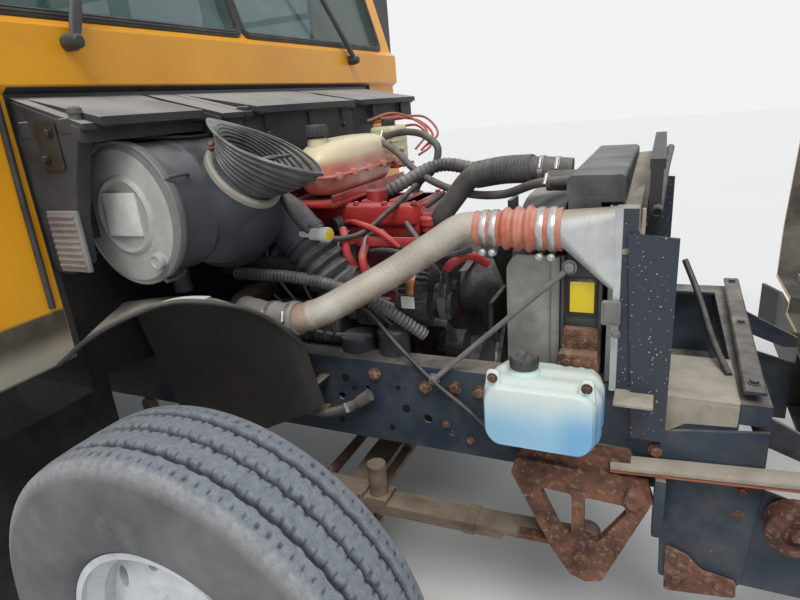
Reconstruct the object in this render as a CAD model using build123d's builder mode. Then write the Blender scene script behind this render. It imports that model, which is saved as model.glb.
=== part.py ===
# School bus of the conventional kind: a ladder chassis with its engine ahead of the body, a steel body with
# a split entrance door, and a one-piece tilt hood that stands open over the front bumper.
#
# Millimetres. +X is forward, +Y is the driver's left, +Z is up. The origin is on the ground, below the middle
# of the whole vehicle. Places along the vehicle are given from the front axle.

import os
from math import cos, radians, sin, sqrt, tan

from build123d import *

# Whole vehicle
wheelbase = 6400
cowl_setback = 460  # from the front axle back to the foot of the body's front wall
body_length = 8440
bumper_standoff = 110  # from the body's rear wall to the back of the rear bumper
nose_reach = 1320  # from the front axle to the front face of the closed hood, at its foot

# Tilt hood
hood_pivot_reach = 1300
hood_pivot_z = 745
hood_open_angle = 95
hood_skin = 14
nose_foot_z = 786
nose_top_z = 1455
nose_rake = 60  # how far the nose's top stands behind its foot
hood_rear_top_z = 1745
hood_half_width_rear = 930
hood_half_width_nose = 700
fender_half_width = 1205
fender_nose_half_width = 1010
fender_top_z = 1330
fender_front_z = 1070
fender_gap = 16  # between the hood's rear edge and the body

# The top of the open hood's rear edge and the rear bumper are the two ends, so the front axle's place follows.
cowl_band_swell = 26
hood_rear_reach = -cowl_setback + cowl_band_swell + fender_gap
front_reach = (
    hood_pivot_reach
    + (hood_rear_reach - hood_pivot_reach) * cos(radians(hood_open_angle))
    + (hood_rear_top_z - hood_pivot_z) * sin(radians(hood_open_angle))
)
rear_reach = cowl_setback + body_length + bumper_standoff
front_axle_x = (rear_reach - front_reach) / 2
rear_axle_x = front_axle_x - wheelbase
cowl_x = front_axle_x - cowl_setback
body_rear_x = cowl_x - body_length

# Tyres and wheels
tyre_radius = 512
tyre_width = 276
rim_radius = 292
rim_thickness = 14
front_track_half = 1047
rear_track_half = 895
dual_spacing = 322
hub_radius = 110
stud_circle_radius = 142.9
stud_count = 10
stud_radius = 13
axle_z = tyre_radius
running_fit = 0.4

# Ladder frame
rail_half_width = 432
rail_height = 258
rail_flange = 80
rail_web = 9
rail_top_z = 910
rail_front_reach = 1065
rail_bottom_z = rail_top_z - rail_height
rail_front_x = front_axle_x + rail_front_reach
rail_inner_y = rail_half_width - rail_web
rail_rear_x = body_rear_x + 60
rail_length = rail_front_x - rail_rear_x
crossmember_depth = 110
hinge_lug_y = 372
hinge_lug_thickness = 12
hinge_pin_radius = 11

# Body
body_half_width = 1210
wall = 45
roof_wall = 55
sill_height = 40
floor_thickness = 40
floor_under_z = rail_top_z + sill_height
floor_z = floor_under_z + floor_thickness
skirt_z = 640
eave_z = 2480
shoulder_z = 2930
roof_top_z = 3075
shoulder_radius = 430
inner_half_width = body_half_width - wall
windshield_foot_z = 1852
windshield_rake = 16
cowl_band_foot_z = 1700

# Openings in the walls
window_count = 10
window_pitch = 712
window_width = 622
window_foot_z = 1730
window_height = 650
window_corner = 60
first_window_reach = cowl_setback + 1130  # from the front axle back to the first window's front edge
glass = 6
door_front_reach = cowl_setback + 250  # from the front axle back to the entrance's front jamb
door_width = 760
door_foot_z = 400
door_top_z = 2430
door_gap = 8
door_leaf_thickness = 38
door_frame = 58
wheel_arch_radius = 625
emergency_width = 690
emergency_foot_z = 1000
emergency_top_z = 2470
emergency_gap = 8
step_rise = (floor_z - door_foot_z) / 2

# Engine bay, placed from the front axle
radiator_reach = 665
radiator_depth = 90
radiator_half_width = 400
side_tank_half_width = 362
radiator_foot_z = 720
radiator_top_z = 1350
cooler_reach = 772
cooler_depth = 60
condenser_reach = 848
condenser_depth = 26
engine_front_reach = 300
engine_rear_reach = -440
crank_z = 700
head_top_z = 1190
cover_top_z = 1312
engine_half_width = 165
belt_reach = 322
belt_width = 28
fan_reach = 452
fan_radius = 300
fan_z = 1010
cleaner_radius = 172
cleaner_length = 360
cleaner_place = (-320, -755, 1392)  # centre of the round lid: from the axle, from the middle, height
hose_fit = 0.3

os.makedirs("parts", exist_ok=True)


def along(reach):
    """Row-frame X of a place given from the front axle, forward positive."""
    return front_axle_x + reach


def save(piece, name):
    """Labels a finished piece and writes its file."""
    piece.label = name
    export_step(piece, f"parts/{name}.step")


def block(x_span, y_span, z_span, mode=Mode.ADD):
    """A box between two limits on each axis, in the part being built."""
    centre = [(low + high) / 2 for low, high in (x_span, y_span, z_span)]
    with Locations(tuple(centre)):
        Box(*(abs(high - low) for low, high in (x_span, y_span, z_span)), mode=mode)


def rod(start, end, radius, mode=Mode.ADD):
    """A round bar from one point to another, in the part being built."""
    axis = Vector(*end) - Vector(*start)
    with BuildSketch(Plane(origin=start, z_dir=axis)) as section:
        Circle(radius)
    extrude(to_extrude=section.sketch, amount=axis.length, mode=mode)


def tube(points, bend, radius, bore=0):
    """A round tube along straight runs joined by arcs, in the part being built."""
    with BuildLine() as route:
        FilletPolyline(*points, radius=bend)
    with BuildSketch(Plane(origin=route.line @ 0, z_dir=route.line % 0)) as section:
        Circle(radius)
        if bore:
            Circle(bore, mode=Mode.SUBTRACT)
    sweep(sections=section.sketch, path=route.line)


def side_plate(outline, y_span, mode=Mode.ADD, round_corners=0):
    """A plate with a straight-sided outline of (reach, z) points, between two Y values."""
    low, high = sorted(y_span)
    with BuildSketch(Plane.XZ.offset(-high)) as section:
        with BuildLine():
            Polyline([(along(reach), z) for reach, z in outline], close=True)
        make_face()
        if round_corners:
            fillet(section.vertices(), round_corners)
    extrude(to_extrude=section.sketch, amount=high - low, mode=mode)


def flat_plate(outline, z_span, mode=Mode.ADD, round_corners=0):
    """A plate with an outline of (reach, y) points, between two heights."""
    low, high = sorted(z_span)
    with BuildSketch(Plane.XY.offset(low)) as section:
        with BuildLine():
            Polyline([(along(reach), y) for reach, y in outline], close=True)
        make_face()
        if round_corners:
            fillet(section.vertices(), round_corners)
    extrude(to_extrude=section.sketch, amount=high - low, mode=mode)


# Ladder frame: two channel rails, cross members and the bumper brackets
rail_hole_table = (
    # reach, height above the rail's foot, radius
    (30, 130, 13),
    (120, 168, 8),
    (305, 95, 14),
    (375, 62, 9),
    (-230, 130, 14),
    (-900, 130, 14),
)
crossmember_reaches = (-1500, -2900, -4300, -5700, -7100, -8200)
with BuildPart() as frame:
    for side in (-1, 1):
        with BuildSketch(Plane.YZ.offset(rail_rear_x)):
            with BuildLine():
                Polyline(
                    (side * rail_half_width, rail_bottom_z),
                    (side * rail_half_width, rail_top_z),
                    (side * (rail_half_width - rail_flange), rail_top_z),
                    (side * (rail_half_width - rail_flange), rail_top_z - rail_web),
                    (side * rail_inner_y, rail_top_z - rail_web),
                    (side * rail_inner_y, rail_bottom_z + rail_web),
                    (side * (rail_half_width - rail_flange), rail_bottom_z + rail_web),
                    (side * (rail_half_width - rail_flange), rail_bottom_z),
                    close=True,
                )
            make_face()
        extrude(amount=rail_length)
    for reach, height, radius in rail_hole_table:
        with BuildSketch(Plane.XZ) as hole:
            with Locations((along(reach), rail_bottom_z + height)):
                Circle(radius)
        extrude(to_extrude=hole.sketch, amount=body_half_width, both=True, mode=Mode.SUBTRACT)
    for reach in crossmember_reaches:
        x = along(reach)
        z_mid = rail_top_z - rail_web - crossmember_depth / 2
        with BuildSketch(Plane.XZ.offset(-rail_inner_y)) as channel:
            with Locations((x, z_mid)):
                Rectangle(70, crossmember_depth)
            with Locations((x + rail_web, z_mid)):
                Rectangle(70, crossmember_depth - 2 * rail_web, mode=Mode.SUBTRACT)
        extrude(to_extrude=channel.sketch, amount=2 * rail_inner_y)
    # Lugs and pins that the hood swings on
    for side in (-1, 1):
        side_plate(
            (
                (1085, rail_top_z - 50),
                (rail_front_reach + 60, rail_top_z - 50),
                (hood_pivot_reach + 20, hood_pivot_z + 14),
                (hood_pivot_reach + 17, hood_pivot_z - 20),
                (hood_pivot_reach - 18, hood_pivot_z - 22),
                (rail_front_reach + 45, hood_pivot_z + 45),
            ),
            (side * hinge_lug_y, side * (hinge_lug_y + hinge_lug_thickness)),
        )
        rod(
            (along(hood_pivot_reach), side * (hinge_lug_y + 1), hood_pivot_z),
            (along(hood_pivot_reach), side * (hinge_lug_y + 2 * hinge_lug_thickness + 12), hood_pivot_z),
            hinge_pin_radius,
        )
    # The front cross member is a flat-topped box, and a round tube carries the radiator below it.
    block(
        (along(rail_front_reach - 5), along(rail_front_reach + 60)),
        (-rail_half_width, rail_half_width),
        (rail_top_z - 52, rail_top_z),
    )
    rod((along(900), -rail_inner_y, rail_bottom_z + 40), (along(900), rail_inner_y, rail_bottom_z + 40), 32)
    # Plates that hang below the rails' front ends and hold the bumper
    for side in (-1, 1):
        side_plate(
            (
                (900, rail_top_z - 90),
                (rail_front_reach + 60, rail_top_z - 60),
                (rail_front_reach + 60, 700),
                (nose_reach + 12, 640),
                (nose_reach + 12, 420),
                (960, 420),
            ),
            (side * rail_half_width, side * (rail_half_width + 10)),
        )
save(frame.part, "frame")

# Front bumper: a rounded channel that bows forward, with two tow eyes below it
bumper_foot_z = 470
bumper_top_z = 700
bumper_half_width = 1165
bumper_x = nose_reach + 12
tow_eye_radius = 24
tow_eye_thickness = 25
tow_eye_y = 330
with BuildPart() as front_bumper:
    with BuildSketch(Plane.XY.offset(bumper_foot_z)) as plan:
        with BuildLine():
            Polyline(
                (along(bumper_x), -rail_half_width - 20),
                (along(bumper_x + 50), -rail_half_width - 20),
                (along(bumper_x + 50), -bumper_half_width + 120),
                (along(bumper_x), -bumper_half_width),
                (along(bumper_x - 12), -bumper_half_width),
                (along(bumper_x + 36), -bumper_half_width + 124),
                (along(bumper_x + 36), -rail_half_width - 34),
                (along(bumper_x), -rail_half_width - 34),
                close=True,
            )
        make_face()
        with BuildLine():
            Polyline(
                (along(bumper_x), -rail_half_width - 20),
                (along(bumper_x), 0),
                (along(bumper_x + 50), 0),
                (along(bumper_x + 50), -rail_half_width - 20),
                close=True,
            )
        make_face()
        mirror(about=Plane.XZ)
    extrude(amount=bumper_top_z - bumper_foot_z)
    block(
        (along(bumper_x - 1), along(bumper_x + 36)),
        (-rail_half_width + 20, rail_half_width - 20),
        (bumper_foot_z + 14, bumper_top_z - 14),
        mode=Mode.SUBTRACT,
    )
    for side in (-1, 1):
        side_plate(
            (
                (bumper_x + 20, bumper_foot_z + 40),
                (bumper_x + 20, bumper_foot_z - 70),
                (bumper_x + 50, bumper_foot_z - 95),
                (bumper_x + 85, bumper_foot_z - 70),
                (bumper_x + 85, bumper_foot_z + 40),
            ),
            (side * tow_eye_y, side * (tow_eye_y + tow_eye_thickness)),
        )
    with BuildSketch(Plane.XZ) as eye:
        with Locations((along(bumper_x + 52), bumper_foot_z - 48)):
            Circle(tow_eye_radius)
    extrude(to_extrude=eye.sketch, amount=body_half_width, both=True, mode=Mode.SUBTRACT)
save(front_bumper.part, "front_bumper")

# Rear bumper: a plain channel that wraps round the corners, on two brackets
rear_bumper_foot_z = 560
rear_bumper_height = 245
rear_bumper_plate = 10
with BuildPart() as rear_bumper:
    with BuildSketch(Plane.XY.offset(rear_bumper_foot_z)):
        with BuildLine():
            Polyline(
                (body_rear_x + 180, body_half_width + 12),
                (body_rear_x - bumper_standoff + 60, body_half_width + 12),
                (body_rear_x - bumper_standoff, body_half_width - 70),
                (body_rear_x - bumper_standoff, 0),
                (body_rear_x - bumper_standoff + rear_bumper_plate, 0),
                (body_rear_x - bumper_standoff + rear_bumper_plate, body_half_width - 75),
                (body_rear_x - bumper_standoff + 64, body_half_width - rear_bumper_plate + 12),
                (body_rear_x + 180, body_half_width - rear_bumper_plate + 12),
                close=True,
            )
        make_face()
        mirror(about=Plane.XZ)
    extrude(amount=rear_bumper_height)
    for side in (-1, 1):
        block(
            (body_rear_x - bumper_standoff + rear_bumper_plate, rail_rear_x),
            (side * (rail_half_width - rail_flange), side * rail_half_width),
            (rail_bottom_z + 12, rail_bottom_z + 132),
        )
save(rear_bumper.part, "rear_bumper")


# Front springs: leaf packs in cast hangers at the front and shackles behind
spring_y = rail_half_width - 2
spring_width = 76
spring_eye_reach = 745
spring_eye_z = 440
leaf_thickness = 17
beam_drop = 150
beam_top_z = axle_z - beam_drop + 41
seat_fit = 0.3
beam_foot_z = axle_z - beam_drop - 52
leaf_gap = 0.3
spring_seat_z = beam_top_z + leaf_thickness + leaf_gap + seat_fit
with BuildPart() as front_springs:
    for side in (-1, 1):
        y0 = side * (spring_y - spring_width / 2)
        y1 = side * (spring_y + spring_width / 2)
        low, high = sorted((y0, y1))
        for half_length, rise in ((spring_eye_reach, 0), (520, leaf_thickness + leaf_gap)):
            with BuildSketch(Plane.XZ.offset(-high)) as profile:
                with BuildLine():
                    bow = (half_length / spring_eye_reach) ** 2 * (spring_eye_z - spring_seat_z)
                    arc = ThreePointArc(
                        (along(-half_length), spring_seat_z + bow - rise),
                        (along(0), spring_seat_z - rise),
                        (along(half_length), spring_seat_z + bow - rise),
                    )
                    top = arc.position_at(0) + Vector(0, leaf_thickness)
                    end = arc.position_at(1) + Vector(0, leaf_thickness)
                    Line(arc @ 1, (end.X, end.Y))
                    ThreePointArc(
                        (end.X, end.Y),
                        (along(0), spring_seat_z - rise + leaf_thickness),
                        (top.X, top.Y),
                    )
                    Line((top.X, top.Y), arc @ 0)
                make_face()
            extrude(to_extrude=profile.sketch, amount=spring_width)
        for reach in (-spring_eye_reach, spring_eye_reach):
            rod((along(reach), low, spring_eye_z + 6), (along(reach), high, spring_eye_z + 6), 34)
        # Clips that hold the two leaves together, and the pad they are clamped by
        for reach_span in ((-60, 60), (-440, -408), (408, 440)):
            rise = spring_seat_z - beam_top_z - 1
            lift = (min(abs(reach_span[0]), abs(reach_span[1])) / spring_eye_reach) ** 2 * (spring_eye_z - spring_seat_z)
            block(
                (along(reach_span[0]), along(reach_span[1])),
                (low - 5, high + 5),
                (spring_seat_z + lift - rise, spring_seat_z + lift + leaf_thickness + 5),
            )
        # Spring clamp: a top plate with the bump stop, and the U-bolts down to the axle
        block((along(-95), along(95)), (low - 6, high + 6), (spring_seat_z + leaf_thickness - 6, spring_seat_z + 34))
        rod((along(120), side * spring_y, spring_seat_z + 30), (along(120), side * spring_y, spring_seat_z + 138), 29)
        block((along(80), along(160)), (low, high), (spring_seat_z + 8, spring_seat_z + 34))
        for reach in (-78, 78):
            for y in (low - 7, high + 7):
                rod((along(reach), y, beam_foot_z - 22), (along(reach), y, spring_seat_z + 52), 8)
            rod((along(reach), low - 13, spring_seat_z + 42), (along(reach), high + 13, spring_seat_z + 42), 7)
        block((along(-92), along(92)), (low - 18, high + 18), (beam_foot_z - seat_fit - 16, beam_foot_z - seat_fit))
        # Shackle at the rear eye, hung from the rail
        side_plate(
            ((-778, rail_bottom_z + 30), (-712, rail_bottom_z + 30), (-712, spring_eye_z - 30), (-778, spring_eye_z - 30)),
            (side * (spring_y + spring_width / 2), side * (spring_y + spring_width / 2 + 14)),
            round_corners=20,
        )

# Cast front hangers: open triangular castings bolted to the rails' outer faces
hanger_outline = (
    (571, 716),
    (884, 706),
    (900, 655),
    (815, 440),
    (792, 382),
    (752, 368),
    (712, 382),
    (666, 450),
    (558, 670),
)
hanger_windows = (
    ((628, 640), (712, 636), (714, 512), (690, 505)),
    ((742, 634), (836, 630), (844, 610), (776, 500), (744, 505)),
)
hanger_thickness = 26
hanger_y = rail_half_width + spring_width / 2 + 4
with BuildPart() as front_suspension:
    add(front_springs.part)
    for side in (-1, 1):
        side_plate(hanger_outline, (side * hanger_y, side * (hanger_y + hanger_thickness)), round_corners=14)
        for window in hanger_windows:
            side_plate(
                window,
                (side * (hanger_y - 1), side * (hanger_y + hanger_thickness + 1)),
                mode=Mode.SUBTRACT,
                round_corners=11,
            )
        # A foot that reaches in to the rail, and ribs along both edges
        side_plate(
            ((570, 712), (575, 668), (850, 660), (866, 700), (840, 752), (600, 758)),
            (side * rail_half_width, side * (hanger_y + 8)),
            round_corners=12,
        )
        rod(
            (along(spring_eye_reach), side * (spring_y + spring_width / 2 + leaf_gap), spring_eye_z + 6),
            (along(spring_eye_reach), side * (hanger_y + hanger_thickness + 16), spring_eye_z + 6),
            22,
        )
        rod(
            (along(862), side * hanger_y, 668),
            (along(862), side * (hanger_y + hanger_thickness + 26), 668),
            26,
        )

# Rear springs: longer packs above the axle
rear_spring_half = 720
rear_spring_y = rail_half_width + 46
rear_seat_z = axle_z + 92
with BuildPart() as suspension:
    add(front_suspension.part)
    for side in (-1, 1):
        low = min(side * (rear_spring_y - 40), side * (rear_spring_y + 40))
        for half_length, rise in ((rear_spring_half, 0), (600, 20), (440, 40), (280, 60)):
            with BuildSketch(Plane.XZ.offset(-low - 80)) as profile:
                with BuildLine():
                    bow = 96 * (half_length / rear_spring_half) ** 2
                    ThreePointArc(
                        (rear_axle_x - half_length, rear_seat_z + rise + bow - 20),
                        (rear_axle_x, rear_seat_z + rise - 20),
                        (rear_axle_x + half_length, rear_seat_z + rise + bow - 20),
                    )
                    Line(
                        (rear_axle_x + half_length, rear_seat_z + rise + bow - 20),
                        (rear_axle_x + half_length, rear_seat_z + rise + bow),
                    )
                    ThreePointArc(
                        (rear_axle_x + half_length, rear_seat_z + rise + bow),
                        (rear_axle_x, rear_seat_z + rise),
                        (rear_axle_x - half_length, rear_seat_z + rise + bow),
                    )
                    Line(
                        (rear_axle_x - half_length, rear_seat_z + rise + bow),
                        (rear_axle_x - half_length, rear_seat_z + rise + bow - 20),
                    )
                make_face()
            extrude(to_extrude=profile.sketch, amount=80)
        for x in (rear_axle_x - rear_spring_half, rear_axle_x + rear_spring_half):
            block(
                (x - 45, x + 45),
                (side * rail_half_width, side * (rear_spring_y + 46)),
                (rear_seat_z + 50, rail_top_z - 60),
            )
save(suspension.part, "suspension")

# Front axle: a forged I-beam that drops between its spring seats
kingpin_y = 925
kingpin_radius = 26
with BuildPart() as front_axle:
    with BuildSketch(Plane.YZ.offset(front_axle_x - 48)) as beam:
        with BuildLine():
            Polyline(
                (0, beam_foot_z),
                (560, beam_foot_z),
                (700, axle_z - 72),
                (kingpin_y - 40, axle_z - 52),
                (kingpin_y - 40, axle_z + 52),
                (720, axle_z + 40),
                (540, beam_top_z),
                (0, beam_top_z),
                close=True,
            )
        make_face()
        mirror(about=Plane.YZ)
    extrude(to_extrude=beam.sketch, amount=96)
    for side in (-1, 1):
        for end in (-1, 1):
            # Hollows that leave the I-section between the seats
            block(
                (front_axle_x + end * 14, front_axle_x + end * 50),
                (side * 8, side * 340),
                (axle_z - beam_drop - 34, axle_z - beam_drop + 24),
                mode=Mode.SUBTRACT,
            )
        with Locations((front_axle_x, side * kingpin_y, axle_z)):
            Cylinder(46, 104)
            Cylinder(kingpin_radius + running_fit, 120, mode=Mode.SUBTRACT)
save(front_axle.part, "front_axle")

# Rear axle: a round tube with a banjo housing for the differential
rear_spindle_radius = 55
rear_tube_end = rear_track_half - dual_spacing / 2 - 95
with BuildPart() as rear_axle:
    rod((rear_axle_x, -rear_tube_end, axle_z), (rear_axle_x, rear_tube_end, axle_z), 68)
    with Locations((rear_axle_x, 0, axle_z)):
        Sphere(205)
    block((rear_axle_x - 210, rear_axle_x - 165), (-205, 205), (axle_z - 205, axle_z + 205), mode=Mode.SUBTRACT)
    rod((rear_axle_x + 90, 0, axle_z), (rear_axle_x + 330, 0, axle_z + 26), 88)
    for side in (-1, 1):
        rod(
            (rear_axle_x, side * (rear_tube_end - 1), axle_z),
            (rear_axle_x, side * (rear_track_half - 35), axle_z),
            rear_spindle_radius,
        )
        rod(
            (rear_axle_x, side * (rear_tube_end - 70), axle_z),
            (rear_axle_x, side * (rear_tube_end - 45), axle_z),
            200,
        )
        block(
            (rear_axle_x - 90, rear_axle_x + 90),
            (side * (rear_spring_y - 38), side * (rear_spring_y + 38)),
            (axle_z, rear_seat_z - 20),
        )
save(rear_axle.part, "rear_axle")


def tyre_ring(y, outward):
    """One tyre, round and with a slightly flattened foot left to its own stiffness."""
    half = tyre_width / 2
    with BuildSketch(Plane.YZ) as section:
        with BuildLine():
            Polyline(
                (y - half * 0.76, rim_radius),
                (y - half * 0.98, rim_radius + 45),
                (y - half, rim_radius + 100),
                (y - half * 0.93, tyre_radius - 42),
                (y - half * 0.8, tyre_radius - 8),
                (y - half * 0.45, tyre_radius),
                (y - half * 0.42, tyre_radius - 11),
                (y - half * 0.36, tyre_radius - 11),
                (y - half * 0.33, tyre_radius),
                (y - half * 0.045, tyre_radius),
                (y - half * 0.03, tyre_radius - 11),
                (y + half * 0.03, tyre_radius - 11),
                (y + half * 0.045, tyre_radius),
                (y + half * 0.33, tyre_radius),
                (y + half * 0.36, tyre_radius - 11),
                (y + half * 0.42, tyre_radius - 11),
                (y + half * 0.45, tyre_radius),
                (y + half * 0.8, tyre_radius - 8),
                (y + half * 0.93, tyre_radius - 42),
                (y + half, rim_radius + 100),
                (y + half * 0.98, rim_radius + 45),
                (y + half * 0.76, rim_radius),
                close=True,
            )
        make_face()
    revolve(profiles=section.sketch, axis=Axis.Y)


def rim_ring(y, dish):
    """One steel disc wheel; dish is how far the disc stands from the middle of its rim."""
    half = tyre_width / 2 * 0.8
    with BuildSketch(Plane.YZ) as section:
        with BuildLine():
            Polyline(
                (y - half, rim_radius - hose_fit),
                (y - half, rim_radius - 16),
                (y - half + rim_thickness, rim_radius - 16),
                (y - half + 44, rim_radius - 36),
                (y + half - 44, rim_radius - 36),
                (y + half - rim_thickness, rim_radius - 16),
                (y + half, rim_radius - 16),
                (y + half, rim_radius - hose_fit),
                close=True,
            )
        make_face()
        with BuildLine():
            Polyline(
                (y + dish - rim_thickness / 2, hub_radius + 1),
                (y + dish - rim_thickness / 2, stud_circle_radius + 34),
                (y + dish * 0.35 - rim_thickness, rim_radius - 30),
                (y + dish * 0.35 + rim_thickness, rim_radius - 30),
                (y + dish + rim_thickness / 2, stud_circle_radius + 34),
                (y + dish + rim_thickness / 2, hub_radius + 1),
                close=True,
            )
        make_face()
    revolve(profiles=section.sketch, axis=Axis.Y)
    hand_hole_radius = 23
    with BuildSketch(Plane.XZ.offset(-y - tyre_width)) as holes:
        with PolarLocations((rim_radius + stud_circle_radius) / 2 + 8, stud_count):
            Circle(hand_hole_radius)
    extrude(to_extrude=holes.sketch, amount=2 * tyre_width, mode=Mode.SUBTRACT)


def studs(y_inner, y_outer):
    """A circle of wheel studs with their nuts."""
    low, high = sorted((y_inner, y_outer))
    with BuildSketch(Plane.XZ.offset(-high)) as nuts:
        with PolarLocations(stud_circle_radius, stud_count):
            RegularPolygon(stud_radius * 1.25, 6)
    extrude(to_extrude=nuts.sketch, amount=high - low)


# Front wheels: tyre, wheel and drum turn together on the knuckle
drum_radius = 205
knuckle_half = 98
arm_thickness = 30
spindle_radius = 42
disc_dish = 62
for side, name in ((-1, "right"), (1, "left")):
    centre = Location((front_axle_x, 0, axle_z))
    y_mid = side * front_track_half
    with BuildPart() as tyre:
        tyre_ring(y_mid, side)
    save(tyre.part.moved(centre), f"front_tyre_{name}")
    with BuildPart() as wheel:
        rim_ring(y_mid, side * disc_dish)
        disc_y = side * (front_track_half + disc_dish)
        rod((0, disc_y - side * 40, 0), (0, disc_y + side * 52, 0), hub_radius)
        rod((0, disc_y + side * 50, 0), (0, disc_y + side * 96, 0), 62)
        studs(disc_y, disc_y + side * 34)
        with BuildSketch(Plane.YZ) as drum:
            with BuildLine():
                Polyline(
                    (y_mid - side * 42, drum_radius - 16),
                    (y_mid - side * 42, drum_radius),
                    (disc_y - side * 8, drum_radius),
                    (disc_y - side * 8, hub_radius - 20),
                    (disc_y - side * 24, hub_radius - 20),
                    (disc_y - side * 24, drum_radius - 16),
                    close=True,
                )
            make_face()
        revolve(profiles=drum.sketch, axis=Axis.Y)
        rod((0, y_mid - side * 20, 0), (0, disc_y + side * 20, 0), spindle_radius + running_fit, mode=Mode.SUBTRACT)
    save(wheel.part.moved(centre), f"front_wheel_{name}")

    # Knuckle: a yoke round the beam's end, the spindle, the backing plate and a steering arm
    with BuildPart() as knuckle:
        arm_y = side * kingpin_y
        for z in (axle_z - 78, axle_z + 78):
            with Locations((front_axle_x, arm_y, z)):
                Cylinder(44, 40)
        with Locations((front_axle_x, arm_y, axle_z)):
            Cylinder(kingpin_radius, 120)
        block(
            (front_axle_x - 42, front_axle_x + 42),
            (arm_y + side * 52, arm_y + side * 84),
            (axle_z - 98, axle_z + 98),
        )
        for z_span in ((axle_z - 98, axle_z - 60), (axle_z + 60, axle_z + 98)):
            block((front_axle_x - 36, front_axle_x + 36), (arm_y, arm_y + side * 60), z_span)
        rod(
            (front_axle_x, arm_y + side * 80, axle_z),
            (front_axle_x, side * (front_track_half + disc_dish - 30), axle_z),
            spindle_radius,
        )
        rod(
            (front_axle_x, y_mid - side * 60, axle_z),
            (front_axle_x, y_mid - side * 50, axle_z),
            drum_radius - 8,
        )
        # Arm that the track rod pulls, behind the axle
        flat_plate(
            ((24, arm_y + side * 20), (24, arm_y - side * 30), (-180, arm_y - side * 62), (-180, arm_y - side * 18)),
            (axle_z - knuckle_half - arm_thickness, axle_z - knuckle_half),
        )
    save(knuckle.part, f"knuckle_{name}")

# Track rod: joins the two steering arms behind and below the beam
track_rod_reach = -158
track_rod_z = axle_z - knuckle_half - arm_thickness - 26 - running_fit
track_rod_half = kingpin_y - 40
with BuildPart() as track_rod:
    rod(
        (along(track_rod_reach), -track_rod_half, track_rod_z),
        (along(track_rod_reach), track_rod_half, track_rod_z),
        19,
    )
    for side in (-1, 1):
        with Locations((along(track_rod_reach), side * track_rod_half, track_rod_z)):
            Cylinder(25, 52)
save(track_rod.part, "track_rod")

# Rear wheels: twin tyres on one hub
for side, name in ((-1, "right"), (1, "left")):
    centre = Location((rear_axle_x, 0, axle_z))
    outer_y = side * (rear_track_half + dual_spacing / 2)
    inner_y = side * (rear_track_half - dual_spacing / 2)
    with BuildPart() as tyres:
        tyre_ring(outer_y, side)
        tyre_ring(inner_y, side)
    save(tyres.part.moved(centre), f"rear_tyres_{name}")
    with BuildPart() as wheels:
        seat_y = side * rear_track_half
        rim_ring(outer_y, -side * (dual_spacing / 2 - 8))
        rim_ring(inner_y, side * (dual_spacing / 2 - 8))
        rod((0, inner_y - side * 40, 0), (0, outer_y - side * 10, 0), hub_radius + 2)
        rod((0, outer_y - side * 12, 0), (0, outer_y + side * 30, 0), 80)
        rod((0, inner_y - side * 60, 0), (0, seat_y - side * 12, 0), drum_radius)
        studs(seat_y, seat_y + side * 56)
        rod((0, inner_y - side * 70, 0), (0, inner_y - side * 20, 0), 180, mode=Mode.SUBTRACT)
        rod(
            (0, inner_y - side * 30, 0),
            (0, side * (rear_track_half - 34), 0),
            rear_spindle_radius + running_fit,
            mode=Mode.SUBTRACT,
        )
    save(wheels.part.moved(centre), f"rear_wheels_{name}")

# Driveline: gearbox behind the engine, then two shafts with a centre bearing
shaft_radius = 52
bearing_reach = -3550
with BuildPart() as driveline:
    with BuildSketch(Plane.YZ.offset(along(engine_rear_reach))) as bell:
        with Locations((0, crank_z)):
            Circle(230)
    with BuildSketch(Plane.YZ.offset(along(engine_rear_reach - 230))) as case:
        with Locations((0, crank_z - 10)):
            Circle(165)
    loft(sections=[bell.sketch, case.sketch])
    rod((along(engine_rear_reach - 225), 0, crank_z - 10), (along(-1330), 0, crank_z - 20), 150)
    rod((along(-1325), 0, crank_z - 20), (along(-1400), 0, crank_z - 24), 80)
    rod((along(-1395), 0, crank_z - 24), (along(bearing_reach), 0, 740), shaft_radius)
    rod((along(bearing_reach + 1), 0, 740), (rear_axle_x + 335, 0, axle_z + 26), shaft_radius)
    block((along(bearing_reach - 40), along(bearing_reach + 40)), (-110, 110), (700, 830))
    block((along(bearing_reach - 30), along(bearing_reach + 30)), (-rail_inner_y, rail_inner_y), (800, 840))
save(driveline.part, "driveline")

# Fuel tank on the right, battery box on the left, both hung from the rails
tank_front_reach = -2350
tank_length = 1150
with BuildPart() as fuel_tank:
    side_plate(
        (
            (tank_front_reach, 500),
            (tank_front_reach, 880),
            (tank_front_reach - tank_length, 880),
            (tank_front_reach - tank_length, 500),
        ),
        (-1110, -500),
        round_corners=60,
    )
    for reach in (tank_front_reach - 200, tank_front_reach - tank_length + 200):
        block((along(reach - 30), along(reach + 30)), (-1116, -rail_half_width), (489, 501))
        block((along(reach - 30), along(reach + 30)), (-501, -rail_half_width), (489, 890))
        block((along(reach - 30), along(reach + 30)), (-1122, -1109), (489, 880))
        block((along(reach - 30), along(reach + 30)), (-1122, -rail_half_width), (879, 891))
save(fuel_tank.part, "fuel_tank")

with BuildPart() as battery_box:
    block((along(-2750), along(-2050)), (640, 1120), (560, 900))
    for reach in (-2200, -2600):
        block((along(reach - 30), along(reach + 30)), (rail_half_width, 642), (640, 700))
save(battery_box.part, "battery_box")

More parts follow.
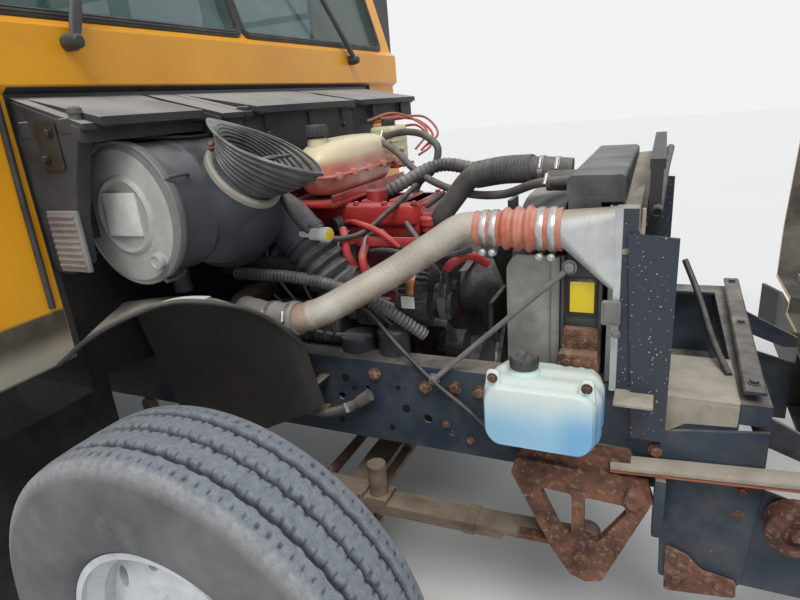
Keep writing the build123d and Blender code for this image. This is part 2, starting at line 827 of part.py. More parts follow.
# Exhaust: down from the engine, a round silencer on the left, and a pipe out at the rear
exhaust_radius = 50
exhaust_y = 580
exhaust_z = 590
silencer_front_reach = -3100
silencer_length = 1250
with BuildPart() as exhaust:
    tube(
        (
            (along(-350), 300, 760),
            (along(-700), 300, exhaust_z),
            (along(-1700), 300, exhaust_z),
            (along(-2000), exhaust_y, exhaust_z),
            (along(silencer_front_reach + 5), exhaust_y, exhaust_z),
        ),
        90,
        exhaust_radius,
    )
    rod(
        (along(silencer_front_reach), exhaust_y, exhaust_z),
        (along(silencer_front_reach - silencer_length), exhaust_y, exhaust_z),
        125,
    )
    tube(
        (
            (along(silencer_front_reach - silencer_length + 5), exhaust_y, exhaust_z),
            (along(-5150), exhaust_y - 20, exhaust_z),
            (along(-5400), 300, exhaust_z),
            (along(-5700), 300, 700),
            (along(-7100), 300, 700),
            (along(-7400), 300, exhaust_z),
            (along(-7700), exhaust_y, exhaust_z - 30),
            (body_rear_x - 40, exhaust_y, exhaust_z - 70),
        ),
        110,
        exhaust_radius,
    )
    for reach in (-3300, -4150):
        block(
            (along(reach - 20), along(reach + 20)),
            (rail_half_width, rail_half_width + 40),
            (exhaust_z - 20, rail_bottom_z + 60),
        )
save(exhaust.part, "exhaust")

# Body. Its cross section is two upright sides, two round shoulders and a slightly arched roof.
def tunnel(x_span, inset, mode=Mode.ADD):
    """A length of the body's outline, or of one set in from it, solid from the ground up."""
    low, high = sorted(x_span)
    half = body_half_width - inset
    with BuildSketch(Plane.YZ.offset(low)) as section:
        with BuildLine():
            Line((-half, 0), (-half, shoulder_z - inset))
            ThreePointArc((-half, shoulder_z - inset), (0, roof_top_z - inset), (half, shoulder_z - inset))
            Line((half, shoulder_z - inset), (half, 0))
            Line((half, 0), (-half, 0))
        make_face()
        fillet([v for v in section.vertices() if v.Y > 1], shoulder_radius - inset)
    extrude(to_extrude=section.sketch, amount=high - low, mode=mode)


def rake_reach(z, depth=0):
    """Reach of a place on the windshield's plane, or of one some depth behind it."""
    slope = tan(radians(windshield_rake))
    return -cowl_setback - 2 - (z - windshield_foot_z) * slope - depth / cos(radians(windshield_rake))


cap_join_reach = -960
cap_outer = (
    (-cowl_setback, floor_under_z),
    (-cowl_setback, cowl_band_foot_z - 12),
    (-cowl_setback + cowl_band_swell, cowl_band_foot_z + 6),
    (-cowl_setback + cowl_band_swell, windshield_foot_z - 20),
    (rake_reach(windshield_foot_z), windshield_foot_z),
    (rake_reach(2790), 2790),
    (-742, 2900),
    (-790, 2990),
    (-860, 3045),
    (cap_join_reach, roof_top_z + 5),
)
cap_inner = (
    (cap_join_reach, roof_top_z - roof_wall),
    (-880, 2995),
    (-830, 2950),
    (-795, 2880),
    (rake_reach(2780, wall), 2780),
    (rake_reach(eave_z, wall), eave_z),
    (rake_reach(1880, wall), 1880),
    (-cowl_setback - wall, 1860),
    (-cowl_setback - wall, floor_under_z),
)
recess_half_width = 860
recess_top_z = 1600
pane_inner_y = 5
pane_outer_y = 1100
pane_foot = 6  # up the windshield's slope from its foot to the opening
pane_height = 850
pane_corner = 30
pane_fit = 0.3
seal_width = 16
rake_plane = Plane(
    origin=(along(rake_reach(windshield_foot_z)), 0, windshield_foot_z),
    x_dir=(0, 1, 0),
    z_dir=(cos(radians(windshield_rake)), 0, sin(radians(windshield_rake))),
)


def pane_outline(inset=0):
    """Both windshield openings, or smaller ones, in the sketch being built."""
    for side in (-1, 1):
        with Locations((side * (pane_inner_y + pane_outer_y) / 2, pane_foot + pane_height / 2)):
            RectangleRounded(
                pane_outer_y - pane_inner_y - 2 * inset,
                pane_height - 2 * inset,
                pane_corner - inset,
            )


with BuildPart() as front_cap:
    side_plate(cap_outer + cap_inner, (-body_half_width, body_half_width))
    tunnel((along(cap_join_reach - 1), along(0)), 0, mode=Mode.INTERSECT)
    with BuildSketch(rake_plane) as openings:
        pane_outline()
    extrude(to_extrude=openings.sketch, amount=200, both=True, mode=Mode.SUBTRACT)
    # Recess that the engine bay's boxes and canister stand in
    block(
        (along(-cowl_setback - wall), along(-cowl_setback)),
        (-recess_half_width, recess_half_width),
        (floor_under_z, recess_top_z),
        mode=Mode.SUBTRACT,
    )
    block(
        (along(-cowl_setback - 2 * wall), along(-cowl_setback - wall)),
        (-recess_half_width - 20, recess_half_width + 20),
        (floor_under_z, recess_top_z + 20),
    )
    # The wheels' arches bite the lower corners
    for side in (-1, 1):
        rod(
            (along(0), side * (body_half_width + 5), axle_z),
            (along(0), side * 560, axle_z),
            wheel_arch_radius,
            mode=Mode.SUBTRACT,
        )
save(front_cap.part, "front_cap")

with BuildPart() as windshield:
    with BuildSketch(rake_plane.offset(-26)) as panes:
        pane_outline(pane_fit)
    extrude(to_extrude=panes.sketch, amount=glass + 2)
    with BuildSketch(rake_plane.offset(-30)) as seal_ring:
        pane_outline(pane_fit)
        for side in (-1, 1):
            with Locations((side * (pane_inner_y + pane_outer_y) / 2, pane_foot + pane_height / 2)):
                RectangleRounded(
                    pane_outer_y - pane_inner_y - 2 * seal_width,
                    pane_height - 2 * seal_width,
                    pane_corner - seal_width,
                    mode=Mode.SUBTRACT,
                )
    extrude(to_extrude=seal_ring.sketch, amount=34)
save(windshield.part, "windshield")

# Windows: openings at one pitch, in both walls
window_fronts = [first_window_reach + window_pitch * row for row in range(window_count)]
driver_window_front = first_window_reach - window_pitch


def window_holes(fronts, inset, y_span, mode=Mode.SUBTRACT, height=window_height, lift=0):
    """Rounded window outlines at given places, carried through between two Y values."""
    low, high = sorted(y_span)
    with BuildSketch(Plane.XZ.offset(-high)) as holes:
        for front in fronts:
            with Locations((along(-front - window_width / 2), window_foot_z + lift + window_height / 2)):
                RectangleRounded(window_width - 2 * inset, height - 2 * inset, window_corner - inset)
    extrude(to_extrude=holes.sketch, amount=high - low, mode=mode)


wall_front = (
    (-cowl_setback - wall, skirt_z),
    (-cowl_setback - wall, 1860),
    (rake_reach(1880, wall), 1880),
    (rake_reach(eave_z, wall), eave_z),
)
rear_wall_reach = body_rear_x + wall - front_axle_x
barrel_radius = 8.5
barrel_length = 55
barrel_stand = 9  # how far a barrel's axis stands off the face it is hinged on


def hinge_barrels(x, y, heights, leaf_x, leaf_y):
    """Hinge barrels at one axis, each with a strap that reaches to a place on its panel's face."""
    for z in heights:
        with Locations((x, y, z)):
            Cylinder(barrel_radius, barrel_length)
        block(
            tuple(sorted((x, leaf_x))),
            tuple(sorted((y, leaf_y))),
            (z - barrel_length / 2, z + barrel_length / 2),
        )


door_hinge_y = -body_half_width - barrel_stand
door_hinge_heights = (620, 1290, 2200)
door_hinge_reaches = (-door_front_reach - door_gap / 2, -door_front_reach - door_width + door_gap / 2)
surround_front = -door_front_reach + 48
surround_rear = -door_front_reach - door_width - 48
surround_foot_z = door_foot_z - 45
with BuildPart() as side_wall_left:
    side_plate(
        wall_front + ((rear_wall_reach, eave_z), (rear_wall_reach, skirt_z)),
        (inner_half_width, body_half_width),
    )
    window_holes([driver_window_front] + window_fronts, 0, (inner_half_width - 5, body_half_width + 5))
    for x in (along(0), rear_axle_x):
        rod((x, inner_half_width - 5, axle_z), (x, body_half_width + 5, axle_z), wheel_arch_radius, mode=Mode.SUBTRACT)
save(side_wall_left.part, "side_wall_left")

with BuildPart() as side_wall_right:
    side_plate(
        wall_front
        + (
            (rear_wall_reach, eave_z),
            (rear_wall_reach, skirt_z),
            (surround_rear, skirt_z),
            (surround_rear, surround_foot_z),
            (surround_front, surround_foot_z),
            (surround_front, skirt_z),
        ),
        (-body_half_width, -inner_half_width),
    )
    window_holes(window_fronts, 0, (-body_half_width - 5, -inner_half_width + 5))
    for x in (along(0), rear_axle_x):
        rod((x, -inner_half_width + 5, axle_z), (x, -body_half_width - 5, axle_z), wheel_arch_radius, mode=Mode.SUBTRACT)
    block(
        (along(-door_front_reach), along(-door_front_reach - door_width)),
        (-body_half_width - 5, -inner_half_width + 5),
        (door_foot_z, door_top_z),
        mode=Mode.SUBTRACT,
    )
    for reach, direction in zip(door_hinge_reaches, (1, -1)):
        hinge_barrels(
            along(reach),
            door_hinge_y,
            door_hinge_heights,
            along(reach + direction * 34),
            -body_half_width,
        )
save(side_wall_right.part, "side_wall_right")

sash = 26
sash_depth = 30
sash_y = body_half_width - 8
split_height = 300  # the upper sash drops inside the lower one
with BuildPart() as window_frames:
    for side, fronts in ((-1, window_fronts), (1, [driver_window_front] + window_fronts)):
        span = (side * (sash_y - sash_depth), side * sash_y)
        window_holes(fronts, pane_fit, span, mode=Mode.ADD)
        window_holes(
            fronts,
            sash,
            (side * (sash_y - sash_depth - 1), side * (sash_y + 1)),
            mode=Mode.SUBTRACT,
        )
        for front in fronts:
            z_bar = window_foot_z + window_height - split_height
            block(
                (along(-front - sash - pane_fit + 1), along(-front - window_width + sash + pane_fit - 1)),
                span,
                (z_bar - 14, z_bar + 14),
            )
save(window_frames.part, "window_frames")

with BuildPart() as side_glass:
    for side, fronts in ((-1, window_fronts), (1, [driver_window_front] + window_fronts)):
        mid = side * (sash_y - sash_depth / 2)
        window_holes(fronts, sash + pane_fit, (mid - glass / 2, mid + glass / 2), mode=Mode.ADD)
        for front in fronts:
            z_bar = window_foot_z + window_height - split_height
            block(
                (along(-front + 5), along(-front - window_width - 5)),
                (mid - glass, mid + glass),
                (z_bar - 14 - pane_fit, z_bar + 14 + pane_fit),
                mode=Mode.SUBTRACT,
            )

# Roof, with the hatch's opening and its upstanding rim
hatch_reach = -3900
hatch_half = 300
hatch_gap = 0.4
hatch_rim = 24
hatch_lid_z = roof_top_z + 22 + hatch_gap
hatch_axis_reach = hatch_reach + hatch_half + hatch_rim + barrel_stand
hatch_axis_z = hatch_lid_z + barrel_stand
with BuildPart() as roof:
    tunnel((body_rear_x + wall, along(-cowl_setback)), 0)
    tunnel((body_rear_x + wall - 1, along(-cowl_setback + 1)), roof_wall, mode=Mode.SUBTRACT)
    block((body_rear_x, along(0)), (-body_half_width - 9, body_half_width + 9), (-5, eave_z), mode=Mode.SUBTRACT)
    side_plate(
        ((100, roof_top_z + 90), (cap_join_reach, roof_top_z + 90))
        + cap_inner
        + ((100, floor_under_z),),
        (-body_half_width - 9, body_half_width + 9),
        mode=Mode.SUBTRACT,
    )
    block(
        (along(hatch_reach - hatch_half - hatch_rim), along(hatch_reach + hatch_half + hatch_rim)),
        (-hatch_half - hatch_rim, hatch_half + hatch_rim),
        (roof_top_z - roof_wall - 4, roof_top_z + 22),
    )
    block(
        (along(hatch_reach - hatch_half), along(hatch_reach + hatch_half)),
        (-hatch_half, hatch_half),
        (roof_top_z - roof_wall - 60, roof_top_z + 60),
        mode=Mode.SUBTRACT,
    )
    # Barrels that the hatch turns on, stood on the roof ahead of its rim
    for y in (-200, 145):
        rod((along(hatch_axis_reach), y, hatch_axis_z), (along(hatch_axis_reach), y + barrel_length, hatch_axis_z), barrel_radius)
        block(
            (along(hatch_axis_reach - barrel_stand + 1), along(hatch_axis_reach + 6)),
            (y, y + barrel_length),
            (roof_top_z - 20, hatch_axis_z),
        )
save(roof.part, "roof")

with BuildPart() as roof_hatch:
    block(
        (along(hatch_reach - hatch_half - hatch_rim), along(hatch_reach + hatch_half + hatch_rim)),
        (-hatch_half - hatch_rim, hatch_half + hatch_rim),
        (hatch_lid_z, hatch_lid_z + 38),
    )
    chamfer(roof_hatch.edges().group_by(Axis.Z)[-1], 24, 60)
    block(
        (along(hatch_reach - hatch_half + 20), along(hatch_reach + hatch_half - 20)),
        (-hatch_half + 20, hatch_half - 20),
        (hatch_lid_z - 1, hatch_lid_z + 24),
        mode=Mode.SUBTRACT,
    )
    for y in (-200 + barrel_length + running_fit, 145 - barrel_length - running_fit):
        rod((along(hatch_axis_reach), y, hatch_axis_z), (along(hatch_axis_reach), y + barrel_length, hatch_axis_z), barrel_radius)
        block(
            (along(hatch_axis_reach - barrel_stand - 4), along(hatch_axis_reach)),
            (y, y + barrel_length),
            (hatch_axis_z - 4, hatch_axis_z + barrel_radius),
        )
save(roof_hatch.part, "roof_hatch")

emergency_hinge_x = body_rear_x - barrel_stand
emergency_hinge_y = -emergency_width / 2 + emergency_gap / 2
emergency_hinge_heights = (1150, 1600, 2250)

# Rear wall, with the emergency door's opening and two windows either side of it
rear_window_y = 760
rear_window_width = 560
rear_window_foot_z = 1730
rear_window_height = 640
with BuildPart() as rear_wall:
    tunnel((body_rear_x, body_rear_x + wall), 0)
    block(
        (body_rear_x - 5, body_rear_x + wall + 5),
        (-body_half_width - 9, body_half_width + 9),
        (-5, rear_bumper_foot_z + rear_bumper_height + 5),
        mode=Mode.SUBTRACT,
    )
    with BuildSketch(Plane.YZ.offset(body_rear_x - 5)) as holes:
        with Locations((0, (emergency_foot_z + emergency_top_z) / 2)):
            Rectangle(emergency_width, emergency_top_z - emergency_foot_z)
        for side in (-1, 1):
            with Locations((side * rear_window_y, rear_window_foot_z + rear_window_height / 2)):
                RectangleRounded(rear_window_width, rear_window_height, window_corner)
    extrude(to_extrude=holes.sketch, amount=wall + 10, mode=Mode.SUBTRACT)
    hinge_barrels(emergency_hinge_x, emergency_hinge_y, emergency_hinge_heights, body_rear_x, emergency_hinge_y - 34)
save(rear_wall.part, "rear_wall")

with BuildPart() as body_glass:
    add(side_glass.part)
    with BuildSketch(Plane.YZ.offset(body_rear_x + wall / 2 - glass / 2)) as panes:
        for side in (-1, 1):
            with Locations((side * rear_window_y, rear_window_foot_z + rear_window_height / 2)):
                RectangleRounded(
                    rear_window_width - 2 * pane_fit,
                    rear_window_height - 2 * pane_fit,
                    window_corner - pane_fit,
                )
    extrude(to_extrude=panes.sketch, amount=glass)
save(body_glass.part, "body_glass")

# Emergency door: frame with an upper and a lower pane, and its handle
emergency_frame = 95
emergency_pane_low = (1080, 1560)
emergency_pane_high = (1730, 2385)
with BuildPart() as emergency_door:
    half = emergency_width / 2 - emergency_gap
    door_span = (body_rear_x, body_rear_x + wall)
    block(door_span, (-half, half), (emergency_foot_z + emergency_gap, emergency_top_z - emergency_gap))
    for low, high in (emergency_pane_low, emergency_pane_high):
        block(
            (door_span[0] - 5, door_span[1] + 5),
            (-half + emergency_frame, half - emergency_frame),
            (low, high),
            mode=Mode.SUBTRACT,
        )
    for low, high in (emergency_pane_low, emergency_pane_high):
        block(
            (body_rear_x + wall / 2 - glass / 2, body_rear_x + wall / 2 + glass / 2),
            (-half + emergency_frame + pane_fit, half - emergency_frame - pane_fit),
            (low + pane_fit, high - pane_fit),
        )
    for z in (1622, 1668):
        block((body_rear_x - 26, body_rear_x), (half - 120, half - 90), (z - 12, z + 12))
    block((body_rear_x - 38, body_rear_x - 26), (half - 124, half - 86), (1605, 1685))
    hinge_barrels(
        emergency_hinge_x,
        emergency_hinge_y,
        [z + barrel_length + running_fit for z in emergency_hinge_heights],
        body_rear_x,
        emergency_hinge_y + 34,
    )
save(emergency_door.part, "emergency_door")

# Floor, its cross sills, the wheelhouses and the entrance steps
well_front_reach = -door_front_reach
well_rear_reach = -door_front_reach - door_width
well_inner_y = -675
tread_depth = (inner_half_width + well_inner_y) / 2
house_inner_y = 552
house_half_length = 615
house_top_z = 1130
plate = 25
sill_reaches = (-1750, -2460, -3170, -3880, -4590, -5300, -7460, -8170, -8780)
with BuildPart() as floor:
    block(
        (body_rear_x + wall, along(-cowl_setback - 2 * wall)),
        (-inner_half_width, inner_half_width),
        (floor_under_z, floor_z),
    )
    for side in (-1, 1):
        block(
            (along(-cowl_setback - 2 * wall), along(-cowl_setback - wall)),
            (side * (recess_half_width + 20), side * inner_half_width),
            (floor_under_z, floor_z),
        )
    for reach in sill_reaches:
        block((along(reach - 30), along(reach + 30)), (-1120, 1120), (rail_top_z, floor_under_z))
    for reach in (-590, -1200):
        block((along(reach - 30), along(reach + 30)), (-600, 1000), (rail_top_z, floor_under_z))
    for x in (rear_axle_x - 350, rear_axle_x + 350):
        block((x - 30, x + 30), (-520, 520), (rail_top_z, floor_under_z))
    for side in (-1, 1):
        block(
            (rear_axle_x - house_half_length - plate, rear_axle_x + house_half_length + plate),
            (side * (house_inner_y - plate), side * inner_half_width),
            (floor_under_z, house_top_z),
        )
        block(
            (rear_axle_x - house_half_length, rear_axle_x + house_half_length),
            (side * house_inner_y, side * (inner_half_width + 1)),
            (floor_under_z - 1, house_top_z - plate),
            mode=Mode.SUBTRACT,
        )
    # Stairwell: open towards the door, two treads below the floor
    block(
        (along(well_rear_reach), along(well_front_reach)),
        (-inner_half_width - 1, well_inner_y),
        (floor_under_z - 1, floor_z + 1),
        mode=Mode.SUBTRACT,
    )
    for reach_span in ((well_front_reach, well_front_reach + plate), (well_rear_reach - plate, well_rear_reach)):
        block(
            (along(reach_span[0]), along(reach_span[1])),
            (-inner_half_width, well_inner_y + plate),
            (door_foot_z - plate, floor_under_z),
        )
    for step in (0, 1):
        z = door_foot_z + step * step_rise
        y_front = -inner_half_width + step * tread_depth
        block(
            (along(well_rear_reach), along(well_front_reach)),
            (y_front, y_front + tread_depth + plate),
            (z - plate, z),
        )
        block(
            (along(well_rear_reach), along(well_front_reach)),
            (y_front + tread_depth, y_front + tread_depth + plate),
            (z, z + step_rise - (plate if step == 0 else floor_z - floor_under_z)),
        )
save(floor.part, "floor")

# Rub rails: double ribs at three heights, left out at the arches and the entrance
rub_rail_heights = (1690, 1340, floor_z - 20)
rub_rail_height = 92
rub_rail_depth = 12
with BuildPart() as rub_rails:
    for side in (-1, 1):
        for z in rub_rail_heights:
            front = -cowl_setback - 90 if side > 0 else surround_rear
            for rib in (-1, 0, 1):
                depth = rub_rail_depth if rib else rub_rail_depth * 0.4
                block(
                    (body_rear_x + 8, along(front)),
                    (side * body_half_width, side * (body_half_width + depth)),
                    (z + rib * 32 - 16, z + rib * 32 + 16),
                )
    for side in (-1, 1):
        for x in (along(0), rear_axle_x):
            rod(
                (x, side * (body_half_width - 1), axle_z),
                (x, side * (body_half_width + 30), axle_z),
                wheel_arch_radius + 20,
                mode=Mode.SUBTRACT,
            )
save(rub_rails.part, "rub_rails")

# Entrance door: two leaves that swing outwards from the jambs
door_pane_low = (470, 1150)
door_pane_high = (1230, 2360)
leaf_width = (door_width - 3 * door_gap) / 2
for name, edge, direction in (
    ("front", -door_front_reach - door_gap, -1),
    ("rear", -door_front_reach - door_width + door_gap, 1),
):
    with BuildPart() as leaf:
        far = edge + direction * leaf_width
        y_span = (-body_half_width, -body_half_width + door_leaf_thickness)
        block((along(edge), along(far)), y_span, (door_foot_z + door_gap, door_top_z - door_gap))
        inner = (edge + direction * door_frame, far - direction * door_frame)
        for low, high in (door_pane_low, door_pane_high):
            block(
                (along(inner[0]), along(inner[1])),
                (y_span[0] - 5, y_span[1] + 5),
                (low, high),
                mode=Mode.SUBTRACT,
            )
        for low, high in (door_pane_low, door_pane_high):
            block(
                (along(inner[0] + direction * pane_fit), along(inner[1] - direction * pane_fit)),
                (y_span[0] + 16, y_span[0] + 16 + glass),
                (low + pane_fit, high - pane_fit),
            )
        hinge_barrels(
            along(edge - direction * door_gap / 2),
            door_hinge_y,
            [z + barrel_length + running_fit for z in door_hinge_heights],
            along(edge + direction * 34),
            -body_half_width,
        )
    save(leaf.part, f"door_leaf_{name}")

# Passenger seats: ten rows of two benches with high backs
seat_rows = 10
seat_pitch = 690
first_seat_reach = -2150
seat_length = 990
aisle_half = 190
with BuildPart() as seats:
    for row in range(seat_rows):
        reach = first_seat_reach - row * seat_pitch
        on_house = abs(along(reach) - rear_axle_x) < house_half_length + 260
        for side in (-1, 1):
            y_span = (side * (aisle_half + 10), side * (aisle_half + seat_length - 30))
            block((along(reach - 250), along(reach + 150)), y_span, (floor_z + 330, floor_z + 430))
            side_plate(
                ((reach - 250, floor_z + 340), (reach - 160, floor_z + 340), (reach - 230, floor_z + 1000), (reach - 300, floor_z + 1000)),
                y_span,
            )
            for y in (aisle_half + 60, aisle_half + seat_length - 160):
                foot_z = house_top_z if on_house and y > house_inner_y else floor_z
                for leg in (-200, 100):
                    block(
                        (along(reach + leg - 18), along(reach + leg + 18)),
                        (side * y, side * (y + 40)),
                        (foot_z, floor_z + 332),
                    )
save(seats.part, "seats")

# Driver's place: seat, column with its wheel, and the dashboard across the front
driver_y = 640
driver_seat_reach = -1440
wheel_reach = -1010
wheel_z = 1640
column_foot_reach = -590  # where the steering column comes up through the floor
with BuildPart() as driver_station:
    block((along(driver_seat_reach - 240), along(driver_seat_reach + 240)), (driver_y - 240, driver_y + 240), (floor_z + 380, floor_z + 500))
    side_plate(
        (
            (driver_seat_reach - 240, floor_z + 440),
            (driver_seat_reach - 140, floor_z + 440),
            (driver_seat_reach - 230, floor_z + 1130),
            (driver_seat_reach - 320, floor_z + 1130),
        ),
        (driver_y - 230, driver_y + 230),
    )
    block((along(driver_seat_reach - 130), along(driver_seat_reach + 130)), (driver_y - 130, driver_y + 130), (floor_z, floor_z + 382))
    side_plate(
        (
            (-cowl_setback - wall, recess_top_z + 25),
            (-cowl_setback - wall, 1850),
            (-cowl_setback - wall - 190, 1850),
            (-cowl_setback - wall - 300, 1760),
            (-cowl_setback - wall - 300, recess_top_z + 60),
        ),
        (-560, 1120),
    )
    rod((along(-700), driver_y, floor_z + 480), (along(wheel_reach), driver_y, wheel_z), 40)
    rod((along(column_foot_reach), driver_y, floor_z + 7), (along(-690), driver_y, floor_z + 488), 30)
    column = Vector(wheel_reach + 700, 0, wheel_z - floor_z - 480).normalized()
    with BuildSketch(Plane(origin=(along(wheel_reach), driver_y, wheel_z), z_dir=(column.X, 0, column.Z))) as hub:
        Circle(228)
        Circle(196, mode=Mode.SUBTRACT)
        Rectangle(400, 34)
        Circle(62)
    extrude(to_extrude=hub.sketch, amount=30)
save(driver_station.part, "driver_station")

# Tilt hood: a tapering centre and two fenders in one thin skin, modelled closed and swung open at the end
hood_crown = 30  # how far the top falls from its middle to its edges
hood_corner = 115
hood_axis = Axis((along(hood_pivot_reach), 0, hood_pivot_z), (0, 1, 0))
grille_half_width = 470
grille_foot_z = 905
grille_top_z = 1325
lamp_y = (745, 965)
lamp_z = (850, 1040)
fender_face_reach = 1262


def nose_reach_at(z):
    """Reach of the raked nose at a height."""
    return nose_reach - nose_rake * (z - nose_foot_z) / (nose_top_z - nose_foot_z)


def hood_centre(inset, rear, foot_z):
    """The hood's middle as a solid, or a smaller one set in from it."""
    with BuildPart() as centre:
        sections = []
        for reach, half_width, top_z in (
            (hood_rear_reach, hood_half_width_rear, hood_rear_top_z),
            (nose_reach, hood_half_width_nose, nose_top_z),
        ):
            half = half_width - inset
            top = top_z - inset
            with BuildSketch(Plane.YZ.offset(along(reach))) as section:
                with BuildLine():
                    Line((-half, foot_z), (-half, top - hood_crown))
                    ThreePointArc((-half, top - hood_crown), (0, top), (half, top - hood_crown))
                    Line((half, top - hood_crown), (half, foot_z))
                    Line((half, foot_z), (-half, foot_z))
                make_face()
                fillet([v for v in section.vertices() if v.Y > foot_z + 1], hood_corner - inset)
            sections.append(section.sketch)
        loft(sections=sections, ruled=True)
        if rear < hood_rear_reach:
            extrude(to_extrude=centre.faces().sort_by(Axis.X)[0], amount=hood_rear_reach - rear)
        side_plate(
            (
                (nose_reach_at(0) - inset, 0),
                (nose_reach_at(2000) - inset, 2000),
                (nose_reach + 200, 2000),
                (nose_reach + 200, 0),
            ),
            (-body_half_width, body_half_width),
            mode=Mode.SUBTRACT,
        )
    return centre.part


def fender(side, inset, rear, foot_z):
    """One fender as a solid, or a smaller one set in from it."""
    with BuildPart() as volume:
        side_plate(
            (
                (rear, foot_z),
                (rear, fender_top_z - inset),
                (520, fender_top_z - inset),
                (900, fender_top_z - 70 - inset),
                (fender_face_reach - 90 - inset, fender_front_z + 70 - inset * 0.6),
                (fender_face_reach - inset, fender_front_z - 60),
                (fender_face_reach - inset, foot_z),
            ),
            (side * 500, side * (fender_half_width - inset)),
        )
        flat_plate(
            (
                (rear, side * 500),
                (rear, side * (fender_half_width - inset)),
                (660, side * (fender_half_width - inset)),
                (1060 - inset * 0.5, side * (fender_half_width - 95 - inset)),
                (fender_face_reach - inset, side * (fender_nose_half_width - inset * 0.6)),
                (fender_face_reach - inset, side * 500),
            ),
            (foot_z - 10, fender_top_z + 10),
            mode=Mode.INTERSECT,
        )
    return volume.part


hood_outer = [hood_centre(0, hood_rear_reach, nose_foot_z)]
hood_inner = [hood_centre(hood_skin, hood_rear_reach - 20, nose_foot_z - 30)]
for side in (-1, 1):
    hood_outer.append(fender(side, 0, hood_rear_reach, nose_foot_z))
    hood_inner.append(fender(side, hood_skin, hood_rear_reach - 20, nose_foot_z - 30))

with BuildPart() as hood:
    for volume in hood_outer:
        add(volume)
    for volume in hood_inner:
        add(volume, mode=Mode.SUBTRACT)
    for side in (-1, 1):
        rod(
            (along(0), side * 700, axle_z),
            (along(0), side * (fender_half_width + 10), axle_z),
            wheel_arch_radius,
            mode=Mode.SUBTRACT,
        )
        block(
            (along(fender_face_reach - 40), along(fender_face_reach + 10)),
            (side * lamp_y[0], side * lamp_y[1]),
            lamp_z,
            mode=Mode.SUBTRACT,
        )
    block(
        (along(nose_reach - nose_rake - 60), along(nose_reach + 10)),
        (-grille_half_width, grille_half_width),
        (grille_foot_z, grille_top_z),
        mode=Mode.SUBTRACT,
    )
    # Hinge arms inside the nose, bored for the frame's pins
    for side in (-1, 1):
        arm_span = (
            side * (hinge_lug_y + hinge_lug_thickness + 6),
            side * (hinge_lug_y + 2 * hinge_lug_thickness + 6),
        )
        side_plate(
            (
                (hood_pivot_reach - 23, hood_pivot_z - 17),
                (hood_pivot_reach + 23, hood_pivot_z - 17),
                (nose_reach_at(nose_foot_z), nose_foot_z),
                (nose_reach_at(885), 885),
                (hood_pivot_reach - 27, 885),
                (hood_pivot_reach - 27, 780),
            ),
            arm_span,
        )
        rod(
            (along(hood_pivot_reach), arm_span[0] - side, hood_pivot_z),
            (along(hood_pivot_reach), arm_span[1] + side, hood_pivot_z),
            hinge_pin_radius + running_fit,
            mode=Mode.SUBTRACT,
        )
save(hood.part.rotate(hood_axis, hood_open_angle), "hood")

# Grille: a frame with level slats, set in the nose
slat_count = 7
with BuildPart() as grille:
    side_plate(
        (
            (nose_reach_at(grille_foot_z) - 24, grille_foot_z + hose_fit),
            (nose_reach_at(grille_top_z) - 24, grille_top_z - hose_fit),
            (nose_reach_at(grille_top_z) + 4, grille_top_z - hose_fit),
            (nose_reach_at(grille_foot_z) + 4, grille_foot_z + hose_fit),
        ),
        (-grille_half_width + hose_fit, grille_half_width - hose_fit),
    )
    block(
        (along(nose_reach - 120), along(nose_reach + 20)),
        (-grille_half_width + 26, grille_half_width - 26),
        (grille_foot_z + 26, grille_top_z - 26),
        mode=Mode.SUBTRACT,
    )
    for slat in range(slat_count):
        z = grille_foot_z + 26 + (slat + 0.5) * (grille_top_z - grille_foot_z - 52) / slat_count
        block(
            (along(nose_reach_at(z) - 22), along(nose_reach_at(z) + 2)),
            (-grille_half_width + 20, grille_half_width - 20),
            (z - 10, z + 10),
        )
save(grille.part.rotate(hood_axis, hood_open_angle), "grille")

with BuildPart() as headlamps:
    for side in (-1, 1):
        block(
            (along(fender_face_reach - 36), along(fender_face_reach + 6)),
            (side * (lamp_y[0] + hose_fit), side * (lamp_y[1] - hose_fit)),
            (lamp_z[0] + hose_fit, lamp_z[1] - hose_fit),
        )
save(headlamps.part.rotate(hood_axis, hood_open_angle), "headlamps")

# Radiator: finned core between two upright tanks, with a pressed top tank and a fan shroud behind it
cooler_foot_z = rail_top_z + 5
flange_clear = rail_half_width - rail_flange - 7  # half-width of what stands between the rails' flanges
stub_y = 250
stub_z = 1386
stub_radius = 26
core_inset = 62
with BuildPart() as radiator:
    x_span = (along(radiator_reach), along(radiator_reach + radiator_depth))
    block(
        x_span,
        (-side_tank_half_width + core_inset, side_tank_half_width - core_inset),
        (radiator_foot_z, radiator_top_z),
    )
    for side in (-1, 1):
        block(
            (along(radiator_reach + 8), along(radiator_reach + radiator_depth - 8)),
            (side * (side_tank_half_width - core_inset), side * side_tank_half_width),
            (cooler_foot_z, radiator_top_z + 10),
        )
    block(
        (along(radiator_reach + 4), along(radiator_reach + 134)),
        (-radiator_half_width + 40, radiator_half_width - 40),
        (radiator_top_z, radiator_top_z + 62),
    )
    fillet(radiator.edges().filter_by(Axis.Y).group_by(Axis.Z)[-1], 14)
    for side in (-1, 1):
        block(
            (along(radiator_reach + 10), along(radiator_reach + 70)),
            (side * (side_tank_half_width - 10), side * (radiator_half_width + 2)),
            (rail_top_z, rail_top_z + 60),
        )
    # Pipe stub that the upper hose slips over, on the right of the top tank
    rod((along(radiator_reach + 20), -stub_y, stub_z), (along(radiator_reach - 60), -stub_y, stub_z), stub_radius)
save(radiator.part, "radiator")

